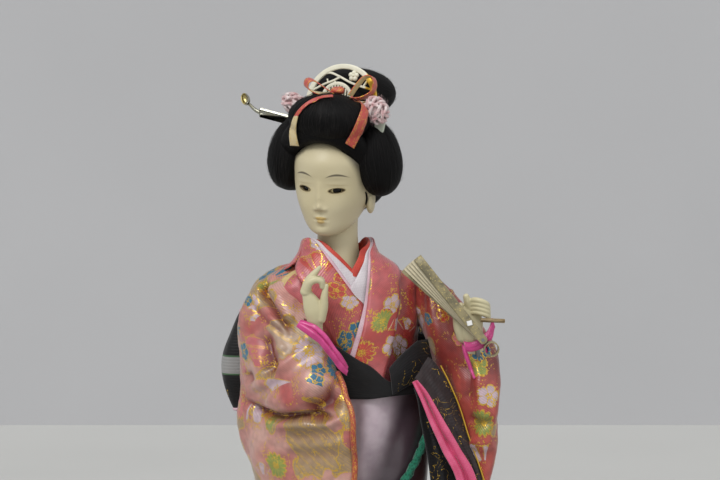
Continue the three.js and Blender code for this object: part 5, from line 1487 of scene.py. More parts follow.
knot = sweep(
    "bow_knot_cloth", knotPoints, [11, 13.5, 14, 13.5, 11], [20, 25, 25.5, 25, 20], [tuple(backward)],
    48 if fine else 30, sides=64, square=2.4, roundEnds=True,
)
crumple(knot, 1.2, 7, 2)
dress(knot, "figure", "black_brocade", blackSilk, "bow_knot")
tailCourse = [(1, bow["middle"] - 8), (7, 232), (6, 195), (10, 145)]
tailPoints = [
    tuple(bowCentre + backward * away + Vector((0, 0, z - bow["middle"]))) for away, z in tailCourse
]
tailRings = []
for k in range(81):
    share = k / 80
    middle = Vector(blendRows(tailPoints, share))
    width = blendRows([[22], [32], [36], [38]], share)[0]
    ring = []
    for i in range(61):
        place = i / 60 - 0.5
        wave = 1.1 * math.sin(place * 9 + 1) * share + 0.8 * math.cos(place * 16 + share * 3)
        ring.append(mm(*(middle - sideways * place * width + backward * wave)))
    tailRings.append(ring)
tail = clothGrid("bow_hanging_end_cloth", tailRings, closed=False)
thicken(tail, 1.2, offset=0)
dress(tail, "figure", "black_brocade", blackSilk, "bow_hanging_end")

# Rose satin that faces the obi's ends, glossy against the black
facingSatin = plainCloth("rose_pink_satin", "#d4577f", "#c04468", 0.34, satinLook, threads=4)
# Strips that hang at the doll's left hip, one of them faced with pink satin. Pairs are the left and right
# edges, in the frame's pixels with a depth; the fold is what stands out of its middle.
ends = {
    "inner": {
        "rows": [
            ((414, 388, -20), (422, 384, -15)), ((418, 402, -22.5), (428, 399, -17)),
            ((422, 425, -24), (436, 423, -18.5)), ((427, 452, -25), (449, 449, -19.5)),
            ((431, 482, -25), (458, 480, -19.5)), ((434, 530, -25), (461, 528, -19.5)),
            ((436, 578, -25), (463, 576, -19.5)),
        ],
        "cloth": blackSilk, "slot": "black_brocade", "fold": 0.8, "flat": (0.0125, 0.088),
    },
    "outer": {
        "rows": [
            ((415, 379, -26), (428, 357, -19)), ((418, 382, -27.5), (434, 362, -20)),
            ((425, 393, -29), (442, 373, -21.5)), ((436, 406, -30), (452, 392, -22.5)),
            ((445, 424, -30.6), (462, 420, -24)), ((459, 450, -31), (473, 446, -26)),
            ((472, 480, -31), (484, 476, -27)), ((478, 530, -31), (490, 528, -27)),
            ((480, 572, -31), (492, 570, -27)),
        ],
        "cloth": blackFigured("grey_black_figured_silk", "#2a2223", 0.5, 31), "slot": "black_brocade",
        "fold": 0.9, "flat": (0.0105, 0.098),
    },
    "facing": {
        "rows": [
            ((412.5, 382, -29.5), (417.5, 380, -29.5)), ((420, 398, -31), (429, 395, -31)),
            ((430.5, 425, -32), (444, 421, -32)), ((443, 452, -32.6), (460, 448, -32.6)),
            ((457, 482, -33), (476, 478, -33)), ((464, 530, -33), (483, 528, -33)),
            ((466, 570, -33), (485, 568, -33)),
        ],
        "cloth": facingSatin, "slot": "pink_satin", "fold": -2.6, "flat": (0.01, 0.088),
    },
}
for name, form in ends.items():

    def foldRise(share, k):
        crease = form["fold"] * math.exp(-(((share - 0.5) / 0.13) ** 2)) * min(1, k / 20)
        return crease + 0.35 * math.sin(share * 8 + k * 0.06)

    hipEnd = edgeStrip(f"obi_end_{name}_cloth", pixelEdges(form["rows"]), 90, 24, foldRise)
    crumple(hipEnd, 0.4, 8, 5)
    thicken(hipEnd, 0.8, offset=0)
    dress(hipEnd, "figure", form["slot"], form["cloth"], f"obi_end_{name}")
# Couched gold thread along an edge: a warm glint
goldThread = newMaterial("gold_thread_edging", dyes["gold"], 0.35, {"Metallic": 0.7})[0]
edging = [
    (441, 366, -22.8), (450, 384, -24), (460, 408, -25.4), (468, 434, -27.2), (478, 462, -28.6),
    (484.6, 482, -29),
]
course = [atPixel(*point) for point in edging]
piping = tube("obi_end_gold_edging", course, [0.4, 0.4], 60, 6)
dress(piping, "figure", "gold_red_ribbon", goldThread)
print("Bow and hanging ends ready")

# Cuffs: the satin lining turned out in front of each wrist. Pairs are its upper and lower edge, in the
# frame's pixels with a depth; the crease runs along it, at a share of its width.
cuffs = {
    "right": {
        "rows": [
            ((301, 320.5, -34.5), (296.5, 326.5, -34.5)), ((309, 322.5, -36.5), (301, 329.5, -36)),
            ((317, 326, -38.5), (309, 335.5, -38)), ((326, 334.5, -39.5), (320, 344.5, -39)),
            ((335.5, 347.5, -39), (331, 358, -38.4)), ((342, 357.5, -37.4), (339, 368.5, -37)),
            ((347.5, 366.5, -35.5), (347, 375, -35.5)),
        ],
        "crease": 0.42, "depth": 1.3, "flat": (0.01, 0.026),
    },
    "left": {
        "rows": [
            ((463.5, 341.5, -32.6), (466, 351.5, -32.6)), ((471, 342.5, -32.8), (473, 351.5, -32.8)),
            ((480, 338.5, -33), (482.5, 347.5, -33)), ((487.5, 331, -33), (490.5, 339.5, -33)),
            ((492.5, 318, -31.5), (495, 327, -31.5)),
        ],
        "crease": 0.6, "depth": 0.3, "flat": (0.01, 0.012),
    },
}
for side, form in cuffs.items():

    def cuffRise(share, k):
        crease = math.exp(-((share - form["crease"]) / 0.09) ** 2) * min(1, k / 30)
        return 0.9 * math.sin(math.pi * share) - form["depth"] * crease

    cuffBand = edgeStrip(f"sleeve_{side}_cuff_band", pixelEdges(form["rows"]), 90, 16, cuffRise)
    crumple(cuffBand, 0.7, 5, 3)
    thicken(cuffBand, 0.7, offset=0)
    dress(cuffBand, "figure", "pink_satin", pinkSatin)

# Arms of wound cotton, inside the sleeves
# Cotton wadding: off-white, with no gleam at all
cotton, tree, shader = newMaterial("wound_cotton_wadding", "#d9d3c4", 0.95, {"Sheen Weight": 0.2})
cloth = addNode(tree, "UVMap", uv_map="cloth")
fibres = addNode(tree, "TexNoise", {"Vector": cloth, "Scale": 0.9, "Detail": 5})
shade = addNode(tree, "MapRange", {0: fibres, 1: 0.3, 2: 0.7, 3: 0.8, 4: 1.05})
tint = addNode(tree, "Mix", {0: 1, 6: "#d9d3c4", 7: shade}, **multiplied)
tree.links.new(tint, shader.inputs["Base Color"])
bump = addNode(tree, "Bump", {"Height": fibres, "Strength": 0.6, "Distance": 0.0004})
tree.links.new(bump, shader.inputs["Normal"])
arms = {
    "right": (
        [(-40, 1, 301), (-46, -2, 284), (-46, -7, 272), (-36, -19, 275), (-29, -27, 278)],
        [5, 4.6, 4, 3.4, 3.2],
    ),
    "left": (
        [(22, 6, 303), (36, 4, 290), (45, -2, 270), (46, -13, 266), (46.5, -22, 268)], [5, 5, 4.4, 3.8, 3.4]
    ),
}
wireCourse = arms["right"][0][1:] + [(-26, -28.5, 281), atPixel(316, 334, -30), atPixel(315.4, 326, -32)]
wire = tube("arm_wire_right_steel", wireCourse, [0.8, 0.8], 60, 16)
dress(wire, "figure", "steel_wire", steel, "arm_wire_right")
for side, (course, radii) in arms.items():
    doubled = [2 * r for r in radii]
    rings = sweepRings(course, doubled, doubled, [(0.1, -0.2, 1)], 150, sides=20, roundEnds=True)
    for k, ring in enumerate(rings):
        middle = sum(ring, Vector()) / len(ring)
        swell = 1 + 0.035 * math.sin(k * 1.9) + 0.02 * math.sin(k * 0.53)
        ring[:] = [middle + (p - middle) * swell for p in ring]
    arm = clothGrid(f"arm_winding_{side}", rings, caps=True)
    dress(arm, "figure", "cotton", cotton, f"arm_padding_{side}")

# Moulded skin: warm ivory vinyl with a soft shine; the face is painted in the head's own millimetres
headTurn = Matrix.Rotation(math.radians(-22), 3, "Z") @ Matrix.Rotation(math.radians(10), 3, "X")
headTurn = headTurn @ Matrix.Rotation(math.radians(4), 3, "Y")
headCentre = Vector((-14.5, -5, 354.6))


def inHead(x, y, z):
    return tuple(headTurn @ Vector((x, y, z)) + headCentre)


def skinMaterial(name, colour, shadeColour):
    material, tree, shader = newMaterial(name, colour, 0.42, {"Specular IOR Level": 0.4, "IOR": 1.46})
    place = addNode(tree, "TexCoord", out=3)
    broad = addNode(tree, "TexNoise", {"Vector": place, "Scale": 60, "Detail": 2})
    blush = addNode(tree, "MapRange", {0: broad, 1: 0.35, 2: 0.75, 3: 0.0, 4: 0.35})
    tint = addNode(tree, "Mix", {0: blush, 6: colour, 7: shadeColour}, **blended)
    grain = addNode(tree, "TexNoise", {"Vector": place, "Scale": 900, "Detail": 2})
    bump = addNode(tree, "Bump", {"Height": grain, "Strength": 0.06, "Distance": 0.0003})
    tree.links.new(bump, shader.inputs["Normal"])
    tree.links.new(tint, shader.inputs["Base Color"])
    return material, tree, shader, tint


def headPlace(tree):
    place = addNode(tree, "TexCoord", out=3)
    centre = tuple(mm(*headCentre))
    sockets = {0: place, 1: centre, 2: tuple(headTurn.to_euler("XYZ")), 3: (0.001, 0.001, 0.001)}
    return addNode(tree, "Mapping", sockets, vector_type="TEXTURE")


# Paint in soft-edged ellipses: middle, half sizes, lean, where it fades from and to, colour, strength
def paintSpot(tree, colour, x, z, middle, halves, lean, fade, paint, strength):
    dx = addNode(tree, "Math", {0: x, 1: middle[0]}, operation="SUBTRACT")
    dz = addNode(tree, "Math", {0: z, 1: middle[1]}, operation="SUBTRACT")
    pair = addNode(tree, "CombineXYZ", {0: dx, 1: dz})
    turned = addNode(tree, "VectorRotate", {0: pair, 3: math.radians(lean)}, rotation_type="Z_AXIS")
    scaled = addNode(
        tree, "VectorMath", {0: turned, 1: (1 / halves[0], 1 / halves[1], 0)}, operation="MULTIPLY"
    )
    away = addNode(tree, "VectorMath", {0: scaled}, out=1, operation="LENGTH")
    share = addNode(
        tree, "MapRange", {0: away, 1: fade[0], 2: fade[1], 3: strength, 4: 0},
        interpolation_type="SMOOTHSTEP",
    )
    return addNode(tree, "Mix", {0: share, 6: colour, 7: paint}, **blended)


face = {
    "skin": "#c7bc9b", "shade": "#bdaf85", "hairline": "#3b3833", "brow": "#5f5849", "rim": "#4a3715",
    "lid": "#a78f5c", "lip": "#bfa05a", "lipLine": "#97753a", "nostril": "#86704a",
    "eyeX": 7.5, "eyeZ": -4, "eyeHalf": 3.25, "upper": 1.15, "lower": 0.95, "eyeLean": 4,
}
faceSkin, tree, shader, tint = skinMaterial("moulded_face_vinyl", face["skin"], face["shade"])
local = addNode(tree, "SeparateXYZ", {0: headPlace(tree)}, out=None)
x, y, z = local.outputs[0], local.outputs[1], local.outputs[2]
aside = addNode(tree, "Math", {0: x}, operation="ABSOLUTE")
facePaint = [
    # shade, lid and rim of both eyes
    (aside, (7.6, -4), (4.6, 2.1), 0, (0.7, 1.2), "shade", 0.5),
    (aside, (7.6, -1.4), (3.8, 0.3), 4, (0.3, 1.6), "lid", 0.3),
    (aside, (7.5, -3.9), (3.5, 1.3), -face["eyeLean"], (0.9, 1.1), "rim", 0.8),
    # shade under nose and mouth, then both lips and the line between them
    (x, (0.6, -12.9), (2.3, 0.5), 0, (0.2, 1.3), "nostril", 0.3),
    (x, (0.8, -20), (2.3, 0.7), 0, (0.2, 1.4), "nostril", 0.3),
    (x, (0.8, -16.4), (2.7, 0.8), 0, (0.75, 1.15), "lip", 0.85),
    (x, (0.8, -17.9), (1.9, 0.95), 0, (0.7, 1.15), "lip", 0.75),
    (x, (0.8, -17.05), (2.6, 0.22), 0, (0.5, 1.3), "lipLine", 0.75),
]
for sideway, *spot, paint, strength in facePaint:
    tint = paintSpot(tree, tint, sideway, z, *spot, face[paint], strength)
# Brows are thin bows that taper to both ends
off = addNode(tree, "Math", {0: aside, 1: 7.8}, operation="SUBTRACT")
run = addNode(tree, "Math", {0: off, 1: 4.7}, operation="DIVIDE")
run2 = addNode(tree, "Math", {0: run, 1: run}, operation="MULTIPLY")
browLine = addNode(tree, "Math", {0: run2, 1: -1.35, 2: 3.15}, operation="MULTIPLY_ADD")
above = addNode(tree, "Math", {0: z, 1: browLine}, operation="SUBTRACT")
above = addNode(tree, "Math", {0: above}, operation="ABSOLUTE")
thick = addNode(tree, "Math", {0: run2, 1: -0.5, 2: 0.56}, operation="MULTIPLY_ADD")
edge = addNode(tree, "Math", {0: thick, 1: above}, operation="SUBTRACT")
brow = addNode(tree, "MapRange", {0: edge, 1: -0.12, 2: 0.3, 3: 0, 4: 0.95}, interpolation_type="SMOOTHSTEP")
onFront = addNode(tree, "Math", {0: y, 1: -6}, operation="LESS_THAN")
brow = addNode(tree, "Math", {0: brow, 1: onFront}, operation="MULTIPLY")
tint = addNode(tree, "Mix", {0: brow, 6: tint, 7: face["brow"]}, **blended)
# A soft dark haze along the hairline, on the upper half of the face
oval = addNode(tree, "CombineXYZ", {0: x, 1: z})
oval = addNode(tree, "VectorMath", {0: oval, 1: (0.2, 2.2, 0)}, operation="ADD")
oval = addNode(tree, "VectorMath", {0: oval, 1: (1 / 16.6, 1 / 19.0, 0)}, operation="MULTIPLY")
oval = addNode(tree, "VectorMath", {0: oval}, out=1, operation="LENGTH")
haze = addNode(tree, "MapRange", {0: oval, 1: 0.88, 2: 1.04, 3: 0, 4: 0.85}, interpolation_type="SMOOTHSTEP")
upperHalf = addNode(tree, "MapRange", {0: z, 1: -7, 2: 0}, interpolation_type="SMOOTHSTEP")
haze = addNode(tree, "Math", {0: haze, 1: upperHalf}, operation="MULTIPLY")
tint = addNode(tree, "Mix", {0: haze, 6: tint, 7: face["hairline"]}, **blended)
tree.links.new(tint, shader.inputs["Base Color"])

# Head: a loft whose face is modelled by swellings and hollows, then cast in one with the ears and neck
headRows = [
    [-25.5, 0.4, -13, 4.2, 4, 0], [-23.7, 0.4, -12, 7.6, 7.6, 0], [-20.6, 0.3, -9, 10.8, 12, 0],
    [-15, 0, -5, 14, 16.8, 0], [-8, 0, -2, 17.3, 20, 0], [0, 0, 0, 18.7, 22, 0],
    [8, 0, 0.5, 18.6, 22.5, 0], [14, 0, 1, 15.5, 19, 0], [17, 0, 1, 11.5, 15, 0], [19, 0, 1, 5, 7, 0],
]
# Each is: middle x and z, half sizes, height; those off the middle line are made on both sides.
faceForms = [
    (7.5, -3.2, 4.6, 2.6, -0.75), (7.6, -1.2, 3.6, 1.1, 0.3), (7.5, -4, 3.6, 1.6, 0.5),
    (7.4, 2.6, 5, 1.6, 0.3), (8, -12, 5.5, 4.5, 0.6), (2.3, -12.2, 0.95, 0.9, 0.75),
    (1.2, -16.2, 1.3, 0.75, 0.7), (2.8, -17.1, 0.7, 0.6, -0.3),
]
middleForms = [
    (0.2, -3.5, 1.5, 3.4, 0.7), (0.4, -8, 1.6, 3, 1.3), (0.6, -11.4, 1.7, 1.7, 1.9),
    (0.6, -13.7, 2.4, 0.8, -0.25), (0.8, -17.9, 1.7, 0.85, 1.0), (0.8, -17.05, 2.4, 0.28, -0.35),
    (0.8, -19.9, 2.2, 0.9, -0.35), (0.4, -23.2, 3.4, 2.2, 1.0), (0.7, -14.6, 0.6, 0.9, -0.25),
    (0, 8, 9, 6, 0.3),
]


def faceSwell(x, z):
    swell = 0
    for cx, cz, hx, hz, height in middleForms:
        swell += height * math.exp(-((x - cx) / hx) ** 2 - ((z - cz) / hz) ** 2)
    for cx, cz, hx, hz, height in faceForms:
        for side in (-1, 1):
            shift = 0.7 if cz < -11.5 and cx < 4 else 0
            swell += height * math.exp(-((x - shift - side * cx) / hx) ** 2 - ((z - cz) / hz) ** 2)
    return swell


# A ball of these half sizes; place puts each of its points into the scene
def ellipsoid(name, centre, halves, place, levels=20, sides=32):
    rings = []
    for k in range(1, levels):
        polar = math.pi * k / levels
        ring = []
        for i in range(sides):
            a = 2 * math.pi * i / sides
            p = (math.sin(polar) * math.cos(a), math.sin(polar) * math.sin(a), -math.cos(polar))
            ring.append(mm(*place(*(c + h * v for c, h, v in zip(centre, halves, p)))))
        rings.append(ring)
    return clothGrid(name, rings, caps=True)


levels, sides = (150, 220) if fine else (90, 130)
rings = []
for k in range(levels + 1):
    level, cx, cy, halfAcross, halfDeep, _ = blendRows(headRows, k / levels)
    ring = []
    for i in range(sides):
        angle = math.pi / 2 + 2 * math.pi * i / sides
        px, py = cx + halfAcross * math.cos(angle), cy + halfDeep * math.sin(angle)
        front = max(0, -math.sin(angle))
        swell = faceSwell(px, level) * min(1, 2 * front)
        ring.append(mm(*inHead(px, py - swell, level)))
    rings.append(ring)
skull = clothGrid("head_cast", rings, caps=True)
ears = []
for side in (-1, 1):
    lean = Matrix.Rotation(math.radians(side * 14), 3, "Z") @ Matrix.Rotation(math.radians(-8), 3, "X")
    earMiddle = Vector((side * 16.6, -1.8 if side > 0 else 3, -10.4))

    def onEar(x, y, z):
        hollow = math.exp(-(((y + 0.4) / 1.7) ** 2) - ((z - 0.8) / 3.4) ** 2) if x * side > 0 else 0
        return inHead(*(lean @ Vector((x - side * 1.3 * hollow, y, z)) + earMiddle))

    ears.append(ellipsoid(f"ear_{side}", (0, 0, 0), (2.3, 4.4, 6.6), onEar, 24, 36))
neckSizes = (
    (278, 4), (299, 4), (300, 12.2), (306, 12.5), (310, 11.6), (316, 10.2), (322, 9.3), (330, 9), (340, 9.4),
)
neckRows = [[z, neck["x"], neck["y"], radius, radius, 0] for z, radius in neckSizes]
throat = clothGrid(
    "neck", [levelRing(row, 0, 90) for row in neckRows[:3]] + levelRings(neckRows[3:], 0, 40, 90), caps=True
)
headCast = castTogether([skull, *ears, throat], 0.36 if fine else 0.6, 2)


def almond(side, depthFrom, depthTo):
    c, s = math.cos(math.radians(face["eyeLean"])), math.sin(math.radians(face["eyeLean"]))
    outline = []
    count = 18
    for k in range(2 * count):
        t = -1 + 2 * (k % count) / count
        t = t if k < count else -t
        e = t * face["eyeHalf"]
        arc = (1 - t * t) ** 0.85
        h = face["upper"] * arc if k < count else -face["lower"] * arc
        outline.append((side * (face["eyeX"] + e * c - h * s), face["eyeZ"] + e * s + h * c))
    rings = [[mm(*inHead(px, depth, pz)) for px, pz in outline] for depth in (depthFrom, depthTo)]
    piece = clothGrid(f"almond_{side}", rings, caps=True)
    applyEdit(piece)
    return piece


def eyeball(name, side, extra):
    turned = Matrix.Rotation(math.radians(side * 31), 3, "Z")
    halves = [half + extra for half in (4.1, 2.4, 3)]
    middle = Vector((side * 6.1, -16.9, -4))
    return ellipsoid(
        name, (0, 0, 0), halves, lambda x, y, z: inHead(*(turned @ Vector((x, y, z)) + middle)), 28, 40
    )


for side in (-1, 1):
    for cutter in (almond(side, -30, -17.5), eyeball("socket", side, 0.15)):
        applyEdit(cutter)
        applyModifier(headCast, "BOOLEAN", operation="DIFFERENCE", object=cutter, solver="EXACT")
        bpy.data.objects.remove(cutter)
headCast.data.shade_smooth()
dress(headCast, "head_and_hair", "skin", faceSkin, "head")

# Glass eyes: black irises in tan whites
glass, tree, shader = newMaterial(
    "painted_glass_eye", "#c2b07e", 0.12,
    {"Specular IOR Level": 0.15, "Coat Weight": 0.15, "Coat Roughness": 0.05},
)
local = addNode(tree, "SeparateXYZ", {0: headPlace(tree)}, out=None)
aside = addNode(tree, "Math", {0: local.outputs[0]}, operation="ABSOLUTE")
height = local.outputs[2]
tint = paintSpot(tree, "#6e5523", aside, height, (7.5, -4), (3.4, 2), 0, (0.6, 1.0), "#cbbb8c", 1)
tint = paintSpot(tree, tint, aside, height, (7.4, -3.9), (1.75, 1.9), 0, (0.86, 1.0), "#0b0a09", 1)
tree.links.new(tint, shader.inputs["Base Color"])
for name, side in (("right", -1), ("left", 1)):
    eye = eyeball(f"eye_{name}_glass", side, 0)
    dress(eye, "head_and_hair", "dark_glass", glass, f"eye_{name}")
print("Head ready")

# Hands, cast like the head; courses follow the pixels that the camera sees, with a depth
handSkin = skinMaterial("moulded_hand_vinyl", "#cbc3a0", "#b3a87f")[0]


def seenCourse(points):
    return [atPixel(*point) for point in points]


def handCast(name, palms, fingers, *nodes):
    parts = []
    for points, widths, walls in palms:
        parts.append(
            sweep("palm", seenCourse(points), widths, walls, ((0.1, -1, 0.05),), 30, sides=24, roundEnds=True)
        )
    for points, radii in fingers:
        parts.append(tube("finger", seenCourse(points), radii, 30, 16, ((0.1, -1, 0.3),)))
    cast = castTogether(parts, 0.25 if fine else 0.36, 2)
    cast.name = name
    dress(cast, "figure", "skin", handSkin, *nodes)


def stepped(points, count, shift):
    return [[tuple(p + s * k for p, s in zip(point, shift)) for point in points] for k in range(count)]


curled = [
    (306, 290, -37), (309.5, 282.8, -38.4), (315.5, 280, -38.9), (321, 281.4, -38.6), (322.2, 287, -37.8)
]
handCast(
    "hand_right_cast",
    [
        (
            [(316, 340, -28), (315.2, 326, -32.5), (315, 314, -34.6), (312, 304.5, -35.4), (307.6, 295, -36)],
            [6.8, 6.6, 8.6, 8, 5], [6.6, 6.2, 6, 5.2, 4.2],
        ),
    ],
    [
        (
            [(305.5, 292, -36.4), (308.6, 281.5, -37), (314, 274, -37.4), (320, 267, -37.8)],
            [2.4, 2, 1.5, 0.8],
        ),
        *[(points, [2, 1.7, 1.5, 1.4, 1.1]) for points in stepped(curled, 3, (0.3, -0.6, 2.6))],
        (
            [(320, 319, -34.4), (323.4, 307, -35.8), (324.4, 296, -36.8), (326, 285.5, -37.4)],
            [2.5, 2.1, 1.6, 1.1],
        ),
    ],
    "hand_right",
)
ridge = [(468.5, 303, -31), (473.5, 300, -35), (480.5, 300.8, -37), (487, 304, -36), (488.6, 308.5, -32.5)]
handCast(
    "hand_left_cast",
    [
        (
            [(474.5, 352, -25), (473, 338, -28.5), (470.5, 324, -30), (470.5, 309, -31)],
            [8.6, 9, 11, 8.6], [8, 7.6, 7, 6],
        ),
    ],
    [
        *[(points, [1.35, 1.2, 1.15, 1.1, 0.9]) for points in stepped(ridge, 4, (0.2, 4.1, 0.3))],
        ([(464, 336, -28), (460.2, 325, -30), (458.6, 315, -31.5), (461, 305, -32.5)], [3.4, 3.1, 2.3, 1.4]),
        ([(470, 308, -32), (467.5, 301, -33.6), (466, 296, -34.4)], [2.1, 1.7, 1.3]),
    ],
    "hand_left",
)
print("Hands ready")

# Fan: brocade-covered guards, paper leaves, a strip rolled up at its end and a bamboo stick
# Grey and gold brocade on the guards, with metal thread in it
guardCloth, tree, shader = newMaterial("grey_gold_fan_brocade", "#8a8060", 0.5, {"Sheen Weight": 0.1})
place = addNode(tree, "TexCoord", out=3)
threads = addNode(tree, "TexNoise", {"Vector": place, "Scale": 1500, "Detail": 2})
blotch = addNode(tree, "TexNoise", {"Vector": place, "Scale": 230, "Detail": 3})
tint = addNode(tree, "MapRange", {0: blotch, 1: 0.4, 2: 0.62})
tint = addNode(tree, "Mix", {0: tint, 6: "#938865", 7: "#6d664f"}, **blended)
glint = addNode(tree, "MapRange", {0: threads, 1: 0.6, 2: 0.68})
tint = addNode(tree, "Mix", {0: glint, 6: tint, 7: "#c2b076"}, **blended)
tree.links.new(tint, shader.inputs["Base Color"])
metal = addNode(tree, "Math", {0: glint, 1: 0.5}, operation="MULTIPLY")
tree.links.new(metal, shader.inputs["Metallic"])
bump = addNode(tree, "Bump", {"Height": threads, "Strength": 0.5, "Distance": 0.0003})
tree.links.new(bump, shader.inputs["Normal"])
# Paper of the leaves: cream and matt, darker in the folds between them as painted shade from an occlusion
# test
paper, tree, shader = newMaterial("cream_fan_paper", "#d8cdae", 0.8, {"Specular IOR Level": 0.2})
place = addNode(tree, "TexCoord", out=3)
fibre = addNode(tree, "TexNoise", {"Vector": place, "Scale": 700, "Detail": 5})
shade = addNode(tree, "MapRange", {0: fibre, 1: 0.3, 2: 0.7, 3: 0.86, 4: 1.04})
tint = addNode(tree, "Mix", {0: 1, 6: "#d8cdae", 7: shade}, **multiplied)
openness = addNode(tree, "AmbientOcclusion", {"Distance": 0.0016}, out=1)
leafShade = addNode(tree, "MapRange", {0: openness, 1: 0.45, 2: 0.95, 3: 0.3, 4: 1})
tint = addNode(tree, "Mix", {0: 1, 6: tint, 7: leafShade}, **multiplied)
tree.links.new(tint, shader.inputs["Base Color"])
bump = addNode(tree, "Bump", {"Height": fibre, "Strength": 0.3, "Distance": 0.0002})
tree.links.new(bump, shader.inputs["Normal"])
# Split bamboo: brown, with straight fibres along the stick
bamboo, tree, shader = newMaterial("split_bamboo", "#8a7450", 0.55, {"Specular IOR Level": 0.35})
place = addNode(tree, "TexCoord", out=3)
stretched = addNode(tree, "VectorMath", {0: place, 1: (160, 1600, 1600)}, operation="MULTIPLY")
grain = addNode(tree, "TexNoise", {"Vector": stretched, "Scale": 1, "Detail": 3})
shade = addNode(tree, "MapRange", {0: grain, 1: 0.35, 2: 0.65})
tint = addNode(tree, "Mix", {0: shade, 6: "#9a8560", 7: "#5d4a2c"}, **blended)
tree.links.new(tint, shader.inputs["Base Color"])
bump = addNode(tree, "Bump", {"Height": grain, "Strength": 0.6, "Distance": 0.0003})
tree.links.new(bump, shader.inputs["Normal"])
paintNode("fan_end_roll", guardCloth)
paintNode("fan_peg", bamboo)
fanForm = {
    "pivot": (48.5, -41, 283),
    "direction": 128.5,  # degrees, of the front guard
    "step": 1.9,  # degrees between neighbouring sticks
    "length": 45.5,
    "width": 3.8,
    "guardWall": 1.2,
    "leafWall": 0.7,
    "gap": 0.2,
}
fanSticks = ["fan_guard_front", "fan_leaf_1", "fan_leaf_2", "fan_leaf_3", "fan_leaf_4", "fan_guard_back"]
fanDepth = 0
for k, node in enumerate(fanSticks):
    wall = fanForm["leafWall"] if "leaf" in node else fanForm["guardWall"]
    turn = math.radians(fanForm["direction"] + k * fanForm["step"])
    along = Vector((math.cos(turn), 0, math.sin(turn)))
    foot = Vector(fanForm["pivot"]) + Vector((0, fanDepth + wall / 2, 0))
    places = [tuple(foot + along * t) for t in (-1.75, -1.2, 0, 8, fanForm["length"])]
    widths = [1.2, 2.8, 3.6, fanForm["width"], fanForm["width"]]
    blade = sweep(node + "_blade", places, widths, [wall], [(0, -1, 0)], 24, sides=24, square=6)
    fanDepth += wall + fanForm["gap"]
    body = "figure" if k == 0 else node
    finish, slotName = (paper, "fan_paper") if "leaf" in node else (guardCloth, "fan_brocade")
    dress(blade, body, slotName, finish, node)
# A square of paper glued to the front guard
tagTurn = math.radians(fanForm["direction"])
tagPlace = Vector(fanForm["pivot"]) + Vector((math.cos(tagTurn) * 9.4, -0.35, math.sin(tagTurn) * 9.4))
# White card of the tag, the brightest spot on the fan
tagPaper = newMaterial("white_tag_paper", "#e9e8e4", 0.8)[0]
tagEnds = [tuple(tagPlace + Vector((x, 0, x * 0.25))) for x in (-1.1, 1.1)]
tag = sweep("fan_paper_tag", tagEnds, [2.1], [0.4], [(0, -1, 0)], 3, sides=24, square=8)
dress(tag, "figure", "fan_paper", tagPaper)
print("Fan ready")

# Hair of dyed silk floss, combed over pads. Each roll is a ball drawn out between two poles, up and down or
# sideways, and its locks run from pole to pole. Middles and half sizes are in the head's millimetres.
dice = random.Random(11)
hairSilk, tree, shader = newMaterial("dyed_silk_floss_hair", "#0a0909", 0.55, {"Specular IOR Level": 0.1})
combed = addNode(tree, "Attribute", out=1, attribute_name="combed")
drawn = addNode(tree, "VectorMath", {0: combed, 1: (1, 1, 0.05)}, operation="MULTIPLY")
fibres = addNode(tree, "TexNoise", {"Vector": drawn, "Scale": 3.2, "Detail": 3, "Roughness": 0.7})
shade = addNode(tree, "MapRange", {0: fibres, 1: 0.3, 2: 0.75, 3: 0.5, 4: 1.7})
tint = addNode(tree, "Mix", {0: 1, 6: "#0b0a0a", 7: shade}, **multiplied)
dusty = addNode(tree, "TexNoise", {"Vector": drawn, "Scale": 0.25, "Detail": 2})
paler = addNode(tree, "MapRange", {0: dusty, 1: 0.5, 2: 0.72, 3: 0, 4: 0.6})
bleached = addNode(tree, "MapRange", {0: fibres, 1: 0.5, 2: 0.68})
grey = addNode(tree, "Math", {0: paler, 1: bleached}, operation="MULTIPLY")
tint = addNode(tree, "Mix", {0: grey, 6: tint, 7: "#33302f"}, **blended)
tree.links.new(tint, shader.inputs["Base Color"])
bump = addNode(tree, "Bump", {"Height": fibres, "Strength": 0.55, "Distance": 0.0003})
tree.links.new(bump, shader.inputs["Normal"])
# Single fibres that stand off the floss catch more light than the mass
looseHair = newMaterial("loose_floss_fibre", "#1d1b1a", 0.5, {"Specular IOR Level": 0.3})[0]
rolls = {
    "hair_front": {
        "middle": (0.8, -11.6, 26.4), "halves": (18.5, 13, 10.9), "taper": 0, "lean": 0, "seed": 3,
        "fibres": 170,
    },
    "hair_side_right": {
        "middle": (-21, 0, 7.4), "halves": (11, 15, 17.2), "taper": 0.12, "lean": 7, "seed": 9, "fibres": 100
    },
    "hair_side_left": {
        "middle": (19.8, -1, 8), "halves": (10, 13, 17), "taper": 0.1, "lean": -8, "seed": 15, "fibres": 150
    },
    "hair_back": {
        "middle": (0, 16, 1), "halves": (19, 13, 22), "taper": 0, "lean": 0, "seed": 21, "fibres": 120
    },
    "hair_topknot": {
        "middle": (1, 17, 33.2), "halves": (19.4, 16, 11.2), "taper": 0, "lean": 0, "seed": 27, "fibres": 120
    },
}


def rollPoint(form, a, polar, lift=0):
    across, deep, tall = form["halves"]
    place = Vector((math.cos(a) * 8, math.sin(a) * 8, polar * 1.1 + form["seed"]))
    lock = noise.noise(place) + 0.6 * noise.noise(place * 2.9)
    reach = math.sin(polar) * (1 + form["taper"] * math.cos(polar)) * (1 + 0.013 * lock)
    if form is rolls["hair_topknot"]:
        point = Vector((-across * math.cos(polar), deep * reach * math.sin(a), tall * reach * math.cos(a)))
    else:
        point = Vector((across * reach * math.cos(a), deep * reach * math.sin(a), -tall * math.cos(polar)))
    point *= 1 + lift / point.length
    return inHead(*(Matrix.Rotation(math.radians(form["lean"]), 3, "Y") @ point + Vector(form["middle"])))


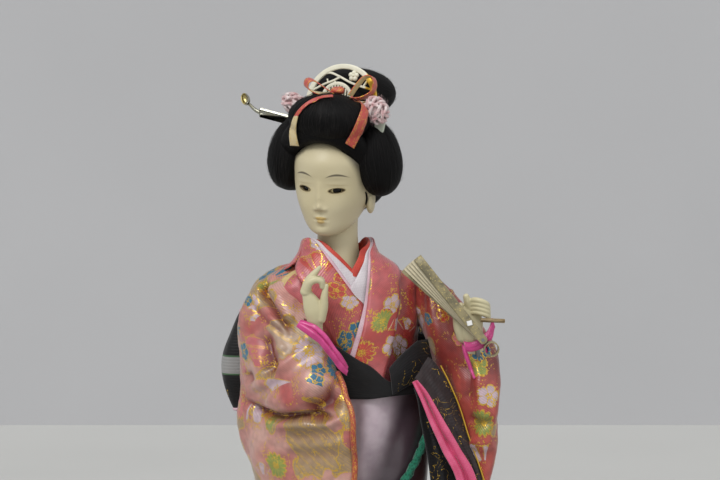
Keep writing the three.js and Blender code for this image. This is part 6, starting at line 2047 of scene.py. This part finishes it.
# Many thin fibres as one mesh; each path is a few points in millimetres
def fibreBundle(name, paths, widths, steps=8, sides=3):
    points, faces = [], []
    for path in paths:
        rings = sweepRings(path, widths, widths, [(0.3, -1, 0.2)], steps, sides=sides)
        base = len(points)
        points += [point for ring in rings for point in ring]
        for r in range(steps):
            for i in range(sides):
                j = (i + 1) % sides
                low, high = base + r * sides, base + (r + 1) * sides
                faces.append((low + i, low + j, high + j, high + i))
        faces.append(tuple(base + i for i in reversed(range(sides))))
        faces.append(tuple(base + steps * sides + i for i in range(sides)))
    bundle = meshObject(name, points, faces)
    applyEdit(bundle, merge=False)
    return bundle


# The way the fibres run, kept as one place per point for the hair's material
def markCombed(piece, places):
    layer = piece.data.attributes.new("combed", "FLOAT_VECTOR", "POINT")
    layer.data.foreach_set("vector", [value for place in places for value in place])


def combRoll(name, form):
    levels, sides = (110, 190) if fine else (60, 110)
    rings, places = [], []
    for k in range(1, levels):
        polar = math.pi * k / levels
        angles = [2 * math.pi * i / sides for i in range(sides)]
        rings.append([mm(*rollPoint(form, a, polar)) for a in angles])
        places += [(math.cos(a) * 12, math.sin(a) * 12, polar * 14 + form["seed"] * 5) for a in angles]
    roll = clothGrid(name, rings, caps=True)
    places += [(0, 0, form["seed"] * 5), (0, 0, math.pi * 14 + form["seed"] * 5)]
    markCombed(roll, places)
    applyEdit(roll, merge=False)
    return roll


hairRolls = []
for name, form in rolls.items():
    roll = combRoll(name + "_floss", form)
    roll.data.materials.append(hairSilk)
    paths = []
    for _ in range(form["fibres"]):
        a, start, length = dice.uniform(0, 2 * math.pi), dice.uniform(0.1, 2.2), dice.uniform(0.5, 1.3)
        lift, drift = dice.uniform(0.1, 0.5), dice.uniform(-0.15, 0.15)
        shares = [k / 5 for k in range(6)]
        paths.append([
            rollPoint(form, a + drift * t, min(3, start + length * t), 0.03 + lift * math.sin(math.pi * t))
            for t in shares
        ])
    loose = fibreBundle(name + "_loose", paths, [0.05, 0.09, 0.05])
    loose.data.materials.append(looseHair)
    roll = joinPieces([roll, loose])
    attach(roll, "head_and_hair")
    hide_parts(name)
    hairRolls.append(roll)
print("Hair ready")


# Hair swept off the brow: it frames the face between the front roll and the wings
sweptCourse = [
    (-20.6, -2, -1), (-20.3, -5, 4), (-18.6, -9, 11), (-12.6, -14.5, 18.6), (-2, -17.4, 22.4),
    (8.6, -15, 19.8), (15.8, -9.6, 10.4), (18.8, -5.4, 1.4), (20.4, -2.4, -3),
]
sweptRings = sweepRings(
    [inHead(*p) for p in sweptCourse], [7, 11.6, 11.6, 7], [6, 9, 9, 6],
    [tuple(headTurn @ Vector((0, -1, 0.2)))], 150, sides=60, square=2.3, roundEnds=True,
)
for k, ring in enumerate(sweptRings):
    centre = sum(ring, Vector()) / 60
    ring[:] = [
        centre + (p - centre) * (1 + 0.02 * noise.noise(Vector((k * 0.45, i * 0.02, 1))))
        for i, p in enumerate(ring)
    ]
swept = clothGrid("hair_swept_floss", sweptRings, caps=True)
runs = [(k * 0.6, 0, i * 0.4) for k in range(len(sweptRings)) for i in range(60)]
markCombed(swept, runs + [(0, 0, 0)] * 2)
applyEdit(swept, merge=False)
dress(swept, "head_and_hair", "black_hair", hairSilk)
hairRolls.append(swept)


# The first point of the given pieces under a pixel of the frame, lifted off their surface
def onPieces(pieces, px, py, lift):
    aim = (mm(*atPixel(px, py, 0)) - cameraPlace).normalized()
    hits = [piece.ray_cast(cameraPlace, aim) for piece in pieces]
    near = min((hit for hit in hits if hit[0]), key=lambda hit: (hit[1] - cameraPlace).length)
    return (near[1] + near[2] * (lift / 1000)) * 1000 - Vector((0, 0, boardTop))


# Ribbon: red satin between edges of gold glitter, paler gold on its inner side
def ribbonSilk(name, colour, edge):
    material, tree, shader = newMaterial(name, colour, 0.35, {"Sheen Weight": 0.2, "Specular IOR Level": 0.6})
    cloth = addNode(tree, "UVMap", uv_map="cloth")
    parts = addNode(tree, "SeparateXYZ", {0: cloth}, out=None)
    aside = addNode(tree, "Math", {0: parts.outputs[0]}, operation="ABSOLUTE")
    border = addNode(tree, "MapRange", {0: aside, 1: edge, 2: edge + 0.25})
    flecks = addNode(tree, "TexVoronoi", {"Vector": cloth, "Scale": 2.6})
    lit = addNode(tree, "Math", {0: flecks.node.outputs[0], 1: 0.42}, operation="LESS_THAN")
    sparse = addNode(tree, "TexWhiteNoise", {0: flecks.node.outputs[2]})
    shown = addNode(tree, "MapRange", {0: border, 3: 0.12, 4: 0.8})
    picked = addNode(tree, "Math", {0: sparse, 1: shown}, operation="LESS_THAN")
    gold = addNode(tree, "Math", {0: lit, 1: picked}, operation="MULTIPLY")
    threads = addNode(tree, "Math", {0: parts.outputs[0], 1: 14}, operation="MULTIPLY")
    ribs = addNode(tree, "Math", {0: threads}, operation="SINE")
    tone = addNode(tree, "MapRange", {0: ribs, 1: -1, 2: 1, 3: 0.85, 4: 1.08})
    tint = addNode(tree, "Mix", {0: 1, 6: colour, 7: tone}, **multiplied)
    tint = addNode(tree, "Mix", {0: gold, 6: tint, 7: "#dcb545"}, **blended)
    tree.links.new(tint, shader.inputs["Base Color"])
    metal = addNode(tree, "Math", {0: gold, 1: 0.8}, operation="MULTIPLY")
    tree.links.new(metal, shader.inputs["Metallic"])
    height = addNode(tree, "Math", {0: gold, 1: ribs}, operation="ADD")
    bump = addNode(tree, "Bump", {"Height": height, "Strength": 0.3, "Distance": 0.0002})
    tree.links.new(bump, shader.inputs["Normal"])
    return material


redRibbon = ribbonSilk("red_satin_ribbon", "#bd4339", 1.1)
paleRibbon = ribbonSilk("gold_backed_ribbon", "#d9c595", 1.2)
# Loops follow pixels at a depth; reach is the ribbon's width as a step in millimetres
ribbonLoops = {
    "right": {
        "course": [
            (334, 94), (325, 88), (315, 81.5), (309.5, 82.5), (308.5, 88.5), (315, 93), (325, 95.5),
            (334, 95.6),
        ],
        "reach": (-1.9, 3.6, 1.5),
    },
    "left": {
        "course": [
            (348, 95), (355, 85), (363, 76.5), (370.5, 76), (373, 83), (370, 91.5), (360, 97), (348, 98)
        ],
        "reach": (1.7, 3.7, -0.8),
    },
}
for name, form in ribbonLoops.items():
    reach = Vector(form["reach"])
    course = [Vector(atPixel(px, py, -22)) for px, py in form["course"]]
    loop = edgeStrip(f"ribbon_loop_{name}", [(*p, *(p + reach)) for p in course], 70, 8)
    loop.data.materials.append(redRibbon)
    loop.data.materials.append(paleRibbon)
    if name == "left":
        loop.data.flip_normals()
    applyModifier(loop, "SOLIDIFY", thickness=0.0004, offset=0, material_offset=1)
    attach(loop, "head_and_hair")
    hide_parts("ribbon_bow")
ribbonKnot = ellipsoid("ribbon_knot", (3.2, -7.2, 38.2), (3, 2.4, 1.9), inHead, 20, 28)
crumple(ribbonKnot, 0.7, 2.2, 4)
dress(ribbonKnot, "head_and_hair", "gold_red_ribbon", redRibbon)
# Tails lie on the hair; pairs are their edges in the frame's pixels, with the lift off the hair at each
ribbonTails = {
    "right": [
        ((333, 96.8), (333, 98.6), 0.9), ((320, 98), (321.5, 99.8), 0.9),
        ((308, 103.5), (309.5, 105.5), 0.9), ((299.5, 111), (301.5, 113), 0.9),
        ((294.5, 119), (298.5, 120.5), 0.9), ((291, 132), (297.5, 132), 0.9),
        ((291.5, 144.5), (299.5, 144.5), 0.8),
    ],
    "left": [
        ((350, 97.5), (350.5, 99.6), 0.9), ((357.8, 101.5), (361, 100.9), 0.9),
        ((360.4, 107.6), (366.4, 107.6), 0.9),
        ((357.4, 117), (366, 119), 0.9), ((351.9, 129.5), (360.8, 133), 0.9),
        ((345.2, 142.4), (353.9, 147.8), 0.8),
    ],
}
for name, rows in ribbonTails.items():
    flat = [(*left, *right, lift) for left, right, lift in rows]
    rings = []
    for k in range(81):
        x0, y0, x1, y1, lift = blendRows(flat, k / 80)
        spots = [(x0 + (x1 - x0) * i / 8, y0 + (y1 - y0) * i / 8) for i in range(9)]
        rings.append([mm(*onPieces(hairRolls, px, py, lift)) for px, py in spots])
    for _ in range(6):
        rings = [rings[0]] + [
            [(a + 2 * b + c) / 4 for a, b, c in zip(rings[k - 1], rings[k], rings[k + 1])]
            for k in range(1, 80)
        ] + [rings[80]]
    tail = clothGrid(f"ribbon_tail_{name}_silk", rings, closed=False)
    tail.data.materials.append(redRibbon)
    tail.data.materials.append(paleRibbon)
    for polygon in tail.data.polygons:
        turned = name == "right" and seenAt(polygon.center)[1] > 116
        polygon.material_index = 1 if turned else 0
    applyModifier(tail, "SOLIDIFY", thickness=0.0004, offset=0)
    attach(tail, "head_and_hair")
    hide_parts(f"ribbon_tail_{name}")
print("Ribbon ready")

# Tufts of twisted pale pink wool: loops of yarn over a core, with loose fibres
# Pink wool: no gleam, but a light fuzzy edge
wool, tree, shader = newMaterial(
    "pale_pink_wool", "#d8b9b8", 0.95, {"Sheen Weight": 0.5, "Sheen Roughness": 0.6}
)
place = addNode(tree, "TexCoord", out=3)
tufted = addNode(tree, "TexNoise", {"Vector": place, "Scale": 420, "Detail": 3})
shade = addNode(tree, "MapRange", {0: tufted, 1: 0.35, 2: 0.65})
tint = addNode(tree, "Mix", {0: shade, 6: "#c08f90", 7: "#ded0cd"}, **blended)
tree.links.new(tint, shader.inputs["Base Color"])
bump = addNode(tree, "Bump", {"Height": tufted, "Strength": 0.8, "Distance": 0.0005})
tree.links.new(bump, shader.inputs["Normal"])
tufts = {
    "right": ((-19.6, -2.4, 30), (6.2, 4.2, 4.4), 34, 25),
    "left": ((20.9, -6.3, 30.4), (5.2, 4.4, 6.2), 38, -35),
}
for name, (middle, halves, yarns, lean) in tufts.items():
    turned = Matrix.Rotation(math.radians(lean), 3, "Y")

    def inTuft(x, y, z):
        return inHead(*(turned @ Vector((x * halves[0], y * halves[1], z * halves[2])) + Vector(middle)))

    pieces = [ellipsoid("core", (0, 0, 0), (0.72, 0.72, 0.72), inTuft, 20, 28)]
    for k in range(yarns):
        rise = 1 - 2 * (k + 0.5) / yarns
        a = k * 2.4
        out = Vector(
            (math.cos(a) * math.sqrt(1 - rise * rise), math.sin(a) * math.sqrt(1 - rise * rise), rise)
        )
        side = out.cross(Vector((dice.uniform(-1, 1), dice.uniform(-1, 1), 1))).normalized()
        course = []
        for t in range(7):
            bowed = math.pi * (t / 6 - 0.5) * 0.9
            lifted = out * (0.5 + 0.48 * math.cos(bowed)) + side * math.sin(bowed) * 0.5
            course.append(inTuft(*lifted))
        rings = sweepRings(
            course, [1.1, 1.35, 1.1], [1.1, 1.35, 1.1], [(0.3, -1, 0.2)], 26, sides=12, roundEnds=True
        )
        for r, ring in enumerate(rings):
            centre = sum(ring, Vector()) / 12
            twist = [1 + 0.22 * math.sin(3 * 2 * math.pi * i / 12 + r * 0.75) for i in range(12)]
            ring[:] = [centre + (point - centre) * swell for point, swell in zip(ring, twist)]
        pieces.append(clothGrid("yarn", rings, caps=True))
    fuzz = []
    for _ in range(320):
        out = Vector((dice.gauss(0, 1), dice.gauss(0, 1), dice.gauss(0, 1))).normalized()
        aside = out.cross(Vector((dice.uniform(-1, 1), 1, dice.uniform(-1, 1)))).normalized()
        reach = dice.uniform(0.95, 1.35)
        fuzz.append(
            [inTuft(*(out * (0.7 + (reach - 0.7) * t) + aside * 0.3 * t * t)) for t in (0, 0.35, 0.7, 1)]
        )
    pieces.append(fibreBundle("fuzz", fuzz, [0.09, 0.07, 0.04], steps=5))
    tuft = joinPieces(pieces)
    tuft.name = f"wool_tuft_{name}"
    applyEdit(tuft, merge=False)
    dress(tuft, "head_and_hair", "pink_wool", wool, f"pompon_{name}")

# Red and gold piping down the front edge of the right sleeve
pipingSilk = ribbonSilk("red_gold_piping", "#a5352a", -0.3)
frontSleeve = bpy.data.objects["sleeve_right_cloth"]
course = []
for py in range(374, 566, 12):
    px = 364
    while not frontSleeve.ray_cast(cameraPlace, (mm(*atPixel(px, py, 0)) - cameraPlace).normalized())[0]:
        px -= 0.5
    course.append(tuple(onPieces([frontSleeve], px - 2.2, py, 0.8)))
piping = tube("sleeve_right_front_piping", course, [1.2, 1.3, 1.2], 90, 14)
dress(piping, "figure", "brocade", pipingSilk)

leftSleeve = bpy.data.objects["sleeve_left_cloth"]
course = [
    tuple(onPieces([leftSleeve], px, py, 0.4))
    for px, py in ((464, 345), (466, 353), (469, 362), (472.5, 371), (475, 378))
]
liningEdge = tube("sleeve_left_lining_edge", course, [0.9, 1, 0.6], 40, 10)
dress(liningEdge, "figure", "pink_satin", pinkSatin)

# Comb of ivory plastic, warm and faintly mottled, gilded at one end
ivory, tree, shader = newMaterial("ivory_plastic", "#dfdcc6", 0.4)
centred = headPlace(tree)
parts = addNode(tree, "SeparateXYZ", {0: centred}, out=None)
gilt = addNode(tree, "MapRange", {0: parts.outputs[0], 1: 12.4, 2: 13.4})
mottled = addNode(tree, "TexNoise", {"Vector": centred, "Scale": 0.35, "Detail": 2})
shade = addNode(tree, "MapRange", {0: mottled, 1: 0.35, 2: 0.65, 3: 0.93, 4: 1.02})
tint = addNode(tree, "Mix", {0: 1, 6: "#dfdcc6", 7: shade}, **multiplied)
tint = addNode(tree, "Mix", {0: gilt, 6: tint, 7: "#d9ae3c"}, **blended)
tree.links.new(tint, shader.inputs["Base Color"])
metal = addNode(tree, "Math", {0: gilt, 1: 0.6}, operation="MULTIPLY")
tree.links.new(metal, shader.inputs["Metallic"])
# Silvered brass of the hairpin: rubbed, so that the brass shows yellow through it and at the cup
silver, tree, shader = newMaterial("silvered_brass", "#a5a59b", 0.3, {"Metallic": 1.0})
centred = headPlace(tree)
parts = addNode(tree, "SeparateXYZ", {0: centred}, out=None)
brass = addNode(tree, "MapRange", {0: parts.outputs[0], 1: -45.5, 2: -47, 3: 0, 4: 1})
worn = addNode(tree, "TexNoise", {"Vector": centred, "Scale": 0.5, "Detail": 3})
tone = addNode(tree, "MapRange", {0: worn, 1: 0.35, 2: 0.65, 3: 0, 4: 0.5})
tint = addNode(tree, "Mix", {0: tone, 6: "#a9a99f", 7: "#938b66"}, **blended)
tint = addNode(tree, "Mix", {0: brass, 6: tint, 7: "#b3a36a"}, **blended)
tree.links.new(tint, shader.inputs["Base Color"])
rough = addNode(tree, "MapRange", {0: worn, 1: 0.3, 2: 0.7, 3: 0.22, 4: 0.42})
tree.links.new(rough, shader.inputs["Roughness"])
combForm = {
    "foot": (2.3, -1, 32.4), "tilt": 20, "radius": 16.8, "band": 2.3, "wall": 1.4,
    "blossom": (4.4, 11.6), "petalAway": 1.35,
}
combTurn = Matrix.Rotation(math.radians(-combForm["tilt"]), 3, "X")


def inComb(u, v, w=0):
    return inHead(*(combTurn @ Vector((u, w, v)) + Vector(combForm["foot"])))


def onComb(u, w, v):
    return inComb(u, v, w)


combOut = tuple(headTurn @ combTurn @ Vector((0, -1, 0)))


# One bar of the comb along points of its plane, with nearly square edges
def combBar(points, width, wall, steps):
    return sweep("bar", [inComb(*p) for p in points], [width], [wall], [combOut], steps, sides=16, square=5)


def arc(u, v, radius, first, last, count=24):
    angles = [math.radians(first + (last - first) * k / count) for k in range(count + 1)]
    return [(u + radius * math.cos(a), v + radius * math.sin(a)) for a in angles]


rim = combForm["radius"] - combForm["band"] / 2
bars = [
    combBar(arc(0, 0, rim, -6, 186), combForm["band"], combForm["wall"], 110),
    combBar(arc(-2.4, 1.2, 6.6, 0, 180), 1.6, combForm["wall"] * 0.8, 50),
    combBar([(-15.6, -0.4), (15.6, -0.4)], 2, combForm["wall"] * 0.9, 10),
    combBar([(-11, 11.2), (-7, 12.4), (-2.4, 11), (4.4, 8.2), (13.6, 6)], 1, combForm["wall"] * 0.7, 40),
    combBar([(-14.4, 4), (-9, 7.2), (-5, 9), (-1.6, 11)], 0.9, combForm["wall"] * 0.7, 30),
    combBar([(-7.4, 8), (-8, 9.6)], 0.6, combForm["wall"] * 0.6, 6),
    combBar([(-4.6, 9.4), (-3.8, 8)], 0.6, combForm["wall"] * 0.6, 6),
    combBar([(9.4, 7), (11.4, 10.4)], 0.8, combForm["wall"] * 0.7, 8),
]
for k in range(9):
    u = -7.6 + 1.3 * k
    top = 1.2 + math.sqrt(max(0, 6.6**2 - (u + 2.4) ** 2))
    bars.append(combBar([(u, top), (u, -7)], 0.7, combForm["wall"] * 0.6, 8))
blossomU, blossomV = combForm["blossom"]
for k in range(5):
    a = 2 * math.pi * k / 5 + 0.3
    petalU, petalV = (c * combForm["petalAway"] for c in (math.cos(a), math.sin(a)))
    petal = (blossomU + petalU, -0.3, blossomV + petalV)
    bars.append(ellipsoid("petal", petal, (1.15, 0.8, 1.15), onComb, 12, 18))
bars.append(ellipsoid("heart", (blossomU, -0.7, blossomV), (0.6, 0.8, 0.6), onComb, 10, 14))
comb = joinPieces(bars)
comb.name = "comb_ivory"
applyEdit(comb, merge=False)
dress(comb, "comb", "ivory_plastic", ivory, "comb")

# A box of these sides with bevelled edges, put into its place
def bevelledBox(name, sides, bevel, segments, place):
    bpy.ops.mesh.primitive_cube_add(size=1)
    box = bpy.context.object
    box.name = name
    bpy.ops.object.mode_set(mode="EDIT")
    bpy.ops.transform.resize(value=sides)
    bpy.ops.mesh.bevel(offset=bevel, segments=segments)
    bpy.ops.object.mode_set(mode="OBJECT")
    box.data.transform(place)
    return box


# Hairpin: a flat bevelled bar with two rivets, a round neck and an ear-pick's cup
pinTurn = Matrix.Rotation(math.radians(10), 4, "Y") @ Matrix.Rotation(math.radians(-64), 4, "X")
barAlong = Matrix.Rotation(math.radians(10), 3, "Y") @ Vector((1, 0, 0))
barMiddle = Vector((-39.2, 3, 24)) + barAlong * 15
barPlace = Matrix.Translation(mm(*inHead(*barMiddle))) @ headTurn.to_4x4() @ pinTurn
pinBar = bevelledBox("hairpin_bar", (0.03, 0.0046, 0.0018), 0.00045, 3, barPlace)


def onBar(x, y, z):
    return inHead(*(pinTurn.to_3x3() @ Vector((x, y, z)) + barMiddle))


pinParts = [pinBar]
for along in (-7, 3):
    pinParts.append(ellipsoid("rivet", (along, 0, 0.9), (0.55, 0.55, 0.35), onBar, 10, 16))
neckCourse = [
    inHead(*p) for p in ((-38.6, 3, 23.8), (-40.6, 3, 24.6), (-42.2, 3, 25.6), (-43.6, 3, 26.8), (-45, 3, 28))
]
pinParts.append(tube("neck", neckCourse, [0.95, 0.9, 0.8, 0.7, 0.7], 30, 16))
cupTurn = Matrix.Rotation(math.radians(-42), 3, "Y") @ Matrix.Rotation(math.radians(62), 3, "X")
cupMiddle = Vector((-46.2, 2.9, 29.6))
cupRings = []
for k in range(1, 25):
    polar = math.radians(104) * k / 24
    ring = []
    for i in range(36):
        a = 2 * math.pi * i / 36
        point = Vector(
            (1.9 * math.sin(polar) * math.cos(a), 3 * math.sin(polar) * math.sin(a), -1.5 * math.cos(polar))
        )
        ring.append(mm(*inHead(*(cupTurn @ point + cupMiddle))))
    cupRings.append(ring)
cup = clothGrid("cup", cupRings)
centre = sum(cupRings[0], Vector()) / 36
bpy.context.view_layer.objects.active = cup
bpy.ops.object.mode_set(mode="EDIT")
pickEdges(cup, lambda edge: edge.is_boundary and (edge.verts[0].co - centre).length < 0.0005)
bpy.ops.mesh.fill()
bpy.ops.object.mode_set(mode="OBJECT")
thicken(cup, 0.45, offset=0)
pinParts.append(cup)
pin = joinPieces(pinParts)
pin.name = "hairpin_silvered"
applyEdit(pin, merge=False)
for polygon in pin.data.polygons:
    polygon.use_smooth = True
bpy.context.view_layer.objects.active = pin
pin.select_set(True)
bpy.ops.object.shade_smooth_by_angle(angle=math.radians(40))
pin.select_set(False)
dress(pin, "hairpin", "silvered_metal", silver, "hairpin")

# End of a flat clip that shows below the left tuft
clipMiddle = mm(*onPieces(hairRolls, 379, 127.5, 0.7))
clipPlace = Matrix.Translation(clipMiddle) @ headTurn.to_4x4() @ Matrix.Rotation(math.radians(12), 4, "Y")
clip = bevelledBox("hair_clip_end", (0.0045, 0.0016, 0.0045), 0.0004, 2, clipPlace)
# Pale green plastic of the clip, smooth and a little shiny
palePlastic = newMaterial("pale_green_plastic", "#b9bfae", 0.35)[0]
dress(clip, "head_and_hair", "ivory_plastic", palePlastic)

# Loose hairs round the outline, and a strand before the left ear
paths = []
flyaways = [("hair_topknot", 60), ("hair_side_left", 40), ("hair_side_right", 25), ("hair_front", 20)]
for name, count in flyaways:
    form = rolls[name]
    for _ in range(count):
        a, polar = dice.uniform(0, 2 * math.pi), dice.uniform(0.5, 2.6)
        turn, length, lift = dice.uniform(-0.5, 0.5), dice.uniform(0.15, 0.5), dice.uniform(0.6, 2.2)
        shares = [k / 4 for k in range(5)]
        paths.append([rollPoint(form, a + turn * t, polar + length * t, 0.1 + lift * t * t) for t in shares])
strays = fibreBundle("stray_hairs", paths, [0.07, 0.05, 0.03])
dress(strays, "head_and_hair", "black_hair", looseHair)
strand = [
    tuple(onPieces([headCast], px, py, 0.15))
    for px, py in ((365.4, 192), (366.2, 197), (365.8, 201), (365.2, 204.5))
]
sideburns = [
    strand, [(x + 0.35, y + 0.1, z - 0.4) for x, y, z in strand],
    [(x - 0.3, y, z + 1.2) for x, y, z in strand],
]
sideburn = fibreBundle("sideburn_strand", sideburns, [0.6, 0.5, 0.25], sides=6)
dress(sideburn, "head_and_hair", "black_hair", hairSilk)
print("Hair ornaments ready")
